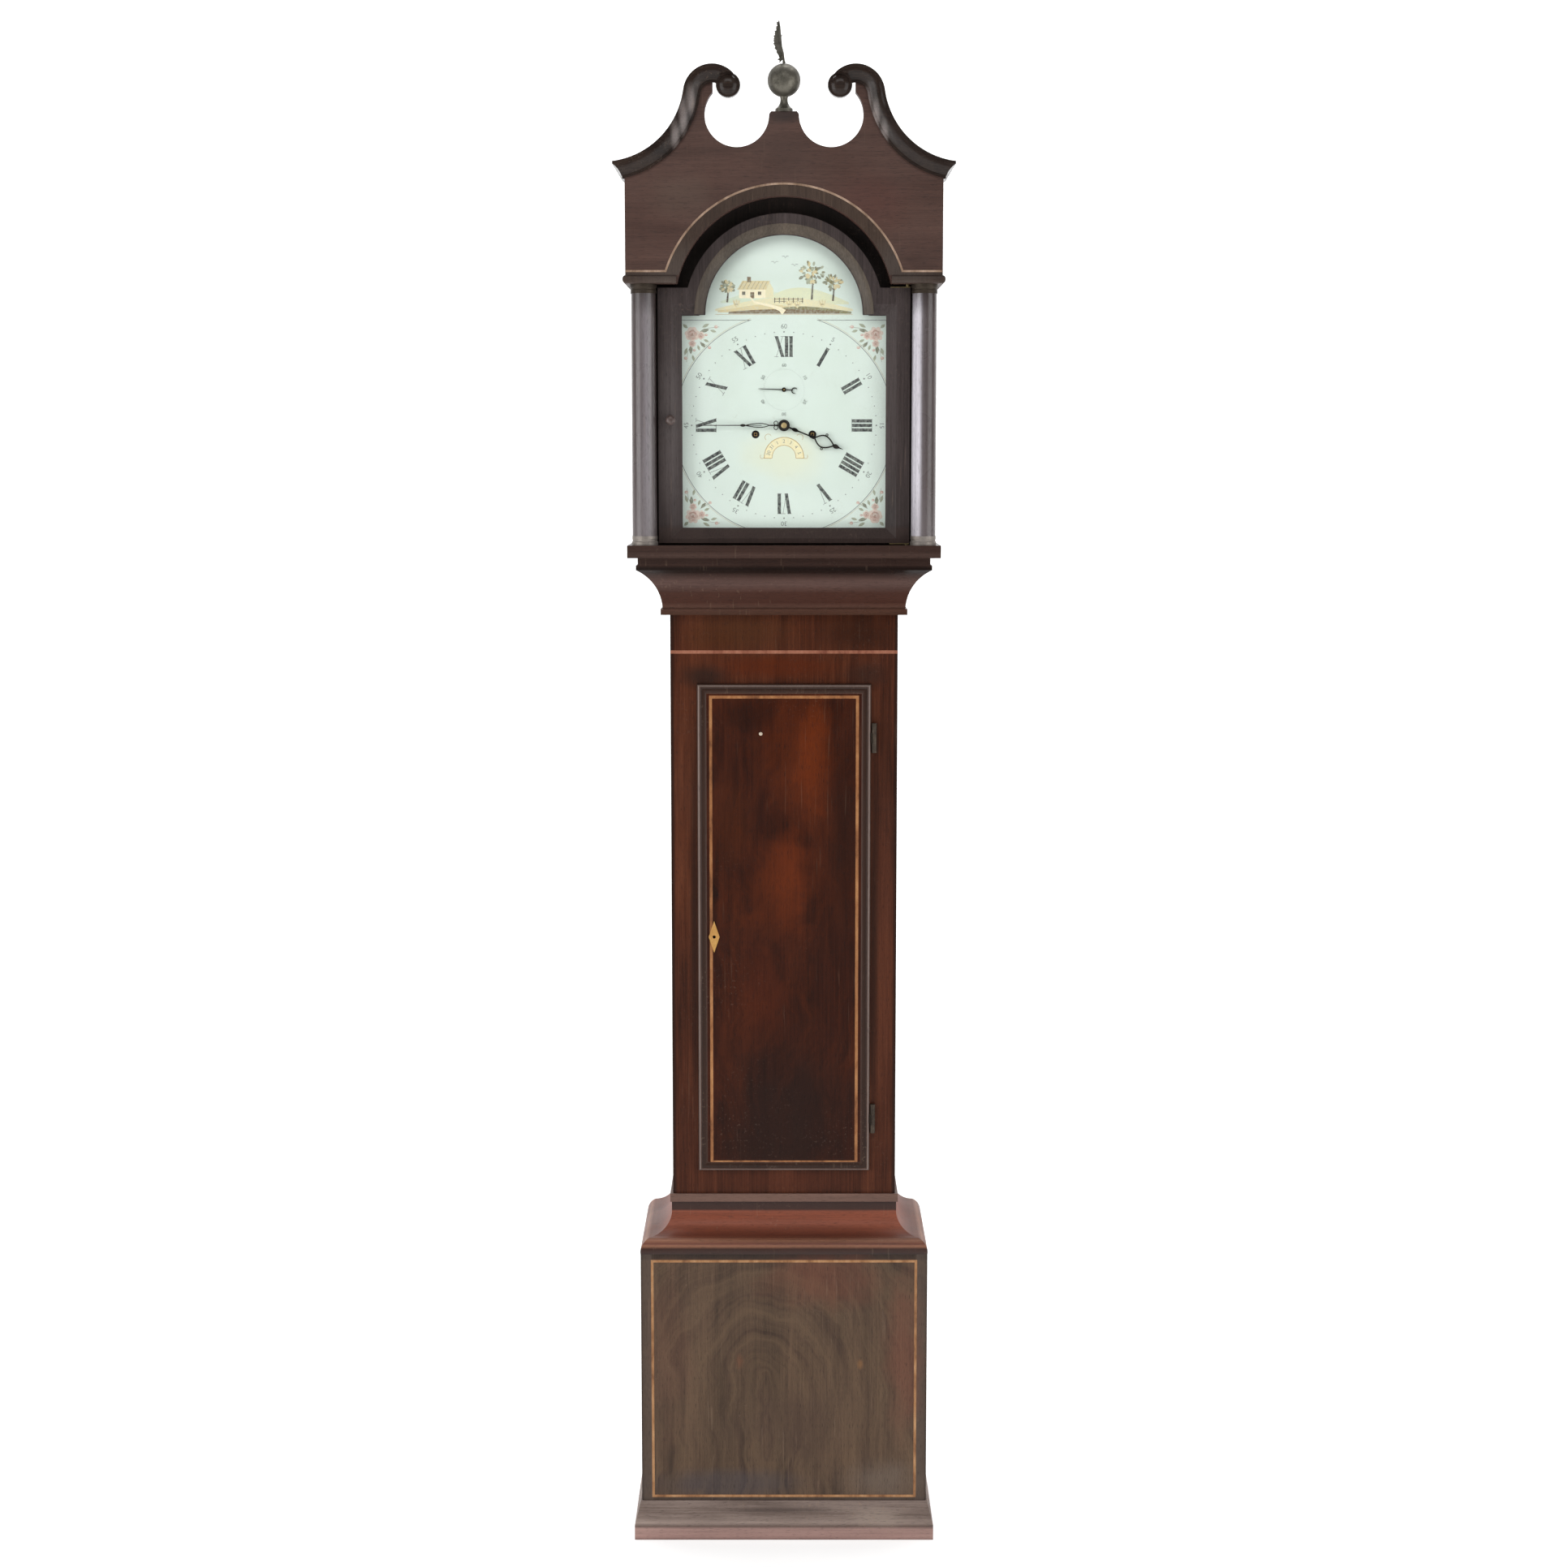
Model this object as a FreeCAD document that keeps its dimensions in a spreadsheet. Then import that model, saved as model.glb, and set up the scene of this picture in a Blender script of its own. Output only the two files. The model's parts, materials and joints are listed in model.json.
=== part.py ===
"""Longcase clock with a swan-neck pediment, in millimetres.

Frame: +Z up, front towards -Y, +X to the viewer's right, origin on the floor below the middle of
the clock's box. Every driving size is a cell of the sheet called Sizes.
"""
import FreeCAD, Part
import Sketcher
import math
import os

doc = FreeCAD.newDocument("LongcaseClock")
sheet = doc.addObject("Spreadsheet::Sheet", "Sizes")

# Driving sizes: name, millimetres (angles in degrees, counts as they are)
SIZES = [
    # boards
    ("side_board", 16), ("back_board", 14), ("front_board", 18), ("bottom_board", 18),
    ("overlap", 10),
    # overall widths, depths and heights of the three stages
    ("base_width", 450), ("trunk_width", 351), ("hood_width", 474), ("trunk_depth", 185),
    ("hood_depth", 251), ("pediment_projection", 21),
    ("base_height", 463), ("trunk_height", 916), ("column_height", 390),
    ("trunk_tail", 60), ("cheek_rise", 90),
    # plinth moulding: strip at the floor, then a slope up the base
    ("plinth_out", 11.5), ("plinth_strip", 23), ("plinth_lip", 2), ("plinth_height", 61),
    # moulding on top of the base: nose, cove, fascia and top strip
    ("nose_height", 23), ("nose_back", 13), ("cove_height", 33), ("fascia_height", 16),
    ("fascia_out", 2), ("strip_height", 13), ("strip_out", 4.5),
    # throat moulding below the hood
    ("throat_out", 49.5), ("throat_bead", 9), ("throat_bead_out", 14), ("throat_neck_out", 11),
    ("throat_cove", 61), ("throat_height", 77),
    # trunk door
    ("door_lip_width", 270), ("door_lip_height", 771), ("door_sill", 38), ("door_lip_thick", 11),
    ("door_fit", 0.5), ("door_swing_fit", 1.8), ("door_panel_recess", 2), ("door_bead_width", 15),
    ("knuckle_radius", 4), ("knuckle_length", 46), ("knuckle_inset", 84), ("pin_radius", 1.5),
    ("pin_fit", 0.05), ("leaf_thick", 1.6), ("leaf_depth", 15), ("knuckle_gap", 0.5),
    ("escutcheon_width", 17), ("escutcheon_height", 50), ("escutcheon_thick", 1.6),
    ("escutcheon_inset", 26), ("lock_height", 56), ("lock_width", 40), ("lock_thick", 11),
    ("lock_wall", 2.5), ("bolt_height", 12), ("bolt_thick", 4), ("bolt_length", 24),
    ("bolt_fit", 0.3), ("keyhole_radius", 2.5),
    # hood carcase
    ("hood_base_height", 31), ("hood_base_step", 12), ("hood_base_step_out", 15),
    ("hood_floor_out", 4), ("hood_wall_inset", 16), ("frieze_thick", 20),
    ("top_board_thick", 12), ("hood_back_gap", 18), ("mask_thick", 6), ("mask_gap", 2),
    ("ear_width", 400),
    # tympanum and pediment
    ("arch_radius", 164), ("arch_drop", 36), ("cornice_band", 24), ("cornice_out", 17),
    ("neck_radius", 121), ("neck_angle", 8), ("scroll_radius", 43), ("scroll_x", 106),
    ("scroll_rise", 274), ("scroll_end_angle", 150), ("neck_band", 25), ("neck_top_flat", 4),
    ("neck_foot", 4), ("neck_foot_width", 4), ("neck_inset", 3), ("boss_radius", 18),
    ("boss_inset", 16), ("boss_out", 20), ("boss_dome", 6), ("boss_rim", 3),
    ("cutout_radius", 48), ("cutout_x", 70), ("cutout_rise", 247),
    ("plinth_half", 19), ("plinth_rise", 251),
    # hood columns
    ("column_radius", 18.8), ("column_x", 211), ("column_setback", 20), ("brass_radius", 19.9),
    ("brass_height", 14), ("column_waist", 0.4),
    # finial
    ("finial_foot", 13), ("finial_neck", 6), ("finial_foot_height", 22), ("finial_ball", 24.5),
    ("ornament_height", 62), ("wing_span", 52), ("ornament_radius", 5), ("wing_thick", 3),
    # hood door and its glass
    ("hood_door_width", 380), ("hood_door_foot", 3), ("hood_door_head", 5),
    ("hood_door_arch", 150), ("hood_door_thick", 20), ("opening_width", 308),
    ("opening_arch", 118.5), ("opening_sill", 26), ("hood_door_setback", 23),
    ("ovolo_width", 16), ("ovolo_depth", 9), ("glass_thick", 2.4), ("glass_rebate", 6),
    ("glass_fit", 0.4), ("pivot_radius", 3), ("pivot_fit", 0.05), ("pivot_inset", 4),
    ("pivot_setback", 2), ("pivot_plate", 1.6), ("pivot_depth", 8), ("pivot_strap", 30),
    ("soffit_height", 20), ("soffit_width", 40), ("knob_radius", 6), ("knob_length", 16),
    ("knob_stem", 3), ("knob_rise", 188), ("knob_inset", 19),
    # dial
    ("dial_width", 330), ("dial_arch", 128), ("dial_thick", 2), ("dial_gap", 2),
    ("dial_centre", 180.4), ("arch_rise", 345), ("dial_foot", 4), ("dial_foot_x", 78),
    ("dial_foot_drop", 60), ("dial_foot_rise", 88),
    # movement frame
    ("plate_width", 184), ("plate_thick", 3), ("plate_gap", 62), ("plate_rise", 172),
    ("dial_to_plate", 38), ("seat_thick", 18), ("seat_front", 5), ("seat_back", 12),
    ("pillar_radius", 6), ("pillar_inset", 12), ("upper_pillar_inset", 24), ("pivot_clear", 0.05),
    # arbors, measured from the centre of the dial
    ("winding_x", 43.3), ("winding_drop", 13.5), ("seconds_rise", 53.8), ("third_x", 7.2),
    ("third_rise", 28), ("pallet_rise", 83.6), ("pin_wheel_x", 49.8), ("pin_wheel_rise", 23.4),
    ("hammer_x", 80), ("hammer_rise", 60), ("arbor_radius", 1.8), ("pivot_pin", 1),
    # wheels and pinions: tooth counts, then where each wheel stands behind the front plate
    ("great_teeth", 96), ("centre_teeth", 60), ("third_teeth", 56), ("escape_teeth", 30),
    ("strike_teeth", 78), ("pin_wheel_teeth", 64), ("pinion_leaves", 8), ("escape_leaves", 7),
    ("motion_teeth", 40), ("hour_teeth", 72), ("hour_leaves", 6), ("motion_module", 0.85),
    ("pin_wheel_module", 0.8), ("lift_pins", 8), ("lift_circle", 20), ("escape_radius", 20),
    ("great_place", 5), ("centre_place", 51), ("third_place", 29), ("escape_place", 53),
    ("wheel_thick", 2), ("great_thick", 2.5), ("pinion_length", 8), ("hub_radius", 7),
    # motion work, measured forwards from the front plate
    ("cannon_place", 6), ("hour_place", 14), ("stud_radius", 1), ("cannon_pipe", 3),
    ("hour_pipe", 4.5), ("dial_hole", 6), ("seconds_hole", 3), ("seconds_arbor", 1.2),
    # barrels, their arbors and the gut lines
    ("barrel_radius", 22), ("barrel_length", 36), ("barrel_flange", 26), ("flange_thick", 2),
    ("barrel_start", 10), ("barrel_arbor", 4), ("barrel_pivot", 2), ("square_side", 5),
    ("square_length", 22), ("winding_hole", 6), ("line_radius", 0.8), ("line_fit", 0.3),
    ("slot_width", 6),
    # pendulum, crutch and cock
    ("pendulum_length", 994), ("rod_radius", 3), ("bob_radius", 55), ("bob_thick", 28),
    ("bob_edge", 6), ("rod_setback", 29), ("nut_radius", 9), ("nut_height", 8),
    ("thread_length", 20), ("spring_length", 14), ("spring_width", 8), ("spring_thick", 0.6),
    ("cock_reach", 12), ("cock_thick", 4), ("cock_width", 40), ("cock_leg", 6), ("cock_arm", 6),
    ("cock_height", 24), ("crutch_length", 110), ("crutch_width", 4), ("swing_fit", 0.3),
    ("anchor_span", 15.6), ("anchor_thick", 4), ("anchor_width", 4), ("pallet_hole", 4),
    # weights
    ("weight_radius", 32), ("weight_length", 215), ("weight_bottom", 200), ("pulley_radius", 22),
    ("pulley_flange", 25), ("pulley_thick", 8), ("pulley_groove", 4), ("pulley_rise", 42),
    ("stirrup_thick", 3), ("stirrup_width", 12), ("stirrup_foot", 8), ("axle_radius", 2),
    # bell and hammer
    ("bell_radius", 35), ("bell_wall", 3), ("bell_x", 45), ("bell_rise", 143), ("bell_stem", 3),
    ("bell_post", 6), ("bell_arm", 7), ("hammer_head", 5), ("hammer_gap", 0.8),
    ("hammer_head_length", 12), ("hammer_over", 8), ("hammer_rod", 1.5), ("tail_clear", 4),
    # hands
    ("minute_hand", 127), ("hour_hand", 97), ("seconds_hand", 39), ("seconds_tail", 20),
    ("hand_thick", 1.2), ("hand_gap", 1.2), ("minute_angle", 270), ("hour_angle", 112.5),
    ("seconds_angle", 270),
    # fixing to the wall
    ("wall_hole_radius", 3.5), ("wall_hole_height", 1500), ("wall_hole_x", 110),
]
for row, (alias, number) in enumerate(SIZES, start=1):
    sheet.set("A%d" % row, alias)
    sheet.set("B%d" % row, str(number))
    sheet.setAlias("B%d" % row, alias)
doc.recompute()


class Dim:
    """A size that knows both its formula over the sheet's cells and its number."""

    def __init__(self, text, number):
        self.text = text
        self.number = float(number)

    def __float__(self):
        return self.number

    def __add__(self, other):
        return Dim("(%s + %s)" % (self.text, words(other)), self.number + float(other))

    def __sub__(self, other):
        return Dim("(%s - %s)" % (self.text, words(other)), self.number - float(other))

    def __mul__(self, other):
        return Dim("(%s * %s)" % (self.text, words(other)), self.number * float(other))

    def __truediv__(self, other):
        return Dim("(%s / %s)" % (self.text, words(other)), self.number / float(other))

    def __neg__(self):
        return Dim("(-1 * %s)" % self.text, -self.number)

    def __radd__(self, other):
        return Dim(words(other), other) + self

    def __rsub__(self, other):
        return Dim(words(other), other) - self

    def __rmul__(self, other):
        return Dim(words(other), other) * self


def root(value):
    return Dim("sqrt(%s)" % value.text, math.sqrt(value.number))


def cosine(angle):
    return Dim("cos(%s * 1 deg)" % angle.text, math.cos(math.radians(angle.number)))


def sine(angle):
    return Dim("sin(%s * 1 deg)" % angle.text, math.sin(math.radians(angle.number)))


def words(value):
    """Formula text of a Dim, or the number itself."""
    return value.text if isinstance(value, Dim) else repr(float(value))


class Sizes:
    """Each cell of the sheet as a Dim, by its alias."""


for alias, number in SIZES:
    setattr(Sizes, alias, Dim("Sizes." + alias, sheet.get(alias)))
S = Sizes

# Every sub-part that is written out, by its name
parts = {}


def bind(item, prop, value):
    """Bind one property to its formula over the sheet."""
    item.setExpression(prop, words(value))


def place(item, x, y, z):
    bind(item, "Placement.Base.x", x)
    bind(item, "Placement.Base.y", y)
    bind(item, "Placement.Base.z", z)


def box(name, x, y, z):
    """A box between the low and high ends given along each axis."""
    item = doc.addObject("Part::Box", name)
    bind(item, "Length", x[1] - x[0])
    bind(item, "Width", y[1] - y[0])
    bind(item, "Height", z[1] - z[0])
    place(item, x[0], y[0], z[0])
    return item


TURNS = {"X": FreeCAD.Rotation(FreeCAD.Vector(0, 1, 0), 90),
         "Y": FreeCAD.Rotation(FreeCAD.Vector(1, 0, 0), -90),
         "Z": FreeCAD.Rotation()}


def rod(name, axis, start, length, radius):
    """A round bar from the start point along the named axis."""
    item = doc.addObject("Part::Cylinder", name)
    bind(item, "Radius", radius)
    bind(item, "Height", length)
    item.Placement = FreeCAD.Placement(FreeCAD.Vector(), TURNS[axis])
    place(item, *start)
    return item


def cut(name, base, *tools):
    tool = tools[0]
    if len(tools) > 1:
        tool = doc.addObject("Part::MultiFuse", name + "_tools")
        tool.Shapes = list(tools)
    item = doc.addObject("Part::Cut", name)
    item.Base = base
    item.Tool = tool
    return item


def fuse(name, *items):
    item = doc.addObject("Part::MultiFuse", name)
    item.Shapes = list(items)
    return item


def group(name, *items):
    """Separate solids kept side by side in one node."""
    item = doc.addObject("Part::Compound", name)
    item.Links = list(items)
    return item


def shaped(name, shape):
    item = doc.addObject("Part::Feature", name)
    item.Shape = shape
    item.Placement = FreeCAD.Placement()
    return item


def node(name, item):
    """Name a finished sub-part, which also names its file."""
    item.Label = name
    parts[name] = item
    return item


def point(x, y, z):
    return FreeCAD.Vector(float(x), float(y), float(z))


def outline_wire(start, steps, place_point):
    """A closed wire of lines and arcs.

    A step is an end point, or a pair (point on the arc, end point).
    """
    edges = []
    here = place_point(*start)
    for step in steps:
        if isinstance(step[0], tuple):
            middle = place_point(*step[0])
            there = place_point(*step[1])
            edges.append(Part.Arc(here, middle, there).toShape())
        else:
            there = place_point(*step)
            edges.append(Part.LineSegment(here, there).toShape())
        here = there
    first = place_point(*start)
    if here.distanceToPoint(first) > 1e-6:
        edges.append(Part.LineSegment(here, first).toShape())
    return Part.Wire(edges)


def flat_piece(start, steps, y_front, y_back):
    """A board cut to an outline in the XZ plane, between two depths."""
    wire = outline_wire(start, steps, lambda x, z: point(x, y_front, z))
    return Part.Face(wire).extrude(point(0, y_back - y_front, 0))


def turned(profile, centre_x, centre_y):
    """A piece turned about a vertical axis.

    The profile runs from the axis at the bottom to the axis at the top as (radius, z) steps.
    """
    start = profile[0]
    wire = outline_wire(start, profile[1:], lambda r, z: point(centre_x + r, centre_y, z))
    return Part.Face(wire).revolve(point(centre_x, centre_y, 0), FreeCAD.Vector(0, 0, 1), 360)


def bar_y(x, z, y_front, y_back, radius):
    """A round bar along Y between two depths."""
    return Part.makeCylinder(float(radius), float(y_back) - float(y_front),
                             point(x, y_front, z), FreeCAD.Vector(0, 1, 0))


def block(x, y, z):
    """A plain box shape between low and high ends."""
    return Part.makeBox(float(x[1]) - float(x[0]), float(y[1]) - float(y[0]),
                        float(z[1]) - float(z[0]), point(x[0], y[0], z[0]))


def moulding_run(profile, half_width, front, back, foot):
    """Three mitred lengths of moulding round the front and both sides.

    The profile is (distance out from the case, height above the foot), from the case outwards
    and back; the first point is on the case.
    """
    start = profile[0]
    steps = profile[1:]
    reach = 2 * max(float(step[1][0]) if isinstance(step[0], tuple) else float(step[0])
                    for step in steps)
    half_width, front, back, foot = (float(v) for v in (half_width, front, back, foot))
    wide = half_width + reach
    tall = 2 * max(float(step[1][1]) if isinstance(step[0], tuple) else float(step[1])
                   for step in steps)

    face = Part.Face(outline_wire(start, steps,
                                  lambda u, h: point(-wide, front - float(u), foot + float(h))))
    corners = [(-half_width, front), (-wide, front - reach), (wide, front - reach),
               (half_width, front)]
    pieces = [mitre(face.extrude(point(2 * wide, 0, 0)), corners, foot, tall)]
    for side in (-1, 1):
        face = Part.Face(outline_wire(start, steps, lambda u, h: point(
            side * (half_width + float(u)), front - reach, foot + float(h))))
        corners = [(side * half_width, front), (side * wide, front - reach), (side * wide, back),
                   (side * half_width, back)]
        pieces.append(mitre(face.extrude(point(0, back - front + reach, 0)), corners, foot, tall))
    return Part.makeCompound(pieces)


def mitre(length, corners, foot, tall):
    """The part of a length of moulding over the area with the given corners."""
    wire = Part.makePolygon([point(x, y, foot) for x, y in corners + corners[:1]])
    kept = length.common(Part.Face(wire).extrude(point(0, 0, tall)))
    return kept.Solids[0]


def body_on_front(name, back):
    """A body whose drawing plane stands at the given depth, with pads growing to the front."""
    body = doc.addObject("PartDesign::Body", name)
    place(body, 0, back, 0)
    plane = [p for p in body.Origin.OriginFeatures if p.Role == "XZ_Plane"][0]
    return body, plane


def draw(body, plane, name, corners, holes):
    """A sketch with a closed straight outline and round holes, every size bound to the sheet."""
    sketch = body.newObject("Sketcher::SketchObject", name)
    sketch.AttachmentSupport = (plane, [""])
    sketch.MapMode = "FlatFace"
    points = [FreeCAD.Vector(float(x), float(z), 0) for x, z in corners]
    for index, here in enumerate(points):
        sketch.addGeometry(Part.LineSegment(here, points[(index + 1) % len(points)]), False)
    for index in range(len(points)):
        following = (index + 1) % len(points)
        sketch.addConstraint(Sketcher.Constraint("Coincident", index, 2, following, 1))
    for index, (x, z) in enumerate(corners):
        pin_point(sketch, index, 1, x, z)
    for x, z, radius in holes:
        centre = FreeCAD.Vector(float(x), float(z), 0)
        ring = sketch.addGeometry(Part.Circle(centre, FreeCAD.Vector(0, 0, 1), float(radius)), False)
        pin_point(sketch, ring, 3, x, z)
        mark = sketch.addConstraint(Sketcher.Constraint("Radius", ring, float(radius)))
        sketch.setExpression("Constraints[%d]" % mark, words(radius))
    return sketch


def pin_point(sketch, geometry, position, x, z):
    """Hold one point of a sketch at its place from the origin."""
    for kind, value in (("DistanceX", x), ("DistanceY", z)):
        mark = sketch.addConstraint(
            Sketcher.Constraint(kind, -1, 1, geometry, position, float(value)))
        sketch.setExpression("Constraints[%d]" % mark, words(value))


def board(name, corners, holes, back, thickness):
    """A sawn board standing across the clock: outline, holes and thickness towards the front."""
    body, plane = body_on_front(name, back)
    sketch = draw(body, plane, name + "_outline", corners, holes)
    pad = body.newObject("PartDesign::Pad", name + "_pad")
    pad.Profile = sketch
    bind(pad, "Length", thickness)
    sketch.Visibility = False
    return body


def rectangle(x, z):
    """Corners of an upright rectangle, anticlockwise from its lower left."""
    return [(x[0], z[0]), (x[1], z[0]), (x[1], z[1]), (x[0], z[1])]


def arch_outline(half, foot, shoulder, centre, radius):
    """A square-shouldered board with a round arch on top, as a start point and steps in XZ."""
    half, foot, shoulder, centre, radius = (float(v) for v in (half, foot, shoulder, centre, radius))
    spring = math.sqrt(radius ** 2 - (shoulder - centre) ** 2)
    steps = [(half, foot), (half, shoulder), (spring, shoulder),
             ((0, centre + radius), (-spring, shoulder)), (-half, shoulder)]
    return (-half, foot), steps


# Levels and depths that several pieces share
wall = (S.hood_depth + S.pediment_projection) / 2
hood_front = wall - S.hood_depth
trunk_front = wall - S.trunk_depth
trunk_half = S.trunk_width / 2
trunk_inside = trunk_half - S.side_board
base_half = S.base_width / 2
base_inside = base_half - S.side_board
base_out = base_half - trunk_half
base_front = trunk_front - base_out
frame_back = trunk_front + S.front_board
back_front = wall - S.back_board
hood_half = S.hood_width / 2
floor = S.base_height * 0
trunk_foot = S.base_height - S.trunk_tail
moulding_top = S.base_height + S.nose_height + S.cove_height + S.fascia_height + S.strip_height
throat_foot = moulding_top + S.trunk_height
hood_foot = throat_foot + S.throat_height
hood_floor = hood_foot + S.hood_base_height
frieze_foot = hood_floor + S.column_height
seat_foot = hood_floor + S.cheek_rise
seat_top = seat_foot + S.seat_thick
dial_level = hood_floor + S.dial_centre

# Swan-neck curve: two tangent arcs, the outer one hollow and the inner one a scroll
scroll_level = frieze_foot + S.scroll_rise
neck_x = S.scroll_x + (S.neck_radius + S.scroll_radius) * cosine(S.neck_angle)
neck_level = scroll_level + (S.neck_radius + S.scroll_radius) * sine(S.neck_angle)
horn_x = hood_half + S.cornice_out
cornice_top = neck_level - root(S.neck_radius * S.neck_radius - (neck_x - horn_x) * (neck_x - horn_x))
cornice_foot = cornice_top - S.cornice_band


def make_backboard():
    """One board from the floor to behind the hood: wide in the base, narrow in the trunk."""
    ear = S.ear_width / 2
    top = frieze_foot
    right = [(base_inside, floor), (base_inside, S.base_height), (trunk_half, S.base_height),
             (trunk_half, seat_foot), (ear, seat_foot), (ear, top)]
    left = [(-x, z) for x, z in reversed(right)]
    holes = [(side * S.wall_hole_x, S.wall_hole_height, S.wall_hole_radius) for side in (-1, 1)]
    node("backboard", board("backboard_board", right + left, holes, wall, S.back_board))


def make_base():
    sides = [box("base_side_%d" % n, x, (base_front + S.front_board, wall), (floor, S.base_height))
             for n, x in enumerate([(-base_half, -base_inside), (base_inside, base_half)])]
    bottom = box("base_floor", (-base_inside, base_inside), (base_front + S.front_board, back_front),
                 (floor, floor + S.bottom_board))
    node("base_carcase", group("base_box", bottom, *sides))
    node("base_front_panel", board("base_panel", rectangle((-base_half, base_half),
                                                           (floor, S.base_height)),
                                   [], base_front + S.front_board, S.front_board))
    plinth = [(0, 0), (S.plinth_out, 0), (S.plinth_out, S.plinth_strip),
              (S.plinth_lip, S.plinth_height), (0, S.plinth_height)]
    node("plinth_moulding", shaped("plinth", moulding_run(plinth, base_half, base_front, wall, 0)))

    nose_end = base_out - S.nose_back
    cove_foot = S.nose_height
    cove_top = cove_foot + S.cove_height
    fascia_top = cove_top + S.fascia_height
    diagonal = math.sqrt(0.5)
    nose_middle = (base_out - S.nose_back * (1 - diagonal), S.nose_height * diagonal)
    cove_middle = (nose_end - (nose_end - S.fascia_out) * diagonal,
                   cove_top - S.cove_height * diagonal)
    profile = [(0, 0), (base_out, 0), (nose_middle, (nose_end, cove_foot)),
               (cove_middle, (S.fascia_out, cove_top)), (S.fascia_out, fascia_top),
               (S.strip_out, fascia_top), (S.strip_out, fascia_top + S.strip_height),
               (0, fascia_top + S.strip_height)]
    node("base_top_moulding", shaped("base_cap", moulding_run(profile, trunk_half, trunk_front, wall,
                                                             S.base_height)))


# Trunk door: the lip stands in front of the frame, the body sits in the opening
lip_half = S.door_lip_width / 2
lip_foot = moulding_top + S.door_sill
lip_top = lip_foot + S.door_lip_height
opening_half = lip_half - S.overlap
opening_foot = lip_foot + S.overlap
opening_top = lip_top - S.overlap
lip_front = trunk_front - S.door_lip_thick
panel_front = lip_front + S.door_panel_recess
hinge_x = lip_half + S.knuckle_radius + S.knuckle_gap
hinge_y = trunk_front - S.knuckle_radius - S.knuckle_gap
hinge_levels = [lip_foot + S.knuckle_inset, lip_top - S.knuckle_inset]
door_left = -opening_half + S.door_swing_fit
lock_level = lip_foot + S.door_lip_height / 2 - S.overlap
keyhole_x = -lip_half + S.escutcheon_inset


def make_trunk():
    sides = [box("trunk_side_%d" % n, x, (frame_back, back_front), (trunk_foot, seat_foot))
             for n, x in enumerate([(-trunk_half, -trunk_inside), (trunk_inside, trunk_half)])]
    node("trunk_sides", group("trunk_sides_pair", *sides))

    depth = (trunk_front, frame_back)
    left = box("left_stile", (-trunk_half, -opening_half), depth, (trunk_foot, hood_foot))
    blank = box("right_stile_blank", (opening_half, trunk_half), depth, (trunk_foot, hood_foot))
    slots = [box("leaf_slot_%d" % n, (hinge_x - S.leaf_thick / 2, hinge_x + S.leaf_thick / 2),
                 (trunk_front, trunk_front + S.leaf_depth),
                 (level - S.knuckle_length / 2, level + S.knuckle_length / 2))
             for n, level in enumerate(hinge_levels)]
    right = cut("right_stile", blank, *slots)
    lower = box("lower_rail", (-opening_half, opening_half), depth, (trunk_foot, opening_foot))
    upper = box("upper_rail", (-opening_half, opening_half), depth, (opening_top, hood_foot))
    node("trunk_front_frame", group("trunk_frame", left, right, lower, upper))

    cove_top = S.throat_bead + S.throat_cove
    cove_middle = (S.throat_neck_out + (S.throat_out - S.throat_neck_out) * 0.3,
                   S.throat_bead + S.throat_cove * 0.6)
    profile = [(0, 0), (S.throat_bead_out, 0), (S.throat_bead_out, S.throat_bead),
               (S.throat_neck_out, S.throat_bead), (cove_middle, (S.throat_out, cove_top)),
               (S.throat_out, S.throat_height), (0, S.throat_height)]
    node("throat_moulding", shaped("throat", moulding_run(profile, trunk_half, trunk_front, wall,
                                                         throat_foot)))


def framed_strips(half, foot, top, width, profile, y_back):
    """Four mitred strips round a rectangle.

    The profile is (distance in from the outer edge, height to the front of the back plane).
    """
    half, foot, top, width, y_back = (float(v) for v in (half, foot, top, width, y_back))
    corners = [(-half, foot), (half, foot), (half, top), (-half, top)]
    inner = [(-half + width, foot + width), (half - width, foot + width),
             (half - width, top - width), (-half + width, top - width)]
    inward = [(0, 1), (-1, 0), (0, -1), (1, 0)]
    strips = []
    for n in range(4):
        start = corners[n]
        end = corners[(n + 1) % 4]
        across = inward[n]
        face = Part.Face(outline_wire(profile[0], profile[1:], lambda u, p: point(
            start[0] + across[0] * float(u), y_back - float(p), start[1] + across[1] * float(u))))
        length = face.extrude(point(end[0] - start[0], 0, end[1] - start[1]))
        area = [start, end, inner[(n + 1) % 4], inner[n], start]
        keeper = Part.Face(Part.makePolygon([point(x, y_back, z) for x, z in area]))
        deep = 2 * max(float(step[-1][1]) if isinstance(step[0], tuple) else float(step[1])
                       for step in profile)
        strips.append(length.common(keeper.extrude(point(0, -deep, 0))).Solids[0])
    return Part.makeCompound(strips)


def make_trunk_door():
    body = box("door_body", (door_left, opening_half - S.door_fit), (trunk_front, frame_back),
               (opening_foot + S.door_fit, opening_top - S.door_fit))
    inside = lip_half - S.door_bead_width
    face = box("door_face", (-inside, inside), (panel_front, trunk_front),
               (lip_foot + S.door_bead_width, lip_top - S.door_bead_width))
    keyway = rod("door_keyway", "Y", (keyhole_x, panel_front, lock_level),
                 frame_back - panel_front, S.keyhole_radius)
    node("trunk_door_panel", cut("door_panel", fuse("door_blank", body, face), keyway))

    thick = S.door_lip_thick
    hollow = S.door_panel_recess
    bead = S.door_bead_width
    profile = [(0, 0), (0, thick / 3), ((bead / 5, thick * 0.8), (bead / 2, thick)),
               ((bead * 0.85, thick - hollow / 3), (bead, thick - hollow)), (bead, 0)]
    node("trunk_door_moulding", shaped("door_lip", framed_strips(lip_half, lip_foot, lip_top, bead,
                                                                profile, trunk_front)))
    make_lock()
    make_trunk_hinges()


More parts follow.
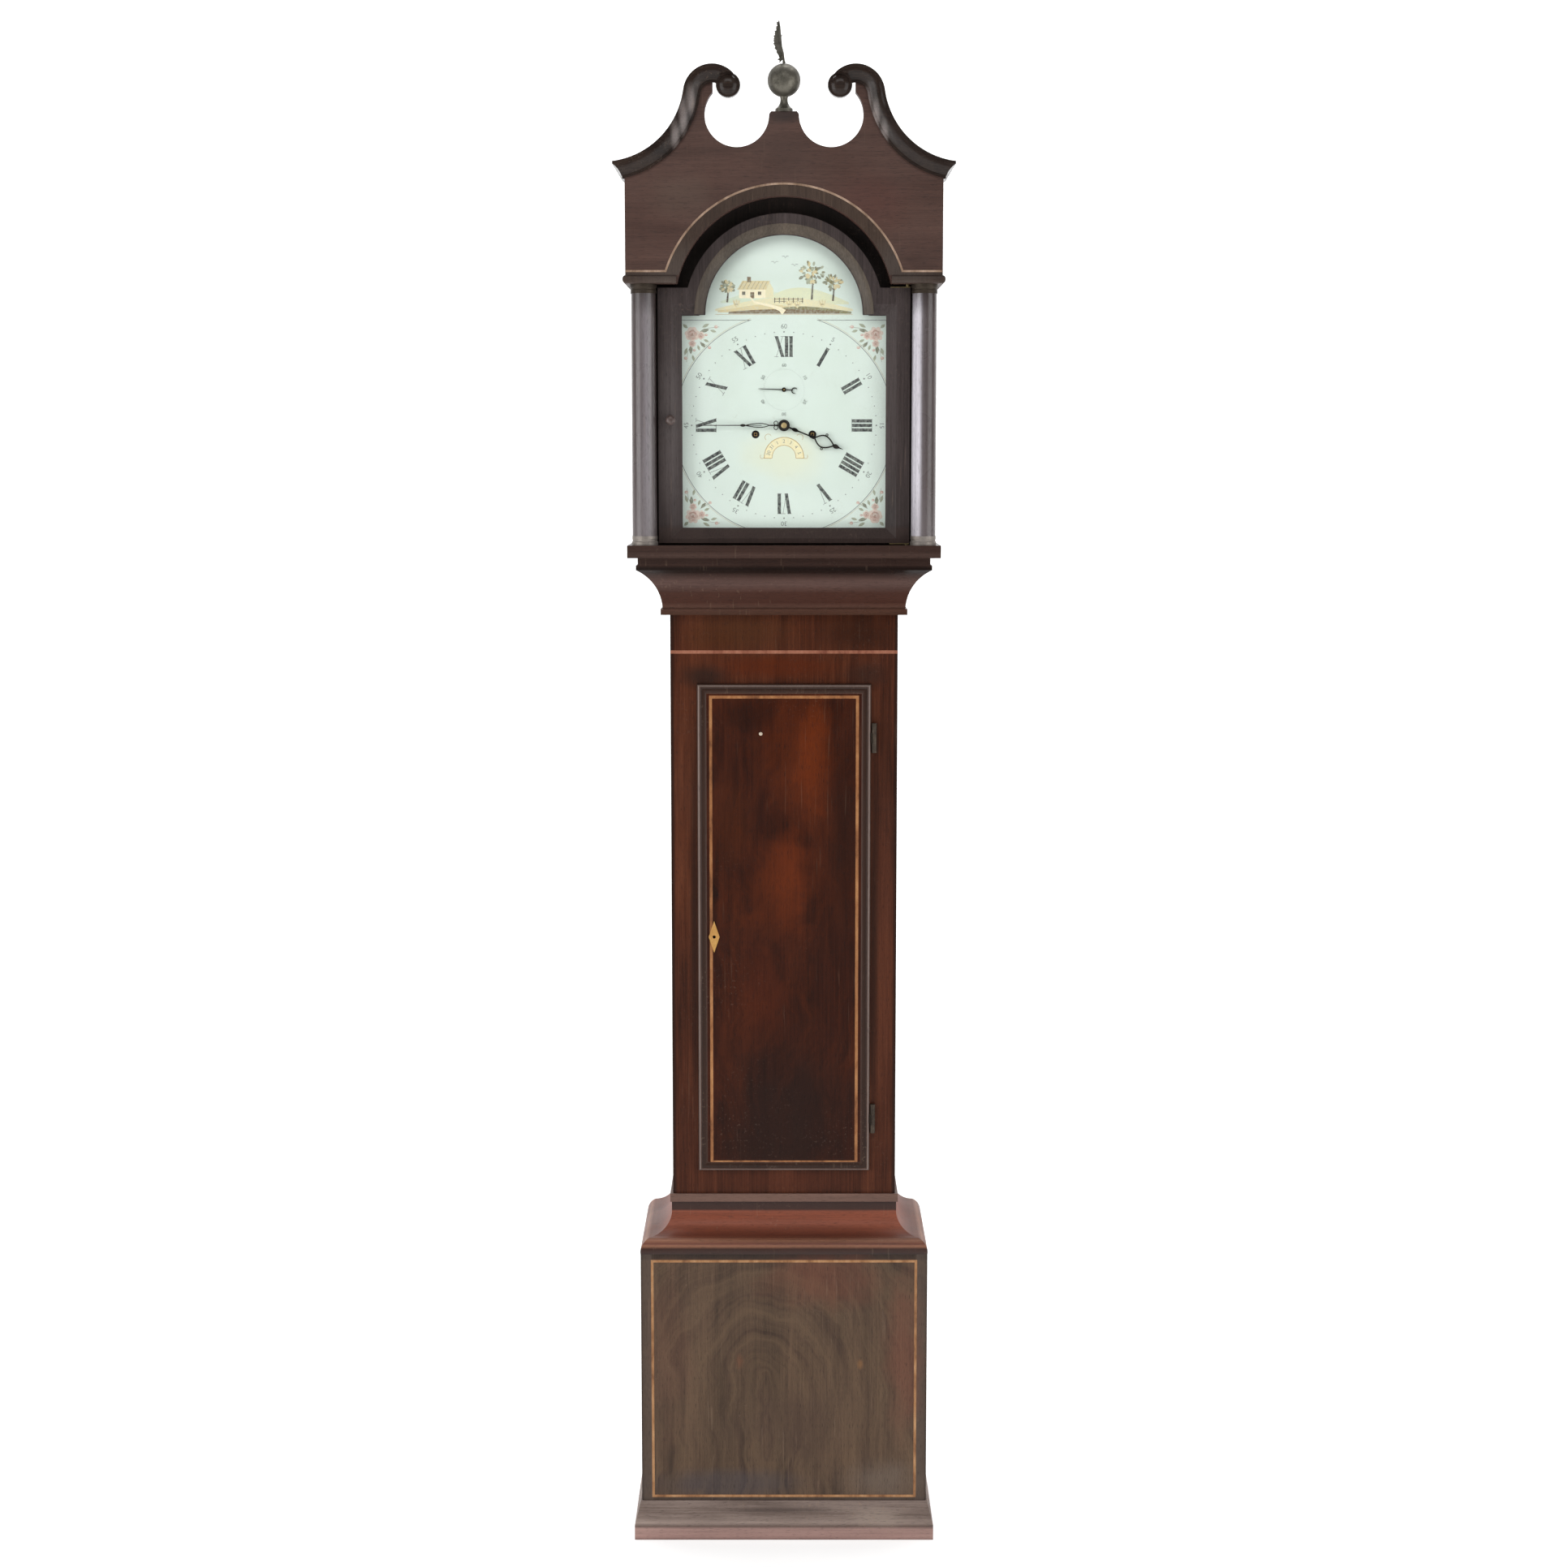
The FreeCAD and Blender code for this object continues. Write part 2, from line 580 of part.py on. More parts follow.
def make_lock():
    """Box lock behind the door, its bolt sliding to the left behind the stile."""
    half_height = S.lock_height / 2
    half_bolt = S.bolt_height / 2
    outer = box("lock_box", (door_left, door_left + S.lock_width),
                (frame_back, frame_back + S.lock_thick),
                (lock_level - half_height, lock_level + half_height))
    cavity = box("lock_cavity", (door_left + S.lock_wall, door_left + S.lock_width - S.lock_wall),
                 (frame_back, frame_back + S.lock_thick - S.lock_wall),
                 (lock_level - half_height + S.lock_wall, lock_level + half_height - S.lock_wall))
    bolt_front = frame_back + S.lock_wall
    slot = box("bolt_slot", (door_left, door_left + S.lock_wall),
               (bolt_front - S.bolt_fit, bolt_front + S.bolt_thick + S.bolt_fit),
               (lock_level - half_bolt - S.bolt_fit, lock_level + half_bolt + S.bolt_fit))
    node("trunk_door_lock", cut("lock_case", outer, cavity, slot))
    node("trunk_lock_bolt", box("lock_bolt", (door_left, door_left + S.bolt_length),
                                (bolt_front, bolt_front + S.bolt_thick),
                                (lock_level - half_bolt, lock_level + half_bolt)))

    wide = S.escutcheon_width / 2
    tall = S.escutcheon_height / 2
    kite = [(keyhole_x, lock_level - tall), (keyhole_x + wide, lock_level),
            (keyhole_x, lock_level + tall), (keyhole_x - wide, lock_level)]
    node("escutcheon", board("key_plate", kite, [(keyhole_x, lock_level, S.keyhole_radius)],
                             panel_front, S.escutcheon_thick))


def make_trunk_hinges():
    """Two butt hinges: the case leaf holds the pin and the outer knuckles."""
    third = S.knuckle_length / 3
    case_leaves = []
    door_leaves = []
    for level in hinge_levels:
        foot = level - S.knuckle_length / 2
        leaf = block((hinge_x - S.leaf_thick / 2, hinge_x + S.leaf_thick / 2),
                     (hinge_y, trunk_front + S.leaf_depth), (foot, foot + S.knuckle_length))
        tube = Part.makeCylinder(float(S.knuckle_radius), float(S.knuckle_length),
                                 point(hinge_x, hinge_y, foot))
        room = Part.makeCylinder(float(S.knuckle_radius + S.knuckle_gap), float(third + 0.4),
                                 point(hinge_x, hinge_y, foot + third - 0.2))
        pin = Part.makeCylinder(float(S.pin_radius), float(S.knuckle_length),
                                point(hinge_x, hinge_y, foot))
        case_leaves.append(tube.fuse(leaf).cut(room).fuse(pin).removeSplitter())

        knuckle = Part.makeCylinder(float(S.knuckle_radius), float(third),
                                    point(hinge_x, hinge_y, foot + third))
        web = block((lip_half, hinge_x), (hinge_y - S.leaf_thick / 2, hinge_y + S.leaf_thick / 2),
                    (foot + third, foot + third * 2))
        plate = block((lip_half, lip_half + S.knuckle_gap * 2), (lip_front + 2, trunk_front - 1),
                      (foot + third, foot + third * 2))
        bore = Part.makeCylinder(float(S.pin_radius + S.pin_fit), float(S.knuckle_length),
                                 point(hinge_x, hinge_y, foot))
        door_leaves.append(knuckle.fuse([web, plate]).cut(bore).removeSplitter())
    node("trunk_hinge_case_leaves", shaped("case_leaves", Part.makeCompound(case_leaves)))
    node("trunk_hinge_door_leaves", shaped("door_leaves", Part.makeCompound(door_leaves)))


# Hood: depths of its layers from the front, and the levels of its door
sill_front = hood_front - S.hood_floor_out
frieze_back = hood_front + S.frieze_thick
glass_door_front = hood_front + S.hood_door_setback
glass_door_back = glass_door_front + S.hood_door_thick
mask_front = glass_door_back + S.mask_gap
mask_back = mask_front + S.mask_thick
hood_back = wall - S.hood_back_gap
hood_wall_out = hood_half - S.hood_wall_inset
hood_wall_in = hood_wall_out - S.side_board
top_board_foot = cornice_foot - S.top_board_thick
glass_door_half = S.hood_door_width / 2
glass_door_foot = hood_floor + S.hood_door_foot
glass_door_head = frieze_foot - S.hood_door_head
opening_level = hood_floor + S.opening_sill
arch_level = hood_floor + S.arch_rise
pivot_x = glass_door_half - S.pivot_inset
pivot_y = glass_door_front + S.pivot_setback
plinth_top = frieze_foot + S.plinth_rise


def stepped_block(name, x, y, step_x, step_y):
    """A length of the hood's base moulding, set back below its step."""
    step_level = hood_foot + S.hood_base_step
    upper = box(name + "_upper", x, y, (step_level, hood_floor))
    lower = box(name + "_lower", step_x, step_y, (hood_foot, step_level))
    return fuse(name, upper, lower)


def make_hood_carcase():
    step = hood_half - S.hood_base_step_out
    front = stepped_block("hood_sill", (-hood_half, hood_half), (sill_front, mask_back),
                          (-step, step), (sill_front + S.hood_base_step_out, mask_back))
    socket = rod("lower_pivot_socket", "Z", (pivot_x, pivot_y, hood_floor - S.pivot_depth),
                 S.pivot_depth, S.pivot_radius + S.pivot_fit)
    depth = (mask_back, hood_back)
    left = stepped_block("hood_runner_left", (-hood_half, -hood_wall_in), depth,
                         (-step, -hood_wall_in), depth)
    right = stepped_block("hood_runner_right", (hood_wall_in, hood_half), depth,
                          (hood_wall_in, step), depth)
    node("hood_base_moulding", group("hood_base", cut("hood_sill_bored", front, socket), left, right))

    walls = [box("hood_wall_%d" % n, x, (mask_front, hood_back), (hood_floor, top_board_foot))
             for n, x in enumerate([(-hood_wall_out, -hood_wall_in), (hood_wall_in, hood_wall_out)])]
    friezes = [box("side_frieze_%d" % n, x, (frieze_back, hood_back), (frieze_foot, cornice_top))
               for n, x in enumerate([(-hood_half, -hood_wall_out), (hood_wall_out, hood_half)])]
    roof = box("hood_roof", (-hood_wall_out, hood_wall_out), (frieze_back, hood_back),
               (top_board_foot, cornice_foot))

    blocks = []
    for side in (-1, 1):
        ends = sorted((side * (hood_wall_in - S.soffit_width), side * hood_wall_out), key=float)
        level = (frieze_foot, frieze_foot + S.soffit_height)
        blank = box("soffit_%d" % (side + 1), ends, (frieze_back, mask_front), level)
        hole = rod("upper_pivot_socket_%d" % (side + 1), "Z", (pivot_x, pivot_y, frieze_foot),
                   S.pivot_depth, S.pivot_radius + S.pivot_fit)
        blocks.append(cut("soffit_bored_%d" % (side + 1), blank, hole))
    node("hood_carcase", group("hood_boards", roof, *(walls + friezes + blocks)))

    start, steps = arch_outline(S.opening_width / 2 + S.mask_gap, opening_level - S.mask_gap,
                                arch_level + S.mask_gap, arch_level, S.opening_arch + S.mask_gap)
    window = flat_piece(start, steps, mask_front, mask_back)
    mask = block((-hood_wall_in, hood_wall_in), (mask_front, mask_back), (hood_floor, top_board_foot))
    node("hood_mask", shaped("mask", mask.cut(window)))


def on_circle(x, z, radius, degrees):
    """A point of a circle in the XZ plane, measured anticlockwise from +X."""
    angle = math.radians(float(degrees))
    return float(x) + float(radius) * math.cos(angle), float(z) + float(radius) * math.sin(angle)


def neck_sweep(x):
    """Angle of the hollow arc at a given distance from the middle of the clock."""
    across = float(x) - float(neck_x)
    return 180 + math.degrees(math.atan2(math.sqrt(float(S.neck_radius) ** 2 - across ** 2), -across))


def make_tympanum():
    """Arched front board, its top cut to the swan-neck and to a round opening each side."""
    spring = math.sqrt(float(S.arch_radius) ** 2 - float(S.arch_drop) ** 2)
    crown = frieze_foot - S.arch_drop + S.arch_radius
    hollow = S.neck_radius + S.neck_inset
    swell = S.scroll_radius - S.neck_inset
    edge_z = neck_level - root(hollow * hollow - (neck_x - hood_half) * (neck_x - hood_half))
    join = float(S.neck_angle)
    hollow_middle = (180 + join + neck_sweep(hood_half)) / 2
    cutout_level = frieze_foot + S.cutout_rise
    over = S.scroll_x - S.cutout_x
    notch_z = cutout_level + root(S.cutout_radius * S.cutout_radius - over * over)
    right = [(hood_half, frieze_foot), (hood_half, edge_z),
             (on_circle(neck_x, neck_level, hollow, hollow_middle),
              on_circle(S.scroll_x, scroll_level, swell, join)),
             (on_circle(S.scroll_x, scroll_level, swell, (90 + join) / 2),
              on_circle(S.scroll_x, scroll_level, swell, 90)),
             (S.scroll_x, notch_z),
             ((S.cutout_x, cutout_level - S.cutout_radius),
              (S.cutout_x - S.cutout_radius, cutout_level)),
             (S.plinth_half, plinth_top)]
    halves = []
    for side in (1, -1):
        steps = [mirrored(step, side) for step in right]
        start = (0 * S.plinth_half, crown)
        arch_middle = on_circle(0, frieze_foot - S.arch_drop, S.arch_radius, 90 - side * 40)
        foot = ((arch_middle, (side * spring, frieze_foot)),)
        halves.append(flat_piece(start, list(foot) + steps + [(0, plinth_top)], hood_front, frieze_back))
    node("hood_tympanum", shaped("tympanum", halves[0].fuse(halves[1]).removeSplitter()))


def mirrored(step, side):
    """An outline step, or its image on the other side of the middle."""
    if isinstance(step[0], tuple):
        return tuple((side * x, z) for x, z in step)
    return side * step[0], step[1]


def make_pediment():
    """Swan-neck mouldings, their scroll bosses, and the cornice returns along the sides."""
    reach = S.pediment_projection
    band = S.neck_band
    cove_end = band - S.neck_foot_width
    hollow_n = S.neck_top_flat + (cove_end - S.neck_top_flat) * 0.42
    hollow_p = S.neck_foot + (reach - S.neck_foot) * 0.42
    profile = [(0, 0), (0, reach), (S.neck_top_flat, reach),
               ((hollow_n, hollow_p), (cove_end, S.neck_foot + 1)),
               (cove_end, S.neck_foot), (band, S.neck_foot), (band, 0)]
    join = math.radians(float(S.neck_angle))
    ray = FreeCAD.Vector(math.cos(join), 0, math.sin(join))
    tangent = point(S.scroll_x, hood_front, scroll_level) + ray * float(S.scroll_radius)
    face = Part.Face(outline_wire(profile[0], profile[1:], lambda n, p: (
        tangent - ray * float(n) - FreeCAD.Vector(0, float(p), 0))))
    turn = FreeCAD.Vector(0, -1, 0)
    outer = face.revolve(point(neck_x, hood_front, neck_level), turn,
                         neck_sweep(horn_x) - 180 - float(S.neck_angle))
    inner = face.revolve(point(S.scroll_x, hood_front, scroll_level), turn,
                         float(S.scroll_end_angle - S.neck_angle))

    boss_x, boss_z = on_circle(S.scroll_x, scroll_level, S.scroll_radius - S.boss_inset,
                               S.scroll_end_angle)
    rim = S.boss_out - S.boss_dome
    boss_profile = [(0, 0), (S.boss_radius, 0), (S.boss_radius, rim), (S.boss_radius - S.boss_rim, rim),
                    ((S.boss_radius / 2, rim + S.boss_dome * 0.8), (S.boss_rim / 2, S.boss_out)),
                    (0, S.boss_out)]
    boss_face = Part.Face(outline_wire(boss_profile[0], boss_profile[1:], lambda r, p: point(
        boss_x + float(r), hood_front - p, boss_z)))
    boss = boss_face.revolve(point(boss_x, hood_front, boss_z), FreeCAD.Vector(0, 1, 0), 360)
    room = bar_y(boss_x, boss_z, hood_front - reach * 2, hood_front, S.boss_radius)
    neck = outer.fuse(inner).removeSplitter().cut(room).Solids[0]
    middle = FreeCAD.Vector(0, 0, 0)
    across = FreeCAD.Vector(1, 0, 0)
    node("scroll_bosses", shaped("bosses", Part.makeCompound([boss, boss.mirror(middle, across)])))

    lip = S.cornice_out
    share = lip / reach
    hollow = S.cornice_band - S.neck_top_flat - S.neck_foot_width
    profile = [(0, 0), (S.neck_foot * share, 0), (S.neck_foot * share, S.neck_foot_width),
               ((S.neck_foot + 1) * share, S.neck_foot_width),
               ((hollow_p * share, S.neck_foot_width + hollow * 0.58),
                (lip, S.cornice_band - S.neck_top_flat)),
               (lip, S.cornice_band), (0, S.cornice_band)]
    face = Part.Face(outline_wire(profile[0], profile[1:], lambda u, h: point(
        hood_half + u, hood_front - reach, cornice_foot + h)))
    run = face.extrude(point(0, hood_back - hood_front + reach, 0))
    corner = (hood_half, hood_front)
    ahead = (hood_half + lip * 2, hood_front - reach * 2)
    side_run = mitre(run, [corner, ahead, (hood_half + lip * 2, hood_back + 1), (hood_half, hood_back + 1)],
                     cornice_foot - 1, S.cornice_band + 2)
    area = [corner, ahead, (0, hood_front - reach * 2), (0, hood_front + 1), (hood_half, hood_front + 1)]
    neck = mitre(neck, area, cornice_foot - band, S.scroll_rise)
    halves = [neck, side_run]
    node("pediment_mouldings", shaped("swan_necks", Part.makeCompound(
        halves + [half.mirror(middle, across) for half in halves])))


def make_columns():
    centre_y = hood_front + S.column_setback
    foot = hood_floor + S.brass_height
    head = frieze_foot - S.brass_height
    shafts = []
    brasses = []
    for side in (-1, 1):
        x = side * S.column_x
        shafts.append(turned([(0, foot), (S.column_radius, foot),
                              (S.column_radius - S.column_waist, head), (0, head)], x, centre_y))
        for end, inward in ((hood_floor, 1), (frieze_foot, -1)):
            step = inward * S.brass_height / 3
            brasses.append(turned([(0, end), (S.brass_radius, end), (S.brass_radius, end + step),
                                   ((S.column_radius, end + step * 1.4),
                                    (S.column_radius + S.column_waist, end + step * 2)),
                                   (S.column_radius + S.column_waist, end + step * 3),
                                   (0, end + step * 3)], x, centre_y))
    node("hood_columns", shaped("columns", Part.makeCompound(shafts)))
    node("column_brasses", shaped("brasses", Part.makeCompound(brasses)))


def make_finial():
    """Turned brass ball on a foot, with a cast bird standing edge-on on its flat top."""
    y = hood_front + S.frieze_thick / 2
    foot = plinth_top
    neck_z = foot + S.finial_foot_height
    seat = root(S.finial_ball * S.finial_ball - S.finial_neck * S.finial_neck)
    ball_z = neck_z + seat
    top = ball_z + seat
    node("finial_ball", shaped("ball", turned(
        [(0, foot), (S.finial_foot, foot), (S.finial_foot, foot + S.finial_foot_height / 5),
         ((S.finial_neck + 1, foot + S.finial_foot_height / 2), (S.finial_neck, neck_z)),
         ((S.finial_ball, ball_z), (S.finial_neck, top)), (0, top)], 0, y)))

    tall = float(S.ornament_height)
    slim = S.ornament_radius
    bird = turned([(0, top), (S.finial_neck, top), (S.finial_neck, top + tall * 0.05),
                   (slim / 2, top + tall * 0.12), ((slim, top + tall * 0.4), (slim / 2, top + tall * 0.66)),
                   ((slim * 0.8, top + tall * 0.74), (0, top + tall * 0.82))], 0, y)
    # Wing outline: share of the half span outwards, share of the height
    wing = [(0.05, 0.20), (0.35, 0.18), (0.62, 0.32), (0.85, 0.56), (1.0, 0.84), (0.93, 1.0),
            (0.74, 0.82), (0.55, 0.66), (0.32, 0.56), (0.05, 0.60)]
    wings = []
    for side in (-1, 1):
        outline = [point(-S.wing_thick / 2, float(y) + side * float(S.wing_span) / 2 * out,
                         float(top) + tall * up) for out, up in wing + wing[:1]]
        wings.append(Part.Face(Part.makePolygon(outline)).extrude(point(S.wing_thick, 0, 0)))
    beak = Part.makeCone(float(slim) * 0.5, 0.4, float(slim) * 1.6,
                         point(0, y, float(top) + tall * 0.74), FreeCAD.Vector(0, -1, -0.2))
    node("finial_ornament", shaped("bird", bird.fuse(wings + [beak]).removeSplitter()))


def make_hood_door():
    """Arched frame in four pieces, its glass, pivots and pull knob."""
    half_open = S.opening_width / 2
    start, steps = arch_outline(glass_door_half, glass_door_foot, glass_door_head, arch_level,
                                S.hood_door_arch)
    blank = flat_piece(start, steps, glass_door_front, glass_door_back)
    start, steps = arch_outline(half_open, opening_level, arch_level, arch_level, S.opening_arch)
    window = flat_piece(start, steps, glass_door_front, glass_door_back)
    bevel_back = glass_door_front + S.ovolo_depth
    small = outline_wire(start, steps, lambda x, z: point(x, bevel_back, z))
    grow = S.ovolo_width
    start, steps = arch_outline(half_open + grow, opening_level - grow, arch_level + grow, arch_level,
                                S.opening_arch + grow)
    large = outline_wire(start, steps, lambda x, z: point(x, glass_door_front, z))
    bevel = Part.makeLoft([small, large], True, True)
    glass_front = bevel_back + S.glass_thick
    grow = S.glass_rebate
    start, steps = arch_outline(half_open + grow, opening_level - grow, arch_level + grow, arch_level,
                                S.opening_arch + grow)
    rebate = flat_piece(start, steps, glass_front, glass_door_back)
    frame = blank.cut(window).cut(bevel).cut(rebate)

    knob_x = -glass_door_half + S.knob_inset
    knob_z = hood_floor + S.knob_rise
    frame = frame.cut(bar_y(knob_x, knob_z, glass_door_front, glass_door_back, S.knob_stem))
    low = glass_door_foot - 1
    high = arch_level + S.hood_door_arch + 1
    depth = (glass_door_front - 1, glass_door_back + 1)
    far = glass_door_half + 1
    keepers = [block((-far, -half_open), depth, (low, high)),
               block((half_open, far), depth, (low, high)),
               block((-half_open, half_open), depth, (low, opening_level)),
               block((-half_open, half_open), depth, (opening_level, high))]
    pieces = [frame.common(keeper).Solids[0] for keeper in keepers]
    node("hood_door_frame", shaped("hood_frame", Part.makeCompound(pieces)))

    grow = S.glass_rebate - S.glass_fit
    start, steps = arch_outline(half_open + grow, opening_level - grow, arch_level + grow, arch_level,
                                S.opening_arch + grow)
    node("hood_door_glass", shaped("pane", flat_piece(start, steps, glass_front,
                                                      glass_front + S.glass_thick)))

    straps = []
    for edge, outward in ((glass_door_foot, -1), (glass_door_head, 1)):
        plate_edge = edge + outward * S.pivot_plate
        levels = sorted((edge, plate_edge), key=float)
        strap = block((glass_door_half - S.pivot_strap, glass_door_half),
                      (glass_door_front, glass_door_back), levels)
        socket_mouth = hood_floor if outward < 0 else frieze_foot
        tip = socket_mouth + outward * (S.pivot_depth - 1)
        pin = Part.makeCylinder(float(S.pivot_radius), abs(float(tip - plate_edge)),
                                point(pivot_x, pivot_y, plate_edge), FreeCAD.Vector(0, 0, outward))
        straps.append(strap.fuse(pin))
    node("hood_door_pivots", shaped("door_pivots", Part.makeCompound(straps)))

    front = glass_door_front
    knob = bar_y(knob_x, knob_z, front - S.knob_length / 2, glass_door_back, S.knob_stem)
    knob_profile = [(0, S.knob_length), ((S.knob_radius, S.knob_length * 0.75),
                                        (S.knob_stem, S.knob_length / 2)), (0, S.knob_length / 2)]
    knob_face = Part.Face(outline_wire(knob_profile[0], knob_profile[1:], lambda r, p: point(
        float(knob_x) + float(r), float(front) - float(p), knob_z)))
    head = knob_face.revolve(point(knob_x, front, knob_z), FreeCAD.Vector(0, 1, 0), 360)
    node("hood_door_knob", shaped("knob", knob.fuse(head).removeSplitter()))


# Movement: depths behind the dial, and arbor places in the XZ plane
dial_front = mask_back + S.dial_gap
dial_back = dial_front + S.dial_thick
plate_front = dial_back + S.dial_to_plate
gap_front = plate_front + S.plate_thick
gap_back = gap_front + S.plate_gap
plates_back = gap_back + S.plate_thick
plate_half = S.plate_width / 2
plate_top = seat_top + S.plate_rise
centre_at = (0 * S.winding_x, dial_level)
going_at = (S.winding_x, dial_level - S.winding_drop)
strike_at = (-S.winding_x, dial_level - S.winding_drop)
third_at = (S.third_x, dial_level + S.third_rise)
escape_at = (0 * S.winding_x, dial_level + S.seconds_rise)
pallet_at = (0 * S.winding_x, dial_level + S.pallet_rise)
pin_wheel_at = (-S.pin_wheel_x, dial_level + S.pin_wheel_rise)
hammer_at = (-S.hammer_x, dial_level + S.hammer_rise)
line_y = gap_front + S.barrel_start + S.barrel_length / 2
line_offset = S.barrel_radius + S.line_radius + S.line_fit
rod_y = plates_back + S.rod_setback


def span(a, b):
    """Distance between two arbors."""
    return math.hypot(float(b[0] - a[0]), float(b[1] - a[1]))


def bearing(a, b):
    """Direction from one arbor to another, in degrees anticlockwise from +X."""
    return math.degrees(math.atan2(float(b[1] - a[1]), float(b[0] - a[0])))


motion_centres = S.motion_module * S.motion_teeth
stud_at = (centre_at[0], dial_level - motion_centres)
great_module = 2 * span(going_at, centre_at) / float(S.great_teeth + S.pinion_leaves)
centre_module = 2 * span(centre_at, third_at) / float(S.centre_teeth + S.pinion_leaves)
third_module = 2 * span(third_at, escape_at) / float(S.third_teeth + S.escape_leaves)
strike_module = 2 * span(strike_at, pin_wheel_at) / float(S.strike_teeth + S.pinion_leaves)
hour_module = 2 * float(motion_centres) / float(S.hour_teeth + S.hour_leaves)

# Tooth forms, as shares of the pitch and of the module
WHEEL_TOOTH = 0.46
PINION_LEAF = 0.34
WHEEL_TIP = 1.1
MOTION_TIP = 0.7
PINION_TIP = 0.55
ROOT_ROOM = 0.3


def toothed(at, teeth, module, tooth, tip, root_depth, mate_bearing, front, thick, gap_faces_mate):
    """A wheel or pinion blank with radial flanks and rounded tips.

    A tooth, or else a gap, faces the mating wheel.
    """
    teeth = int(round(float(teeth)))
    pitch_radius = module * teeth / 2
    step = 2 * math.pi / teeth
    half = tooth * step / 2
    ring = [(-half, pitch_radius - root_depth * module), (-half, pitch_radius),
            (-0.7 * half, pitch_radius + 0.55 * tip * module), (-0.28 * half, pitch_radius + tip * module),
            (0.28 * half, pitch_radius + tip * module), (0.7 * half, pitch_radius + 0.55 * tip * module),
            (half, pitch_radius), (half, pitch_radius - root_depth * module)]
    first = math.radians(mate_bearing) + (step / 2 if gap_faces_mate else 0)
    corners = []
    for n in range(teeth):
        for turn, radius in ring:
            angle = first + n * step + turn
            corners.append(point(float(at[0]) + radius * math.cos(angle), front,
                                 float(at[1]) + radius * math.sin(angle)))
    return Part.Face(Part.makePolygon(corners + corners[:1])).extrude(point(0, thick, 0))


def wheel(at, teeth, module, mate_bearing, front, thick, tip=WHEEL_TIP):
    return toothed(at, teeth, module, WHEEL_TOOTH, tip, PINION_TIP + 2 * ROOT_ROOM, mate_bearing,
                   front, thick, False)


def pinion(at, leaves, module, mate_bearing, front, thick, wheel_tip=WHEEL_TIP):
    return toothed(at, leaves, module, PINION_LEAF, PINION_TIP, wheel_tip + ROOT_ROOM, mate_bearing,
                   front, thick, True)


def arbor(at, radius=None):
    """A plain arbor between the plates with a pivot through each plate."""
    body = bar_y(at[0], at[1], gap_front + S.swing_fit, gap_back - S.swing_fit,
                 radius or S.arbor_radius)
    return body.fuse(bar_y(at[0], at[1], plate_front, plates_back, S.pivot_pin))


def make_movement_frame():
    clear = S.pivot_clear
    small = S.pivot_pin + clear
    shared = [third_at + (small,), pin_wheel_at + (small,), hammer_at + (small,)]
    front_holes = shared + [
        going_at + (S.barrel_arbor + clear,), strike_at + (S.barrel_arbor + clear,),
        centre_at + (S.arbor_radius + clear,), escape_at + (S.seconds_arbor + clear,),
        pallet_at + (small,)]
    back_holes = shared + [
        going_at + (S.barrel_pivot + clear,), strike_at + (S.barrel_pivot + clear,),
        centre_at + (small,), escape_at + (small,), pallet_at + (S.pallet_hole,)]
    outline = rectangle((-plate_half, plate_half), (seat_top, plate_top))
    front = board("front_plate_blank", outline, front_holes, gap_front, S.plate_thick)
    stud_length = S.hour_place + S.pinion_length
    stud = rod("motion_stud", "Y", (stud_at[0], plate_front - stud_length, stud_at[1]), stud_length,
               S.stud_radius)
    node("front_plate", fuse("front_plate_studded", front, stud))
    back = board("back_plate_blank", outline, back_holes, plates_back, S.plate_thick)
    rows = [(S.pillar_inset, seat_top + S.pillar_inset),
            (S.upper_pillar_inset, plate_top - S.pillar_inset)]
    pillars = [rod("pillar_%d_%d" % (n, side + 1), "Y",
                   (side * (plate_half - inset), gap_front, level), S.plate_gap, S.pillar_radius)
               for n, (inset, level) in enumerate(rows) for side in (-1, 1)]
    node("back_plate", fuse("back_plate_pillars", back, *pillars))

    blank = box("seat_blank", (-trunk_half, trunk_half),
                (plate_front - S.seat_front, plates_back + S.seat_back), (seat_foot, seat_top))
    cuts = []
    for n, at in enumerate((going_at, strike_at)):
        lead = at[0] - line_offset
        cuts.append(box("line_slot_%d" % n, (lead - S.slot_width / 2, lead + S.slot_width / 2),
                        (line_y - S.barrel_length / 2, line_y + S.barrel_length / 2),
                        (seat_foot, seat_top)))
        cuts.append(rod("line_eye_%d" % n, "Z", (at[0] + line_offset, line_y, seat_foot),
                        S.seat_thick, S.line_radius + S.line_fit))
    node("seatboard", cut("seat", blank, *cuts))


def make_dial():
    half = S.dial_width / 2
    start, steps = arch_outline(half, arch_level - S.dial_width, arch_level, arch_level, S.dial_arch)
    plate = flat_piece(start, steps, dial_front, dial_back)
    holes = [centre_at + (S.dial_hole,), escape_at + (S.seconds_hole,), going_at + (S.winding_hole,),
             strike_at + (S.winding_hole,)]
    plate = plate.cut([bar_y(x, z, dial_front, dial_back, r) for x, z, r in holes])
    feet = [bar_y(x * S.dial_foot_x, dial_level + rise, dial_back, plate_front, S.dial_foot)
            for x in (-1, 1) for rise in (S.dial_foot_rise, -S.dial_foot_drop)]
    node("dial_plate", shaped("dial", plate.fuse(feet)))


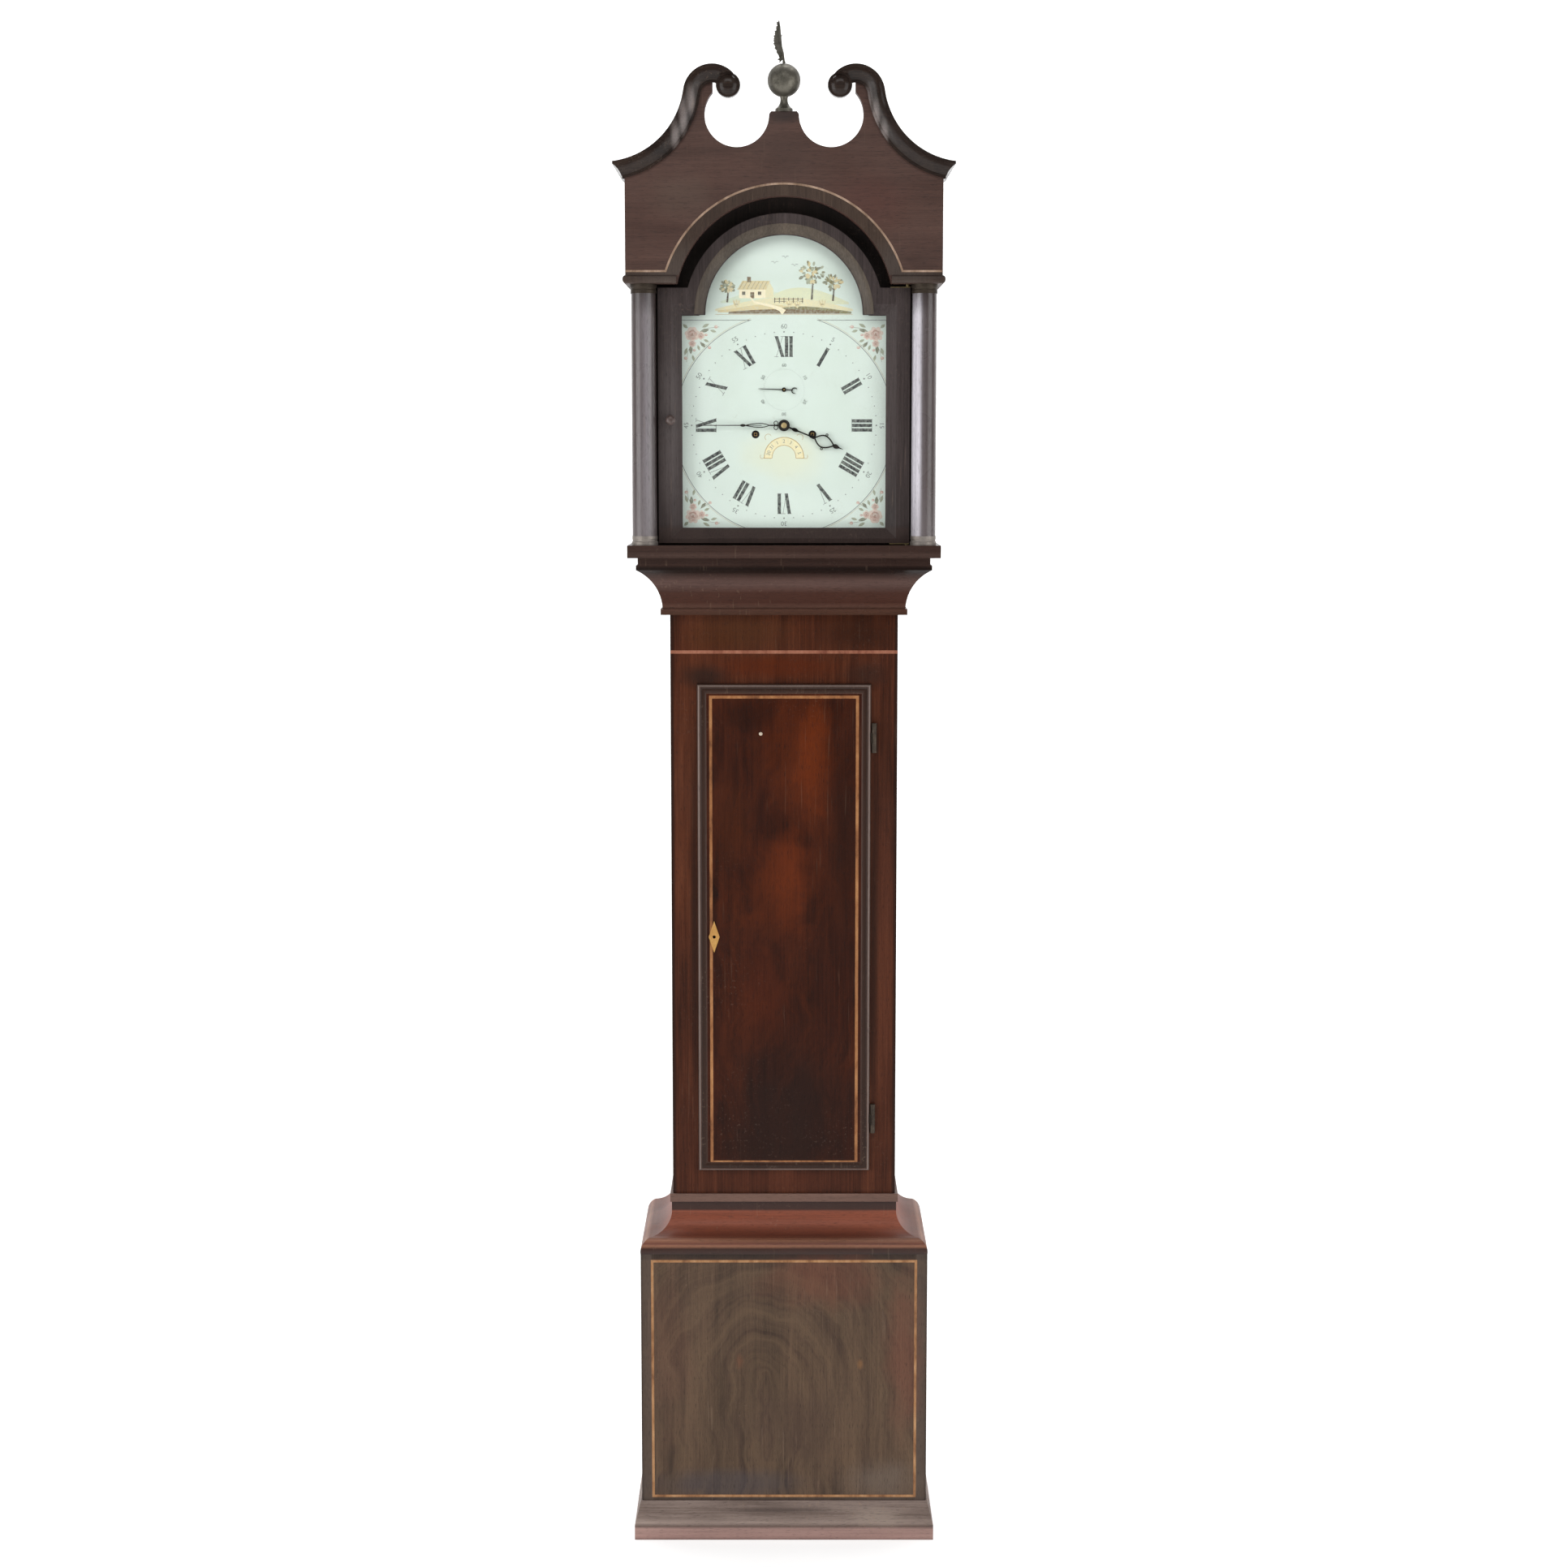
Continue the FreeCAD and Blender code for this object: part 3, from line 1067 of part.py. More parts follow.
def make_barrel(name, at):
    """Line barrel with its flanges, arbor and winding square."""
    x, z = at
    start = gap_front + S.barrel_start
    end = start + S.barrel_length
    drum = bar_y(x, z, start, end, S.barrel_radius)
    rims = [bar_y(x, z, start, start + S.flange_thick, S.barrel_flange),
            bar_y(x, z, end - S.flange_thick, end, S.barrel_flange)]
    square_front = plate_front - S.dial_to_plate + S.hand_gap
    square_back = square_front + S.square_length
    shaft = bar_y(x, z, square_back, gap_back - S.swing_fit, S.barrel_arbor)
    pivot = bar_y(x, z, end, plates_back, S.barrel_pivot)
    side = S.square_side / 2
    square = block((x - side, x + side), (square_front, square_back), (z - side, z + side))
    node(name, shaped(name + "_turned", drum.fuse(rims + [shaft, pivot, square]).removeSplitter()))


def make_great_wheel(name, at, teeth, module, mate):
    """Great wheel riding loose on the barrel's arbor, with a hub against the barrel."""
    front = gap_front + S.great_place
    blank = wheel(at, teeth, module, bearing(at, mate), front, S.great_thick)
    hub = bar_y(at[0], at[1], front, gap_front + S.barrel_start - S.swing_fit, S.hub_radius)
    bore = bar_y(at[0], at[1], front - 1, gap_back, S.barrel_arbor + S.pivot_clear)
    node(name, shaped(name + "_cut", blank.fuse(hub).cut(bore)))


def pinion_front(place, thick):
    """Front of a pinion centred on the wheel that drives it."""
    return gap_front + place + thick / 2 - S.pinion_length / 2


def make_going_train():
    make_barrel("going_barrel", going_at)
    make_great_wheel("going_great_wheel", going_at, S.great_teeth, great_module, centre_at)

    pieces = [pinion(centre_at, S.pinion_leaves, great_module, bearing(centre_at, going_at),
                     pinion_front(S.great_place, S.great_thick), S.pinion_length),
              wheel(centre_at, S.centre_teeth, centre_module, bearing(centre_at, third_at),
                    gap_front + S.centre_place, S.wheel_thick),
              bar_y(centre_at[0], centre_at[1], minute_front - S.hand_gap, gap_front,
                    S.arbor_radius)]
    centre = arbor(centre_at).fuse(pieces).removeSplitter()
    node("centre_wheel", shaped("centre", Part.makeCompound([centre, make_cannon()])))

    pieces = [pinion(third_at, S.pinion_leaves, centre_module, bearing(third_at, centre_at),
                     pinion_front(S.centre_place, S.wheel_thick), S.pinion_length),
              wheel(third_at, S.third_teeth, third_module, bearing(third_at, escape_at),
                    gap_front + S.third_place, S.wheel_thick)]
    node("third_wheel", shaped("third", arbor(third_at).fuse(pieces).removeSplitter()))

    pieces = [pinion(escape_at, S.escape_leaves, third_module, bearing(escape_at, third_at),
                     pinion_front(S.third_place, S.wheel_thick), S.pinion_length),
              escape_blank(),
              bar_y(escape_at[0], escape_at[1], dial_front - S.hand_gap - S.hand_thick, gap_front,
                    S.seconds_arbor)]
    node("escape_wheel", shaped("escape", arbor(escape_at).fuse(pieces).removeSplitter()))


def escape_blank():
    """Recoil escape wheel: pointed teeth that lean forwards."""
    teeth = int(round(float(S.escape_teeth)))
    step = 2 * math.pi / teeth
    tip = float(S.escape_radius)
    ring = [(0, tip * 0.82), (0.12, tip), (0.22, tip), (0.75, tip * 0.82)]
    front = gap_front + S.escape_place
    corners = []
    for n in range(teeth):
        for turn, radius in ring:
            angle = -(n + turn) * step
            corners.append(point(float(escape_at[0]) + radius * math.cos(angle), front,
                                 float(escape_at[1]) + radius * math.sin(angle)))
    return Part.Face(Part.makePolygon(corners + corners[:1])).extrude(point(0, S.wheel_thick, 0))


def make_anchor():
    """Anchor, its arbor, and the crutch that reaches down to fork the pendulum rod."""
    x, z = pallet_at
    gap = S.pallet_rise - S.seconds_rise
    front = gap_front + S.escape_place - (S.anchor_thick - S.wheel_thick) / 2
    wide = S.anchor_width
    reach = S.anchor_span
    left = [(0, wide), (-reach, reach - gap + wide * 1.2), (-reach - wide / 4, reach - gap),
            (-reach + wide, reach - gap + wide), (0, -wide)]
    right = [(-u, h) for u, h in reversed(left[1:-1])]
    outline = [(x + u, z + h) for u, h in left + right]
    anchor = flat_piece(outline[0], outline[1:], front, front + S.anchor_thick)
    cock_front = plates_back + S.cock_reach
    shaft = bar_y(x, z, gap_front + S.swing_fit, cock_front - S.swing_fit, S.arbor_radius)
    pivots = bar_y(x, z, plate_front, cock_front + S.cock_thick, S.pivot_pin)

    crutch_front = plates_back + S.cock_reach / 3
    crutch_back = crutch_front + S.crutch_width
    half = S.crutch_width / 2
    foot = z - S.crutch_length
    stem = block((x - half, x + half), (crutch_front, crutch_back), (foot, z))
    inner = S.rod_radius + S.swing_fit
    outer = inner + S.crutch_width
    prong_back = rod_y + S.rod_radius * 2
    bridge = block((x - outer, x + outer), (crutch_front, rod_y - S.rod_radius * 2),
                   (foot, foot + S.crutch_width))
    prongs = [block(sorted((x + side * inner, x + side * outer), key=float),
                    (rod_y - S.rod_radius * 2, prong_back), (foot, foot + S.crutch_width))
              for side in (-1, 1)]
    node("anchor_crutch", shaped("anchor", shaft.fuse([pivots, anchor, stem, bridge] + prongs)))


def make_cock():
    """Bracket behind the back plate: rear bearing of the anchor and hanger of the pendulum."""
    x, z = pallet_at
    front = plates_back + S.cock_reach
    half = S.cock_width / 2
    foot = z - S.cock_height / 3
    top = foot + S.cock_height
    bridge = block((x - half, x + half), (front, front + S.cock_thick), (foot, top))
    legs = [block(sorted((x + side * (half - S.cock_leg), x + side * half), key=float),
                  (plates_back, front), (foot, top)) for side in (-1, 1)]
    arm = block((x - S.cock_arm, x + S.cock_arm), (front + S.cock_thick, rod_y + S.spring_width),
                (z, top))
    bearing_hole = bar_y(x, z, front, front + S.cock_thick, S.pivot_pin + S.pivot_clear)
    node("pendulum_cock", shaped("cock", bridge.fuse(legs + [arm]).cut(bearing_hole)))


def make_pendulum():
    x, z = pallet_at
    bob_z = z - S.pendulum_length
    nut_top = bob_z - S.bob_radius
    nut_foot = nut_top - S.nut_height
    spring = block((x - S.spring_thick / 2, x + S.spring_thick / 2),
                   (rod_y - S.spring_width / 2, rod_y + S.spring_width / 2),
                   (z - S.spring_length, z - S.swing_fit))
    stem = Part.makeCylinder(float(S.rod_radius), float(z - S.spring_length - nut_foot + S.thread_length),
                             point(x, rod_y, nut_foot - S.thread_length))
    node("pendulum_rod", shaped("pendulum", spring.fuse(stem)))

    half = S.bob_thick / 2
    edge = S.bob_edge / 2
    profile = [(0, -half), ((S.bob_radius * 0.55, -half * 0.8), (S.bob_radius, -edge)),
               (S.bob_radius, edge), ((S.bob_radius * 0.55, half * 0.8), (0, half))]
    face = Part.Face(outline_wire(profile[0], profile[1:], lambda r, p: point(
        float(x) + float(r), float(rod_y) + float(p), bob_z)))
    lens = face.revolve(point(x, rod_y, bob_z), FreeCAD.Vector(0, 1, 0), 360)
    bore = Part.makeCylinder(float(S.rod_radius + S.pivot_clear), float(S.bob_radius) * 3,
                             point(x, rod_y, bob_z - S.bob_radius * 1.5))
    node("pendulum_bob", shaped("bob", lens.cut(bore)))

    blank = rod("nut_blank", "Z", (x, rod_y, nut_foot), S.nut_height, S.nut_radius)
    hole = rod("nut_bore", "Z", (x, rod_y, nut_foot), S.nut_height, S.rod_radius + S.pivot_clear)
    node("rating_nut", cut("nut", blank, hole))


# Hands, one in front of the other
seconds_front = dial_front - S.hand_gap - S.hand_thick
hour_front = seconds_front - S.hand_gap - S.hand_thick
minute_front = hour_front - S.hand_gap - S.hand_thick


def hand(at, length, tail, boss, bore, angle, front):
    """A slim hand: tapered blade with a leaf near its tip, boss and optional tail."""
    turn = math.radians(float(angle))
    length, tail, boss = float(length), float(tail), float(boss)
    side = [(0.0, boss * 0.32), (0.55, boss * 0.2), (0.66, boss * 0.55), (0.74, boss * 0.5)]
    right = [(length * share, wide) for share, wide in side]
    outline = [(-tail, -boss * 0.2), (-tail, boss * 0.2)] + right + [(length, 0)]
    outline += [(along, -wide) for along, wide in reversed(right)]
    corners = [point(float(at[0]) + u * math.sin(turn) + v * math.cos(turn), front,
                     float(at[1]) + u * math.cos(turn) - v * math.sin(turn)) for u, v in outline]
    blade = Part.Face(Part.makePolygon(corners + corners[:1])).extrude(point(0, S.hand_thick, 0))
    disc = bar_y(at[0], at[1], front, front + S.hand_thick, boss)
    hole = bar_y(at[0], at[1], front, front + S.hand_thick, bore)
    return blade.fuse(disc).cut(hole).removeSplitter()


def make_hands():
    node("minute_hand", shaped("minute", hand(centre_at, S.minute_hand, 0, S.hour_pipe * 1.3,
                                              S.cannon_pipe, S.minute_angle, minute_front)))
    node("hour_hand", shaped("hour", hand(centre_at, S.hour_hand, 0, S.hour_pipe * 1.8, S.hour_pipe,
                                          S.hour_angle, hour_front)))
    node("seconds_hand", shaped("seconds", hand(escape_at, S.seconds_hand, S.seconds_tail,
                                                S.hour_pipe * 0.8, S.seconds_arbor, S.seconds_angle,
                                                seconds_front)))


def make_cannon():
    """Cannon wheel with the pipe that carries the minute hand."""
    front = plate_front - S.cannon_place - S.wheel_thick
    blank = wheel(centre_at, S.motion_teeth, float(S.motion_module), bearing(centre_at, stud_at),
                  front, S.wheel_thick)
    pipe = bar_y(centre_at[0], centre_at[1], minute_front, front + S.wheel_thick, S.cannon_pipe)
    bore = bar_y(centre_at[0], centre_at[1], minute_front - 1, plate_front, S.arbor_radius + S.pivot_clear)
    return blank.fuse(pipe).cut(bore).removeSplitter()


def make_motion_work():
    front = plate_front - S.cannon_place - S.wheel_thick
    hour_wheel_front = plate_front - S.hour_place - S.wheel_thick
    blank = toothed(stud_at, S.motion_teeth, float(S.motion_module), WHEEL_TOOTH, WHEEL_TIP,
                    WHEEL_TIP + ROOT_ROOM, bearing(stud_at, centre_at), front, S.wheel_thick, True)
    leaf_front = hour_wheel_front - S.wheel_thick / 2
    leaves = pinion(stud_at, S.hour_leaves, hour_module, bearing(stud_at, centre_at), leaf_front,
                    front - leaf_front, MOTION_TIP)
    bore = bar_y(stud_at[0], stud_at[1], leaf_front - 1, plate_front, S.stud_radius + S.pivot_clear)
    node("minute_wheel", shaped("minute_work", blank.fuse(leaves).cut(bore).removeSplitter()))

    blank = wheel(centre_at, S.hour_teeth, hour_module, bearing(centre_at, stud_at), hour_wheel_front,
                  S.wheel_thick, MOTION_TIP)
    pipe = bar_y(centre_at[0], centre_at[1], hour_front, hour_wheel_front + S.wheel_thick, S.hour_pipe)
    bore = bar_y(centre_at[0], centre_at[1], hour_front - 1, plate_front, S.cannon_pipe + S.pivot_clear)
    node("hour_wheel", shaped("hour_work", blank.fuse(pipe).cut(bore).removeSplitter()))


def make_strike_train():
    make_barrel("strike_barrel", strike_at)
    make_great_wheel("strike_great_wheel", strike_at, S.strike_teeth, strike_module, pin_wheel_at)

    front = gap_front + S.centre_place
    pieces = [pinion(pin_wheel_at, S.pinion_leaves, strike_module, bearing(pin_wheel_at, strike_at),
                     pinion_front(S.great_place, S.great_thick), S.pinion_length),
              wheel(pin_wheel_at, S.pin_wheel_teeth, float(S.pin_wheel_module), 90, front,
                    S.wheel_thick)]
    count = int(round(float(S.lift_pins)))
    for n in range(count):
        x, z = on_circle(pin_wheel_at[0], pin_wheel_at[1], S.lift_circle, 360 * n / count)
        pieces.append(bar_y(x, z, front, front + S.wheel_thick * 3, S.pivot_pin))
    node("pin_wheel", shaped("lifting_wheel", arbor(pin_wheel_at).fuse(pieces).removeSplitter()))

    bell_z = dial_level + S.bell_rise
    bell_x = -S.bell_x
    head_z = bell_z + S.hammer_over
    nearest = S.hammer_over - S.hammer_head
    rim = root(S.bell_radius * S.bell_radius - nearest * nearest)
    head_right = bell_x - rim - S.hammer_gap
    head_x = head_right - S.hammer_head_length / 2
    head = Part.makeCylinder(float(S.hammer_head), float(S.hammer_head_length),
                             point(head_right - S.hammer_head_length, line_y, head_z),
                             FreeCAD.Vector(1, 0, 0))
    foot = point(hammer_at[0], line_y, hammer_at[1])
    rise = point(head_x, line_y, head_z) - foot
    stem = Part.makeCylinder(float(S.hammer_rod), rise.Length, foot, rise)
    tail_y = front + S.wheel_thick * 2
    tail_foot = point(hammer_at[0], tail_y, hammer_at[1])
    aim = point(pin_wheel_at[0], tail_y, pin_wheel_at[1]) - tail_foot
    tail_length = aim.Length - float(S.lift_circle + S.tail_clear)
    tail = Part.makeCylinder(float(S.hammer_rod), tail_length, tail_foot, aim)
    node("hammer", shaped("bell_hammer", arbor(hammer_at).fuse([head, stem, tail]).removeSplitter()))
    make_bell(bell_x, bell_z)


def make_bell(x, z):
    """Turned bell hung under an arm from a post on the back plate."""
    inner = S.bell_radius - S.bell_wall
    diagonal = math.sqrt(0.5)
    shell = turned([(S.bell_radius, z), ((S.bell_radius * diagonal, z + S.bell_radius * diagonal),
                                         (0, z + S.bell_radius)),
                    (0, z + inner), ((inner * diagonal, z + inner * diagonal), (inner, z))], x, line_y)
    top = z + S.bell_radius
    hole = Part.makeCylinder(float(S.bell_stem + S.pivot_clear), float(S.bell_radius),
                             point(x, line_y, z + inner / 2))
    half = S.bell_post / 2
    post = block((x - half, x + half), (plates_back, plates_back + half),
                 (plate_top - S.bell_radius, top + S.bell_arm * 2))
    arm = block((x - half, x + half), (line_y - half, plates_back + half),
                (top + S.bell_arm, top + S.bell_arm * 2))
    collar = Part.makeCylinder(float(S.bell_stem) * 2, float(S.bell_arm), point(x, line_y, top))
    stem = Part.makeCylinder(float(S.bell_stem), float(S.bell_arm + S.bell_wall * 3),
                             point(x, line_y, top - S.bell_wall * 3))
    node("bell_and_stand", shaped("bell", Part.makeCompound(
        [shell.cut(hole), post.fuse([arm, collar, stem]).removeSplitter()])))


def make_weight(name, at):
    """Lead weight under its pulley stirrup, the pulley, and the gut line that carries them."""
    x = at[0]
    y = line_y
    top = S.weight_bottom + S.weight_length
    axle_z = top + S.pulley_rise
    lead = Part.makeCylinder(float(S.weight_radius), float(S.weight_length), point(x, y, S.weight_bottom))
    inner = S.pulley_thick / 2 + S.line_fit
    outer = inner + S.stirrup_thick
    wide = S.stirrup_width / 2
    foot_level = top + S.stirrup_foot
    stem = Part.makeCylinder(float(S.stirrup_thick), float(S.stirrup_foot), point(x, y, top))
    foot = block((x - wide, x + wide), (y - outer, y + outer), (foot_level, foot_level + S.stirrup_thick))
    cheeks = [block((x - wide, x + wide), sorted((y + side * inner, y + side * outer), key=float),
                    (foot_level, axle_z + wide)) for side in (-1, 1)]
    axle = bar_y(x, axle_z, y - outer, y + outer, S.axle_radius)
    hanger = lead.fuse([stem, foot, axle] + cheeks).removeSplitter()
    loop = Part.makeTorus(float(line_offset), float(S.line_radius), point(x, y, axle_z),
                          FreeCAD.Vector(0, 1, 0))
    below = block((x - line_offset * 2, x + line_offset * 2), (y - outer, y + outer),
                  (axle_z - line_offset * 2, axle_z))
    node(name + "_weight", shaped(name + "_lead", Part.makeCompound([hanger, loop.common(below)])))

    half = S.pulley_thick / 2
    groove = S.pulley_groove / 2
    flanges = [bar_y(x, axle_z, y - half, y - groove, S.pulley_flange),
               bar_y(x, axle_z, y + groove, y + half, S.pulley_flange)]
    drum = bar_y(x, axle_z, y - half, y + half, S.pulley_radius)
    bore = bar_y(x, axle_z, y - half, y + half, S.axle_radius + S.pivot_clear)
    node(name + "_pulley", shaped(name + "_sheave", drum.fuse(flanges).cut(bore).removeSplitter()))

    strands = [rod("%s_strand_%d" % (name, side + 1), "Z", (x + side * line_offset, y, axle_z),
                   seat_top - axle_z, S.line_radius) for side in (-1, 1)]
    node(name + "_line", group(name + "_strands", *strands))


def make_line_leads():
    """Short leads of both lines, from the seatboard up to the side of each barrel."""
    leads = [rod("lead_%d" % n, "Z", (at[0] - line_offset, line_y, seat_top), at[1] - seat_top,
                 S.line_radius) for n, at in enumerate((going_at, strike_at))]
    node("line_leads", group("leads", *leads))


def write_parts():
    """Check every object of the document, then write each sub-part."""
    doc.recompute()
    for item in doc.Objects:
        if "Invalid" in item.State or "Error" in item.State:
            raise RuntimeError("%s did not build: %s" % (item.Label, item.State))
    for name, item in parts.items():
        if item.Shape.isNull() or not item.Shape.isValid() or not item.Shape.Solids:
            raise RuntimeError("%s has no valid solid" % name)
    os.makedirs("parts", exist_ok=True)
    for name, item in parts.items():
        item.Shape.exportStep("parts/%s.step" % name)
    print("%d sub-parts" % len(parts))


make_backboard()
make_base()
make_trunk()
make_trunk_door()
make_hood_carcase()
make_tympanum()
make_pediment()
make_columns()
make_finial()
make_hood_door()
make_movement_frame()
make_dial()
make_going_train()
make_anchor()
make_cock()
make_pendulum()
make_hands()
make_motion_work()
make_strike_train()
make_weight("going", going_at)
make_weight("strike", strike_at)
make_line_leads()
write_parts()
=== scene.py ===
"""Longcase clock: finishes, inlay, painted dial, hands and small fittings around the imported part.

Lengths are in millimetres until a mesh is made, and the front of the clock faces -Y.
"""

import json
import math

import bmesh
import bpy
import numpy as np
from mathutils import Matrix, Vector


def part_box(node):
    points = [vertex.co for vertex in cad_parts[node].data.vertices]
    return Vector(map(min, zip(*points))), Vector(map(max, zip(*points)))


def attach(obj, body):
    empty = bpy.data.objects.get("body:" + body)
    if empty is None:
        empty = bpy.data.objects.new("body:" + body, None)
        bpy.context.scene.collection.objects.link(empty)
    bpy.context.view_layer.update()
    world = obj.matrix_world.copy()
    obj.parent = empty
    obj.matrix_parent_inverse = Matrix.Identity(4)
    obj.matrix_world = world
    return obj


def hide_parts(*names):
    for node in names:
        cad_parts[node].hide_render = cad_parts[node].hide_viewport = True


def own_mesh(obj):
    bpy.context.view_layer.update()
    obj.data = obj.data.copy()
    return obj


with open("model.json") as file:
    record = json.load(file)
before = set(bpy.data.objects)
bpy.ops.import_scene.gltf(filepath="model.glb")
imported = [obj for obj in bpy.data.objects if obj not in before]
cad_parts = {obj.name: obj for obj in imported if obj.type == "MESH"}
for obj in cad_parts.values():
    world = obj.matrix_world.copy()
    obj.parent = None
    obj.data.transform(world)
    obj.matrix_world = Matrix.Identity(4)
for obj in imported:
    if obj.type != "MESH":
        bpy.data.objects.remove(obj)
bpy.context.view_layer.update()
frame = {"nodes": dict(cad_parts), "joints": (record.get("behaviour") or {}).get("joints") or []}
NODES = frame["nodes"]
MM = 0.001
TURN = 2 * math.pi
CREASE = math.radians(35)


def low(node, axis):
    """Lowest coordinate of a CAD node along an axis, 0 to 2, in millimetres."""
    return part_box(node)[0][axis] / MM


def high(node, axis):
    """Highest coordinate of a CAD node along an axis, 0 to 2, in millimetres."""
    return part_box(node)[1][axis] / MM


# Places taken from the frame.
JOINTS = {joint["name"]: joint for joint in frame["joints"]}
DIAL_Z = JOINTS["centre_turn"]["pos_m"][2] / MM
SECONDS_Z = JOINTS["escape_turn"]["pos_m"][2] / MM
WINDING_X = JOINTS["going_barrel_turn"]["pos_m"][0] / MM
WINDING_Z = JOINTS["going_barrel_turn"]["pos_m"][2] / MM
DIAL_FRONT = low("dial_plate", 1)
HOOD_FRONT = low("hood_tympanum", 1)
TRUNK_FRONT = low("trunk_front_frame", 1)
DOOR_FRONT = low("trunk_door_panel", 1)
BASE_FRONT = low("base_front_panel", 1)


# Mesh helpers

def grid_faces(rows, columns, close_rows=False, close_columns=False):
    """Quads between neighbours of a grid of points counted row by row; a closed way wraps round."""
    i, j = np.meshgrid(np.arange(rows - (not close_rows)), np.arange(columns - (not close_columns)),
                       indexing="ij")
    below = (i + 1) % rows
    beside = (j + 1) % columns
    quads = np.stack([i * columns + j, i * columns + beside, below * columns + beside,
                      below * columns + j], axis=-1)
    return quads.reshape(-1, 4).tolist()


def tube_faces(rows, columns):
    """Faces of a grid whose rows are rings, with its first and last rows closed by flat ends."""
    ends = [list(range(columns))[::-1], list(range((rows - 1) * columns, rows * columns))]
    return grid_faces(rows, columns, False, True) + ends


def plate_faces(count):
    """Faces of a plate given by count points round its front and then as many round its back."""
    ring = np.arange(count)
    after = (ring + 1) % count
    sides = np.stack([ring, ring + count, after + count, after], axis=1).tolist()
    return [ring.tolist(), (ring[::-1] + count).tolist()] + sides


def put_in_scene(name, data):
    """A new object of the scene, at the origin."""
    made = bpy.data.objects.new(name, data)
    bpy.context.scene.collection.objects.link(made)
    return made


def add_piece(name, points, faces, finish, body, slot, stands_for=(), smooth=True, paint=None):
    """One mesh object at the origin from points in millimetres, with its finish and body; the slot is not
    used.
    """
    mesh = bpy.data.meshes.new(name)
    mesh.from_pydata((np.asarray(points, float) * MM).tolist(), [], faces)
    mesh.validate()
    if paint is not None:
        layer = mesh.color_attributes.new("paint", "FLOAT_COLOR", "POINT")
        layer.data.foreach_set("color", np.asarray(paint, np.float32).ravel())
    shell = bmesh.new()
    shell.from_mesh(mesh)
    bmesh.ops.recalc_face_normals(shell, faces=shell.faces)
    shell.to_mesh(mesh)
    shell.free()
    mesh.polygons.foreach_set("use_smooth", np.full(len(mesh.polygons), smooth))
    mesh.set_sharp_from_angle(angle=CREASE)
    mesh.materials.append(finish)
    piece = put_in_scene(name, mesh)
    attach(piece, body)
    if stands_for:
        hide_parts(*stands_for)
    return piece


class Shape:
    """Points, faces and colours of several closed surfaces that make up one piece."""

    def __init__(self):
        self.points = []
        self.faces = []
        self.paint = []
        self.count = 0

    def add(self, points, faces, colour=(1, 1, 1, 1)):
        """Takes in one closed surface, all of one colour."""
        points = np.asarray(points, float).reshape(-1, 3)
        self.faces += [[corner + self.count for corner in face] for face in faces]
        self.points.append(points)
        self.paint.append(np.tile(colour, (len(points), 1)))
        self.count += len(points)

    def piece(self, name, finish, body, slot, **more):
        """Makes the piece from what was taken in."""
        return add_piece(name, np.concatenate(self.points), self.faces, finish, body, slot,
                         paint=np.concatenate(self.paint), **more)


def sweep(section, path, across, out, closed=False):
    """A closed section carried along a path: point = path + u across + v out, for each (u, v) of it.

    An open path gets a flat cap at each end.
    """
    section = np.asarray(section, float)
    path = np.asarray(path, float)
    across = np.broadcast_to(np.asarray(across, float), path.shape)
    out = np.broadcast_to(np.asarray(out, float), path.shape)
    points = (path[:, None, :] + section[None, :, :1] * across[:, None, :]
              + section[None, :, 1:] * out[:, None, :])
    rows, columns = points.shape[:2]
    faces = grid_faces(rows, columns, True, True) if closed else tube_faces(rows, columns)
    return points.reshape(-1, 3), faces


def lathe(profile, steps):
    """A profile of (radius, height) turned round Z: x = r cos a, y = r sin a, with flat ends."""
    profile = np.asarray(profile, float)
    angle = np.linspace(0, TURN, steps, endpoint=False)
    points = np.stack([profile[:, :1] * np.cos(angle), profile[:, :1] * np.sin(angle),
                       np.repeat(profile[:, 1:], steps, axis=1)], axis=-1)
    return points.reshape(-1, 3), tube_faces(len(profile), steps)


def turned(profile, steps, x, front, z):
    """A lathe's profile with its axis to the front: heights run forward from y = front, about (x, z)."""
    points, faces = lathe(profile, steps)
    return np.stack([x + points[:, 0], front - points[:, 2], z + points[:, 1]], axis=1), faces


def prism(outline, front, back):
    """A flat plate standing upright: the outline of (x, z) points at y = front and again at y = back."""
    outline = np.asarray(outline, float)
    count = len(outline)
    sheet = np.stack([outline[:, 0], np.zeros(count), outline[:, 1]], axis=1)
    return np.concatenate([sheet + [0, front, 0], sheet + [0, back, 0]]), plate_faces(count)


def arc(x, z, radius, start, end, steps=24):
    """Points of a round arc about (x, z); angles in degrees, anticlockwise from +X."""
    angle = np.radians(np.linspace(start, end, steps))
    return np.stack([x + radius * np.cos(angle), z + radius * np.sin(angle)], axis=1)


def swing(flat, angle, x=0.0, z=0.0):
    """Points (u, v) turned anticlockwise by an angle in radians and then moved to (x, z)."""
    u, v = np.asarray(flat, float).T
    return np.stack([x + u * math.cos(angle) - v * math.sin(angle),
                     z + u * math.sin(angle) + v * math.cos(angle)], axis=1)


def oval(x, z, wide, tall, lean=0.0, points=14):
    """Outline of an ellipse with half sizes wide and tall, turned anticlockwise by lean degrees."""
    angle = np.linspace(0, TURN, points, endpoint=False)
    return swing(np.stack([wide * np.cos(angle), tall * np.sin(angle)], axis=1), math.radians(lean), x, z)


def rectangle(left, foot, wide, tall):
    """Outline of a rectangle from its lower left corner."""
    return np.array([(left, foot), (left + wide, foot), (left + wide, foot + tall), (left, foot + tall)])


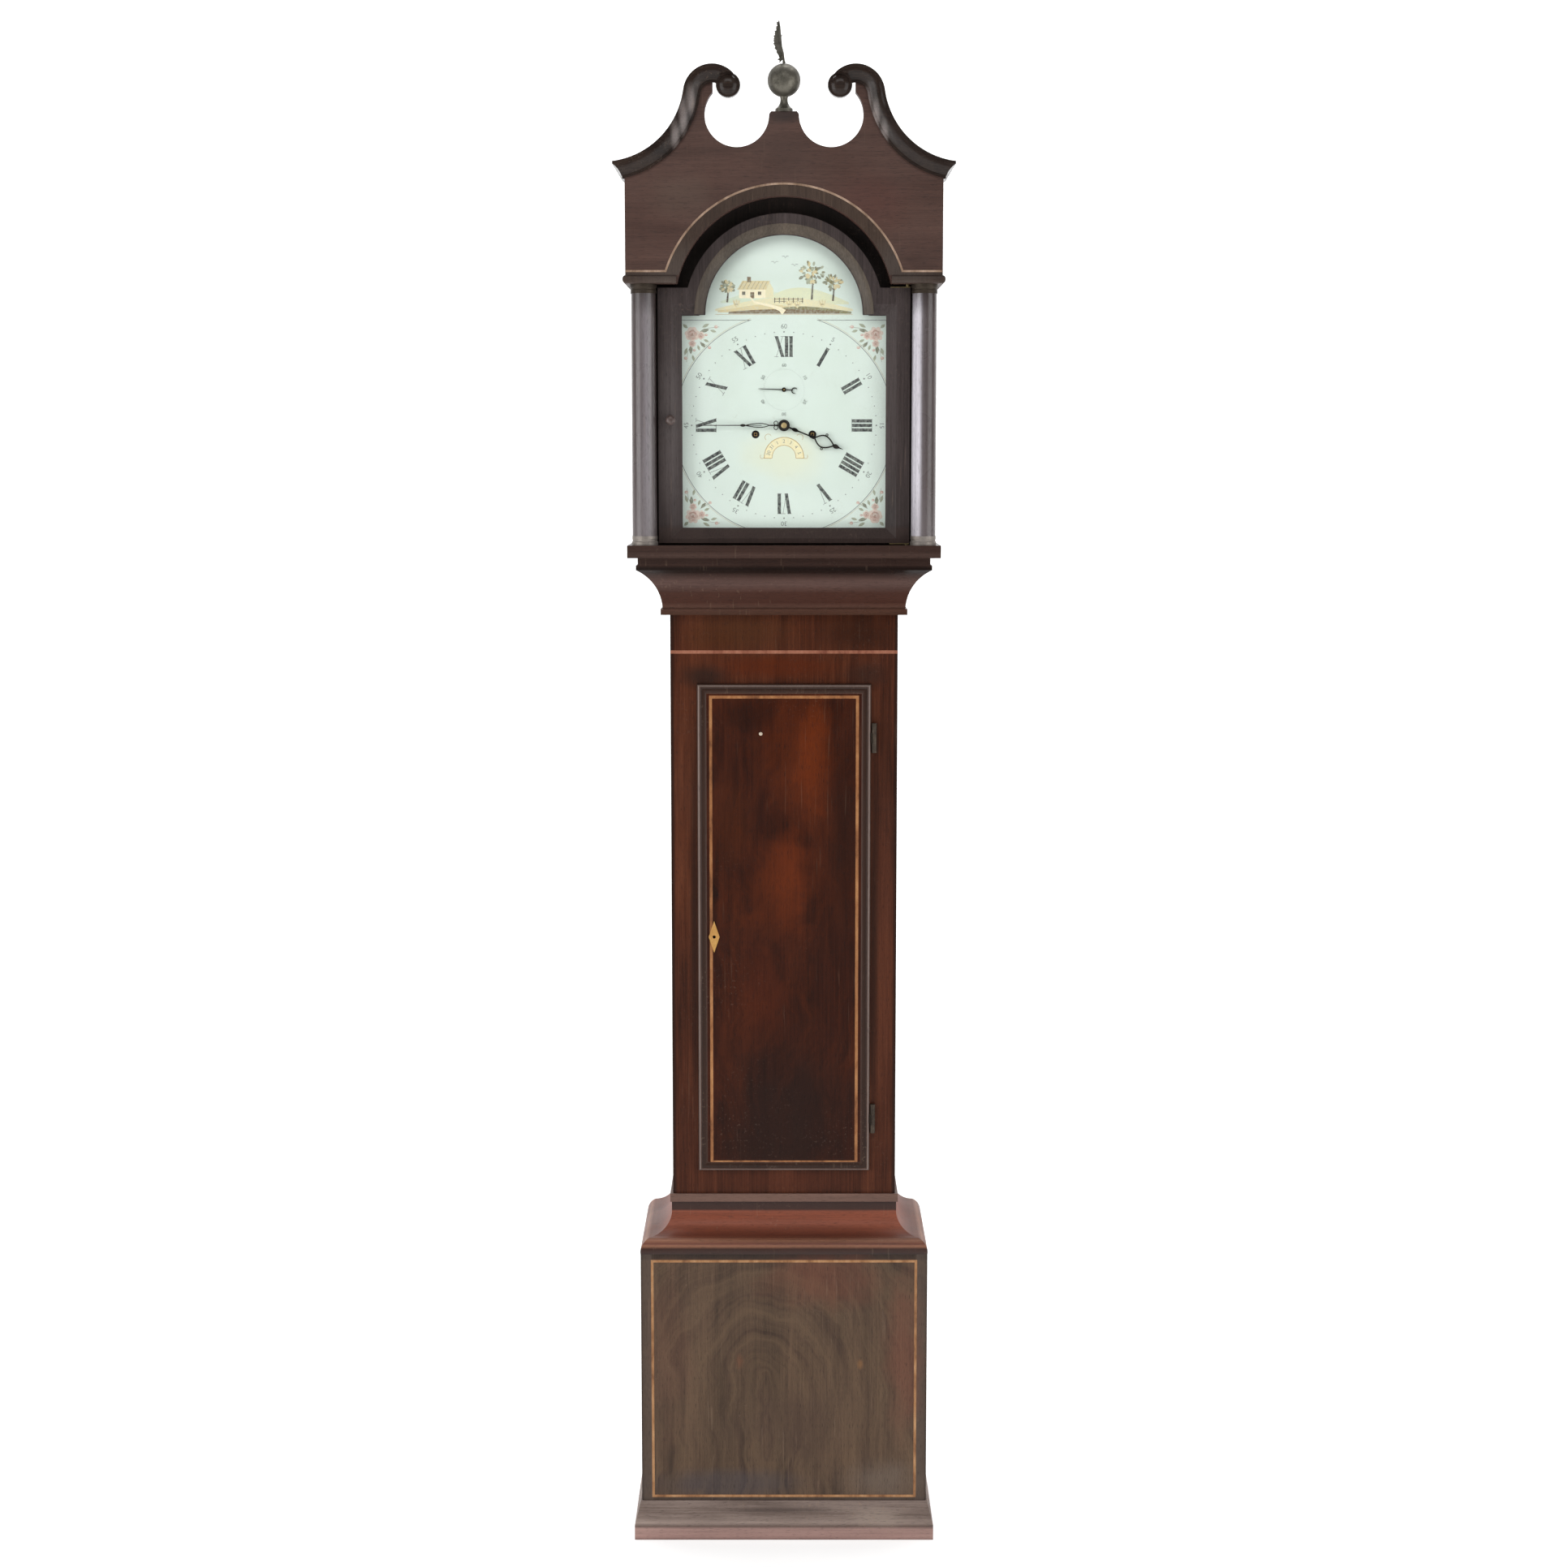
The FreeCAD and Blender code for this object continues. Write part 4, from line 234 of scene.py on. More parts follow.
def strip_edges(line, step, width):
    """Both edges of a strip along points with the given steps; the width may change along it."""
    side = np.stack([-step[:, 1], step[:, 0]], axis=1)
    side /= np.linalg.norm(side, axis=1)[:, None]
    half = np.broadcast_to(np.asarray(width, float) / 2, len(line))[:, None]
    return line + side * half, line - side * half


def band(line, width):
    """Outline of a stroke along an open line of (x, z) points; the width may change along it."""
    line = np.asarray(line, float)
    left, right = strip_edges(line, np.gradient(line, axis=0), width)
    return np.concatenate([left, right[::-1]])


# Shader helpers

def tint(red, green, blue):
    """A screen colour of 0 to 255 as the linear colour that a shader takes."""
    value = np.array([red, green, blue]) / 255
    linear = np.where(value <= 0.04045, value / 12.92, ((value + 0.055) / 1.055) ** 2.4)
    return (*linear.tolist(), 1.0)


class Graph:
    """Adds nodes to one shader tree, sets their inputs and joins their sockets."""

    def __init__(self, tree):
        self.tree = tree

    def add(self, kind, inputs=None, **settings):
        """A new node; an input is given a value or another node's socket."""
        node = self.tree.nodes.new(kind)
        for key, value in settings.items():
            setattr(node, key, value)
        for key, value in (inputs or {}).items():
            self.feed(node.inputs[key], value)
        return node

    def feed(self, socket, value):
        """Joins a socket to the input, or sets the input's own value; a screen colour has three numbers."""
        if isinstance(value, bpy.types.NodeSocket):
            self.tree.links.new(value, socket)
        elif socket.type == "RGBA" and len(value) == 3:
            socket.default_value = tint(*value)
        else:
            socket.default_value = value

    def mapped(self, vector, scale=(1, 1, 1), place=(0, 0, 0), turn=(0, 0, 0)):
        """Coordinates moved, turned in degrees and scaled."""
        return self.add("ShaderNodeMapping", {"Vector": vector, "Scale": scale, "Location": place,
                                              "Rotation": [math.radians(a) for a in turn]}).outputs[0]

    def noise(self, vector, scale, detail=3.0, rough=0.5, wander=0.0):
        """Soft random value about a half."""
        return self.add("ShaderNodeTexNoise", {"Vector": vector, "Scale": scale, "Detail": detail,
                                               "Roughness": rough, "Distortion": wander}).outputs[0]

    def stops(self, value, stops):
        """Colour and share along a value from 0 to 1, set out as (place, colour, share) stops."""
        node = self.add("ShaderNodeValToRGB", {0: value})
        elements = node.color_ramp.elements
        while len(elements) < len(stops):
            elements.new(1.0)
        for element, (place, colour, share) in zip(elements, stops):
            element.position = place
            element.color = (*tint(*colour)[:3], share)
        return node.outputs

    def ramp(self, value, *stops):
        """Colours set out along a value from 0 to 1, as (place, colour) pairs."""
        return self.stops(value, [(*stop, 1.0) for stop in stops])[0]

    def bands(self, value, stops):
        """Colour and share along a length in metres, set out as (millimetres, colour, share) stops."""
        first, last = stops[0][0], stops[-1][0]
        placed = [((place - first) / (last - first), colour, share) for place, colour, share in stops]
        return self.stops(self.spread(value, first * MM, last * MM), placed)

    def spread(self, value, lowest, highest, start=0.0, end=1.0):
        """A value's range from lowest to highest carried to start and end, and held there."""
        ends = {0: value, 1: lowest, 2: highest, 3: start, 4: end}
        return self.add("ShaderNodeMapRange", ends).outputs[0]

    def maths(self, rule, first, second=0.0):
        """One rule on two values."""
        return self.add("ShaderNodeMath", {0: first, 1: second}, operation=rule).outputs[0]

    def times(self, first, second):
        """The product of two values."""
        return self.maths("MULTIPLY", first, second)

    def plus(self, first, second):
        """The sum of two values."""
        return self.maths("ADD", first, second)

    def minus(self, first, second):
        """What is left of the first value without the second."""
        return self.maths("SUBTRACT", first, second)

    def vector(self, rule, first, second):
        """One rule on two vectors."""
        return self.add("ShaderNodeVectorMath", {0: first, 1: second}, operation=rule).outputs[0]

    def blend(self, share, first, second):
        """Two colours mixed by a share."""
        return self.add("ShaderNodeMix", {0: share, 6: first, 7: second}, data_type="RGBA").outputs[2]

    def cover(self, colour, shade, share, strength):
        """A shade laid over a colour by a share times a strength."""
        return self.blend(self.times(share, strength), colour, shade)

    def bump(self, height, depth, strength):
        """A normal from a height between 0 and 1, as deep as depth in metres."""
        relief = {"Height": height, "Distance": depth, "Strength": strength}
        return self.add("ShaderNodeBump", relief).outputs[0]

    def group(self, tree, **inputs):
        """One of the shared effects, with its own values."""
        node = self.add("ShaderNodeGroup", node_tree=tree)
        for key, value in inputs.items():
            self.feed(node.inputs[key], value)
        return node.outputs


def effect(name, outputs, vectors=(), values=()):
    """A shared effect's empty group and its graph: (group, graph, input sockets, output sockets).

    Each effect takes a Vector, the place on the clock, and then its own vectors and values.
    """
    tree = bpy.data.node_groups.new(name, "ShaderNodeTree")
    for title in ("Vector", *vectors):
        tree.interface.new_socket(title, in_out="INPUT", socket_type="NodeSocketVector")
    for title in values:
        tree.interface.new_socket(title, in_out="INPUT", socket_type="NodeSocketFloat")
    for title in outputs:
        tree.interface.new_socket(title, in_out="OUTPUT", socket_type="NodeSocketFloat")
    graph = Graph(tree)
    return tree, graph, graph.add("NodeGroupInput").outputs, graph.add("NodeGroupOutput").inputs


def wood_grain():
    """Grain along Z: broad tone, fine streaks drawn out along it, and short dark pores."""
    tree, g, given, out = effect("wood_grain", ["Tone", "Streak", "Pores"], values=["Swirl"])
    place = given["Vector"]
    broad = g.add("ShaderNodeTexNoise", {"Vector": g.mapped(place, (14, 14, 2.2)), "Scale": 1.0,
                                         "Detail": 4.0, "Distortion": given["Swirl"]}).outputs[0]
    streak = g.noise(g.mapped(place, (420, 420, 9)), 1.0, 4.0, 0.6)
    pore = g.noise(g.mapped(place, (1900, 1900, 90)), 1.0, 1.0)
    g.feed(out["Tone"], g.spread(broad, 0.28, 0.72))
    g.feed(out["Streak"], g.spread(streak, 0.3, 0.7))
    g.feed(out["Pores"], g.spread(pore, 0.6, 0.72))
    return tree


def flame_figure():
    """Crotch figure: plumes that rise along Z and lean away from the middle line, broken by noise."""
    tree, g, given, out = effect("flame_figure", ["Figure"])
    place = given["Vector"]
    bent = g.add("ShaderNodeTexNoise", {"Vector": place, "Scale": 7.0, "Detail": 2.0}).outputs[1]
    moved = g.vector("ADD", place, g.vector("MULTIPLY", bent, (0.12, 0.12, 0.3)))
    part = g.add("ShaderNodeSeparateXYZ", {0: moved}).outputs
    rise = g.minus(part[2], g.times(g.maths("ABSOLUTE", part[0]), 2.4))
    fan = g.add("ShaderNodeCombineXYZ", {0: part[0], 1: part[1], 2: rise}).outputs[0]
    plume = g.spread(g.noise(g.mapped(fan, (18, 18, 6)), 1.0, 5.0, 0.62), 0.42, 0.66)
    curl = g.spread(g.noise(g.mapped(fan, (130, 130, 40)), 1.0, 3.0), 0.3, 0.7, 0.45, 1.0)
    g.feed(out["Figure"], g.times(plume, curl))
    return tree


def cathedral_figure():
    """Arches of plain-sawn wood: half-rings above the centre, upright lines below it, loosened by noise."""
    tree, g, given, out = effect("cathedral_figure", ["Figure"])
    place = given["Vector"]
    part = g.add("ShaderNodeSeparateXYZ", {0: place}).outputs
    upper = g.maths("MAXIMUM", part[2], 0.0)
    squares = g.plus(g.maths("POWER", g.maths("ABSOLUTE", part[0]), 2.0), g.maths("POWER", upper, 2.0))
    drift = g.times(g.noise(place, 9.0, 3.0), 0.075)
    reach = g.plus(g.maths("SQRT", squares), drift)
    arch = g.add("ShaderNodeCombineXYZ", {0: g.times(reach, 62.0), 1: g.times(part[2], 3.0)}).outputs[0]
    g.feed(out["Figure"], g.spread(g.noise(arch, 1.0, 4.0, 0.6), 0.32, 0.7))
    return tree


def soft_patch():
    """A patch that is 1 at Centre and falls to 0 at Size from it along each axis, with a ragged rim."""
    tree, g, given, out = effect("soft_patch", ["Mask"], ["Centre", "Size"], ["Ragged"])
    place = given["Vector"]
    shrunk = g.vector("DIVIDE", g.vector("SUBTRACT", place, given["Centre"]), given["Size"])
    reach = g.add("ShaderNodeVectorMath", {0: shrunk}, operation="LENGTH").outputs["Value"]
    rim = g.times(g.minus(g.noise(place, 24.0, 4.0), 0.5), given["Ragged"])
    fall = g.add("ShaderNodeMapRange", {0: g.plus(reach, rim), 1: 1.0, 2: 0.15},
                 interpolation_type="SMOOTHSTEP").outputs[0]
    g.feed(out["Mask"], fall)
    return tree


def handling():
    """Marks of use: scuffed specks, long thin scratches along Z, and a cloudy bloom in the polish."""
    tree, g, given, out = effect("handling", ["Scuff", "Scratch", "Bloom"])
    place = given["Vector"]
    where = g.spread(g.noise(place, 9.0, 2.0), 0.5, 0.66)
    speck = g.spread(g.noise(place, 190.0, 4.0, 0.65), 0.58, 0.7)
    g.feed(out["Scuff"], g.times(where, speck))
    line = g.noise(g.mapped(place, (260, 260, 10), turn=(0, 9, 0)), 1.0, 1.0, 0.4, 0.2)
    lined = g.spread(g.noise(place, 13.0, 2.0), 0.48, 0.6)
    g.feed(out["Scratch"], g.times(g.spread(line, 0.66, 0.72), lined))
    g.feed(out["Bloom"], g.spread(g.noise(place, 5.0, 4.0, 0.55), 0.36, 0.7))
    return tree


def tarnish():
    """Old metal: broad dark patina, fine mottling, and small dull pits."""
    tree, g, given, out = effect("tarnish", ["Patina", "Mottle", "Pit"])
    place = given["Vector"]
    g.feed(out["Patina"], g.spread(g.noise(place, 60.0, 5.0, 0.6, 0.4), 0.35, 0.68))
    g.feed(out["Mottle"], g.spread(g.noise(place, 420.0, 4.0, 0.6), 0.35, 0.68))
    g.feed(out["Pit"], g.spread(g.noise(place, 1500.0, 2.0), 0.62, 0.74))
    return tree


GRAIN = wood_grain()
FLAME = flame_figure()
CATHEDRAL = cathedral_figure()
PATCH = soft_patch()
HANDLING = handling()
TARNISH = tarnish()


# Finishes

class Finish:
    """A new material with its graph, its shader and its place on the clock in metres."""

    def __init__(self, name, **sockets):
        self.material = bpy.data.materials.new(name)
        self.material.use_nodes = True
        self.graph = Graph(self.material.node_tree)
        self.shader = self.material.node_tree.nodes["Principled BSDF"]
        self.place = self.graph.add("ShaderNodeTexCoord").outputs["Object"]
        self.give(**sockets)

    def give(self, **sockets):
        """Sets or joins the shader's sockets; a word_with_breaks stands for a socket's Title Words."""
        for key, value in sockets.items():
            title = key.replace("_", " ").title().replace("Ior", "IOR")
            self.graph.feed(self.shader.inputs[title], value)

    def clear_where(self, share):
        """Lets light straight through by a share."""
        clear = self.graph.add("ShaderNodeBsdfTransparent").outputs[0]
        surfaces = {0: share, 1: self.shader.outputs[0], 2: clear}
        mixed = self.graph.add("ShaderNodeMixShader", surfaces).outputs[0]
        self.graph.feed(self.material.node_tree.nodes["Material Output"].inputs["Surface"], mixed)


GRAIN_TURN = {"z": (0, 0, 0), "x": (0, 90, 0)}
TONE_SHARE = 0.62
WOOD_RELIEF = 0.00012
POLISH_BELOW_WEAR = 0.06
PORE_TONE = (14, 9, 8)
BLOOM_TONE = (112, 98, 92)
SCRATCH_TONE = (158, 132, 110)
SCUFF_TONE = (150, 128, 112)
DIAL_RIM_PAINTED_LIGHT = (219, 232, 223)
DIAL_SIGHT = (154.0, 1598.0, 2036.0)


def patch_mask(finish, centre, size, ragged):
    """Where a soft patch lies, for a centre and a size given in millimetres."""
    return finish.graph.group(PATCH, Vector=finish.place, Centre=[c * MM for c in centre],
                              Size=[s * MM for s in size], Ragged=ragged)["Mask"]


def banded(finish, measure, stops):
    """Colour and share of a band whose stops lie along a measure.

    The measures are "z", the height; "side", the sideways place; "x", the distance from the middle; and a
    frame (half, foot, top) in millimetres, which gives the distance out from the frame's edge.
    """
    g = finish.graph
    part = g.add("ShaderNodeSeparateXYZ", {0: finish.place}).outputs
    middle = g.maths("ABSOLUTE", part["X"])
    if measure in ("z", "side", "x"):
        return g.bands({"z": part["Z"], "side": part["X"], "x": middle}[measure], stops)
    half, foot, top = (value * MM for value in measure)
    height = g.maths("ABSOLUTE", g.minus(part["Z"], (foot + top) / 2))
    return g.bands(g.maths("MAXIMUM", g.minus(middle, half), g.minus(height, (top - foot) / 2)), stops)


def mahogany(name, dark, body, bright, grain="z", swirl=1.2, polish=0.34, coat=0.3, coat_haze=0.2, shine=0.5,
             figure=None, bands=(), patches=(), scuff=0.15, scratch=0.1, bloom=0.12):
    """Old polished mahogany: grain and pores in three tones, local colour, scuffs, scratches and bloom; in
    some finishes the bands and patches also hold painted shade and painted highlights.

    A figure is (effect, centre, colour, strength), a band (measure, stops) and a patch (centre, size, ragged,
    colour, strength). Roughness rises in the bloom and the scuffs.
    """
    finish = Finish(name, coat_roughness=coat_haze, coat_ior=1.5, ior=1.5, specular_ior_level=shine)
    g = finish.graph
    along = g.mapped(finish.place, turn=GRAIN_TURN[grain])
    wood = g.group(GRAIN, Vector=along, Swirl=swirl)
    use = g.group(HANDLING, Vector=finish.place)
    level = g.plus(g.times(wood["Tone"], TONE_SHARE), g.times(wood["Streak"], 1 - TONE_SHARE))
    colour = g.ramp(level, (0.12, dark), (0.5, body), (0.92, bright))
    if figure:
        tree, centre, shade, strength = figure
        shifted = g.mapped(finish.place, place=[-c * MM for c in centre])
        colour = g.cover(colour, shade, g.group(tree, Vector=shifted)["Figure"], strength)
    lively = g.spread(level, 0.1, 0.8, 0.6, 1.0)
    for measure, stops in bands:
        shade, share = banded(finish, measure, stops)
        colour = g.cover(colour, shade, share, lively)
    for centre, size, ragged, shade, strength in patches:
        mask = g.times(patch_mask(finish, centre, size, ragged), strength)
        colour = g.cover(colour, shade, mask, lively)
    colour = g.cover(colour, PORE_TONE, wood["Pores"], 0.55)
    colour = g.cover(colour, BLOOM_TONE, use["Bloom"], bloom)
    colour = g.cover(colour, SCRATCH_TONE, use["Scratch"], scratch)
    colour = g.cover(colour, SCUFF_TONE, use["Scuff"], scuff)
    worn = g.plus(g.times(use["Bloom"], 0.16), g.times(use["Scuff"], 0.3))
    sunk = g.plus(wood["Pores"], g.times(use["Scuff"], 0.8))
    finish.give(base_color=colour, roughness=g.plus(worn, polish - POLISH_BELOW_WEAR),
                coat_weight=g.spread(use["Bloom"], 0.0, 1.0, coat, coat * 0.4),
                normal=g.bump(g.minus(g.times(wood["Streak"], 0.35), sunk), WOOD_RELIEF, 0.6))
    return finish.material


def stringing_wood(name, dark, body, bright):
    """Inlaid line: a pale wood darkened here and there by old polish."""
    finish = Finish(name, roughness=0.5, coat_weight=0.05, coat_roughness=0.25, specular_ior_level=0.3)
    g = finish.graph
    tone = g.spread(g.noise(g.mapped(finish.place, (60, 60, 26)), 1.0, 4.0, 0.6), 0.32, 0.7)
    fleck = g.spread(g.noise(finish.place, 900.0, 2.0), 0.55, 0.7, 0.0, 0.4)
    colour = g.ramp(tone, (0.0, dark), (0.45, body), (1.0, bright))
    finish.give(base_color=g.blend(fleck, colour, dark), normal=g.bump(fleck, 0.00005, 0.4))
    return finish.material


def bare_pine():
    """Unpolished carcase pine: straw-brown with wide growth bands, dust and dark ends."""
    finish = Finish("carcase_pine", roughness=0.78)
    g = finish.graph
    wood = g.group(GRAIN, Vector=finish.place, Swirl=0.6)
    use = g.group(HANDLING, Vector=finish.place)
    rings = g.spread(g.noise(g.mapped(finish.place, (46, 46, 1.1)), 1.0, 3.0, 0.5, 0.8), 0.3, 0.7)
    level = g.plus(g.times(rings, 0.6), g.times(wood["Streak"], 0.4))
    colour = g.ramp(level, (0.1, (84, 58, 38)), (0.55, (118, 86, 57)), (0.95, (142, 108, 74)))
    finish.give(base_color=g.cover(colour, (86, 66, 50), use["Bloom"], 0.45),
                normal=g.bump(wood["Streak"], 0.0002, 0.5))
    return finish.material


def metal(name, clean, dull, pit, polish, patina=0.5, metallic=0.9, bands=()):
    """Old metal: clean and dulled colours by its patina, bands, dark pits, and a roughness that follows."""
    finish = Finish(name, metallic=metallic)
    g = finish.graph
    old = g.group(TARNISH, Vector=finish.place)
    share = g.plus(g.times(old["Patina"], patina), g.times(old["Mottle"], patina * 0.35))
    colour = g.blend(share, clean, dull)
    for measure, stops in bands:
        shade, cover = banded(finish, measure, stops)
        colour = g.blend(cover, colour, shade)
    finish.give(base_color=g.cover(colour, pit, old["Pit"], 0.5),
                roughness=g.plus(g.times(share, 0.3), polish),
                normal=g.bump(g.minus(old["Mottle"], old["Pit"]), 0.00006, 0.5))
    return finish.material


def dial_enamel():
    """Aged white dial paint: faint green cast, a rim painted paler against the door frame's shade (painted
    light), yellowed patches, cracks and specks.
    """
    finish = Finish("dial_enamel", roughness=0.42, coat_weight=0.15, coat_roughness=0.3)
    g = finish.graph
    cloud = g.spread(g.noise(finish.place, 16.0, 4.0), 0.35, 0.7)
    colour = g.cover((204, 217, 208), (197, 212, 198), cloud, 0.35)
    # Painted light: paler towards the edge of the door's sight, where the frame's shade falls on the dial.
    shade, share = banded(finish, DIAL_SIGHT, [(-60, DIAL_RIM_PAINTED_LIGHT, 0.0), (0, DIAL_RIM_PAINTED_LIGHT, 0.85)])
    colour = g.blend(share, colour, shade)
    glow = patch_mask(finish, (0, DIAL_FRONT, DIAL_Z - 45), (85, 40, 55), 0.5)
    colour = g.cover(colour, (216, 214, 178), glow, 0.42)
    crack = g.add("ShaderNodeTexVoronoi", {"Vector": finish.place, "Scale": 150.0},
                  feature="DISTANCE_TO_EDGE")
    line = g.spread(crack.outputs[0], 0.0, 0.035, 1.0, 0.0)
    line = g.times(line, g.spread(g.noise(finish.place, 30.0, 3.0), 0.45, 0.65))
    speck = g.spread(g.noise(finish.place, 520.0, 2.0), 0.7, 0.76, 0.0, 0.4)
    colour = g.cover(colour, (150, 150, 128), line, 0.22)
    finish.give(base_color=g.blend(speck, colour, (168, 170, 150)), normal=g.bump(line, 0.00005, -0.4))
    return finish.material


def dial_paint():
    """Brush paint of the dial's numerals and pictures: its own colour, thinned and worn in places."""
    finish = Finish("dial_paint", roughness=0.5)
    g = finish.graph
    own = g.add("ShaderNodeAttribute", attribute_name="paint").outputs["Color"]
    thin = g.spread(g.noise(finish.place, 260.0, 4.0, 0.6), 0.4, 0.75, 0.0, 0.5)
    worn = g.spread(g.noise(finish.place, 900.0, 3.0), 0.62, 0.72, 0.0, 0.6)
    colour = g.blend(thin, own, (188, 197, 184))
    finish.give(base_color=g.blend(worn, colour, (202, 215, 206)))
    return finish.material


def old_glass():
    """Clear sheet glass with a slow ripple; it lets shadow rays through, as a thin pane does."""
    finish = Finish("door_glass", base_color=(1, 1, 1, 1), roughness=0.02, ior=1.35,
                    transmission_weight=1.0)
    g = finish.graph
    finish.give(normal=g.bump(g.noise(finish.place, 9.0, 1.0), 0.0004, 0.25))
    finish.clear_where(g.add("ShaderNodeLightPath").outputs["Is Shadow Ray"])
    return finish.material


def gut_cord():
    """Waxed gut: amber-brown strands laid in a slow twist."""
    finish = Finish("gut_line", roughness=0.5, coat_weight=0.25, coat_roughness=0.3)
    g = finish.graph
    twist = g.add("ShaderNodeTexWave", {"Vector": g.mapped(finish.place, turn=(0, 35, 20)), "Scale": 420.0,
                                        "Distortion": 1.0}).outputs[1]
    colour = g.ramp(g.noise(finish.place, 45.0, 3.0), (0.3, (104, 72, 38)), (0.7, (172, 132, 78)))
    finish.give(base_color=g.blend(g.spread(twist, 0.0, 0.4, 0.5, 0.0), colour, (60, 38, 20)),
                normal=g.bump(twist, 0.0003, 0.6))
    return finish.material


def front_patches(y, deep, rows):
    """Patches about the plane at y, of one depth: rows of (x, z, wide, tall, ragged, colour, strength)."""
    return [((x, y, z), (wide, deep, tall), *look) for x, z, wide, tall, *look in rows]


# Tones of the case, as screen colours, that bands and patches name; some of them are painted shade and
# painted highlights, as marked where they are used.
NEAR_BLACK = (20, 14, 12)
SHADOW_BROWN = (36, 25, 21)
GREY_BROWN = (84, 68, 58)
NECK_PAINTED_GLEAM = (176, 164, 160)
COLUMN_PAINTED_SHADE = (52, 43, 43)
COLUMN_BROWN = (86, 76, 75)
COLUMN_PAINTED_REFLECTION = (116, 109, 111)
COLUMN_PAINTED_SHEEN = (144, 138, 142)
COLUMN_PAINTED_GLEAM = (222, 217, 226)
CAP_PAINTED_REFLECTION = (150, 144, 140)
CAP_SHADE = (46, 38, 31)
BEAD_BROWN = (70, 46, 35)
BEAD_PALE_LINE = (88, 60, 50)
COVE_RED = (65, 35, 25)
COVE_PAINTED_SHEEN = (93, 70, 64)
HOOD_BROWN = (60, 44, 39)
HOOD_PALE_LINE = (76, 59, 53)
BASE_PAINTED_SHADE = (42, 25, 19)
BASE_EDGE = (162, 113, 87)
BASE_RED = (112, 59, 42)
BASE_COVE = (151, 79, 54)
BASE_STRIP = (119, 93, 81)
LIP_FRAME = (high("trunk_door_moulding", 0), low("trunk_door_moulding", 2), high("trunk_door_moulding", 2))

frieze_wood = mahogany(
    "frieze_mahogany", (62, 43, 37), (75, 53, 46), (86, 62, 54), grain="x", polish=0.55, coat=0.03,
    shine=0.25, bloom=0.15, scuff=0.06, scratch=0.04, patches=front_patches(-115, 40, [
        (-150, 2090, 70, 50, 0.5, (86, 71, 62), 0.5), (120, 2080, 90, 60, 0.5, (82, 47, 41), 0.45),
        (0, 2150, 60, 40, 0.4, (62, 44, 38), 0.6), (0, 2207, 44, 17, 0.1, (40, 32, 30), 0.95)]))
# Painted highlights: pale patches down the steep flank of each swan neck.
neck_wood = mahogany(
    "neck_mahogany", (26, 20, 17), (40, 31, 27), (58, 46, 39), grain="x", polish=0.26, coat=0.2,
    coat_haze=0.12, shine=0.15, bloom=0.03, scuff=0.08, patches=front_patches(-125, 60, [
        (-138, 2228, 9, 30, 0.15, NECK_PAINTED_GLEAM, 0.5), (-149, 2204, 9, 36, 0.15, NECK_PAINTED_GLEAM, 0.55),
        (-161, 2178, 9, 30, 0.15, NECK_PAINTED_GLEAM, 0.45), (124, 2226, 9, 30, 0.15, NECK_PAINTED_GLEAM, 0.5),
        (135, 2202, 9, 36, 0.15, NECK_PAINTED_GLEAM, 0.6), (148, 2176, 9, 30, 0.15, NECK_PAINTED_GLEAM, 0.5)]))
door_frame_wood = mahogany(
    "hood_door_mahogany", (40, 32, 31), (58, 49, 48), (76, 66, 65), polish=0.55, coat=0.04, coat_haze=0.4,
    shine=0.22, bloom=0.06,
    bands=[("z", [(1575, (58, 42, 36), 0.8), (1597, (56, 41, 36), 0.8), (1604, SHADOW_BROWN, 0.0),
                  (1957, SHADOW_BROWN, 0.0)])],
    # Painted reflection: a paler grey patch on the left stile.
    patches=front_patches(-92, 30, [(-172, 1760, 22, 190, 0.4, (90, 83, 82), 0.7)]))
mask_wood = mahogany(
    "hood_mask_stain", (18, 13, 11), (30, 22, 19), (44, 33, 29), polish=0.7, coat=0.0, shine=0.2)
# Painted highlights, sheen and reflections across each column by its sideways place, a band of painted shade
# at one edge, and painted shade under the top brasses.
column_wood = mahogany(
    "column_mahogany", (36, 25, 23), (54, 40, 38), (72, 54, 51), polish=0.3, coat=0.35, coat_haze=0.14,
    bloom=0.06,
    bands=[("side", [(-226, COLUMN_BROWN, 0.9), (-214, COLUMN_PAINTED_REFLECTION, 0.9), (-206, COLUMN_PAINTED_SHEEN, 0.95),
                     (-199, COLUMN_PAINTED_REFLECTION, 0.9), (-193, COLUMN_PAINTED_SHADE, 0.9), (191, COLUMN_PAINTED_SHEEN, 0.9),
                     (194, COLUMN_PAINTED_GLEAM, 0.98), (204, COLUMN_PAINTED_GLEAM, 0.98), (208, COLUMN_PAINTED_REFLECTION, 0.9),
                     (216, COLUMN_BROWN, 0.9)]),
           ("z", [(1600, COLUMN_PAINTED_REFLECTION, 0.4), (1660, COLUMN_PAINTED_REFLECTION, 0.0), (1915, SHADOW_BROWN, 0.0),
                  (1932, SHADOW_BROWN, 0.55), (1946, SHADOW_BROWN, 0.85)])])
# Bands of height on the throat and hood base: a painted sheen on the upper cove, painted shade, near black,
# in the fillet under the hood base, and paler lines along the throat bead and the hood base.
moulding_wood = mahogany(
    "moulding_mahogany", (30, 19, 16), (50, 33, 27), (76, 48, 36), grain="x", polish=0.32, coat=0.0,
    shine=0.12, bloom=0.04, scuff=0.08,
    bands=[("z", [(1463, BEAD_BROWN, 0.9), (1477, BEAD_PALE_LINE, 0.9), (1483, COVE_RED, 0.95),
                  (1498, COVE_RED, 0.95), (1511, COVE_PAINTED_SHEEN, 0.9), (1517, COVE_PAINTED_SHEEN, 0.9),
                  (1531, NEAR_BLACK, 0.95), (1537, NEAR_BLACK, 0.95), (1541, HOOD_BROWN, 0.9),
                  (1550, HOOD_BROWN, 0.9), (1558, HOOD_PALE_LINE, 0.9), (1563, HOOD_BROWN, 0.9)])])
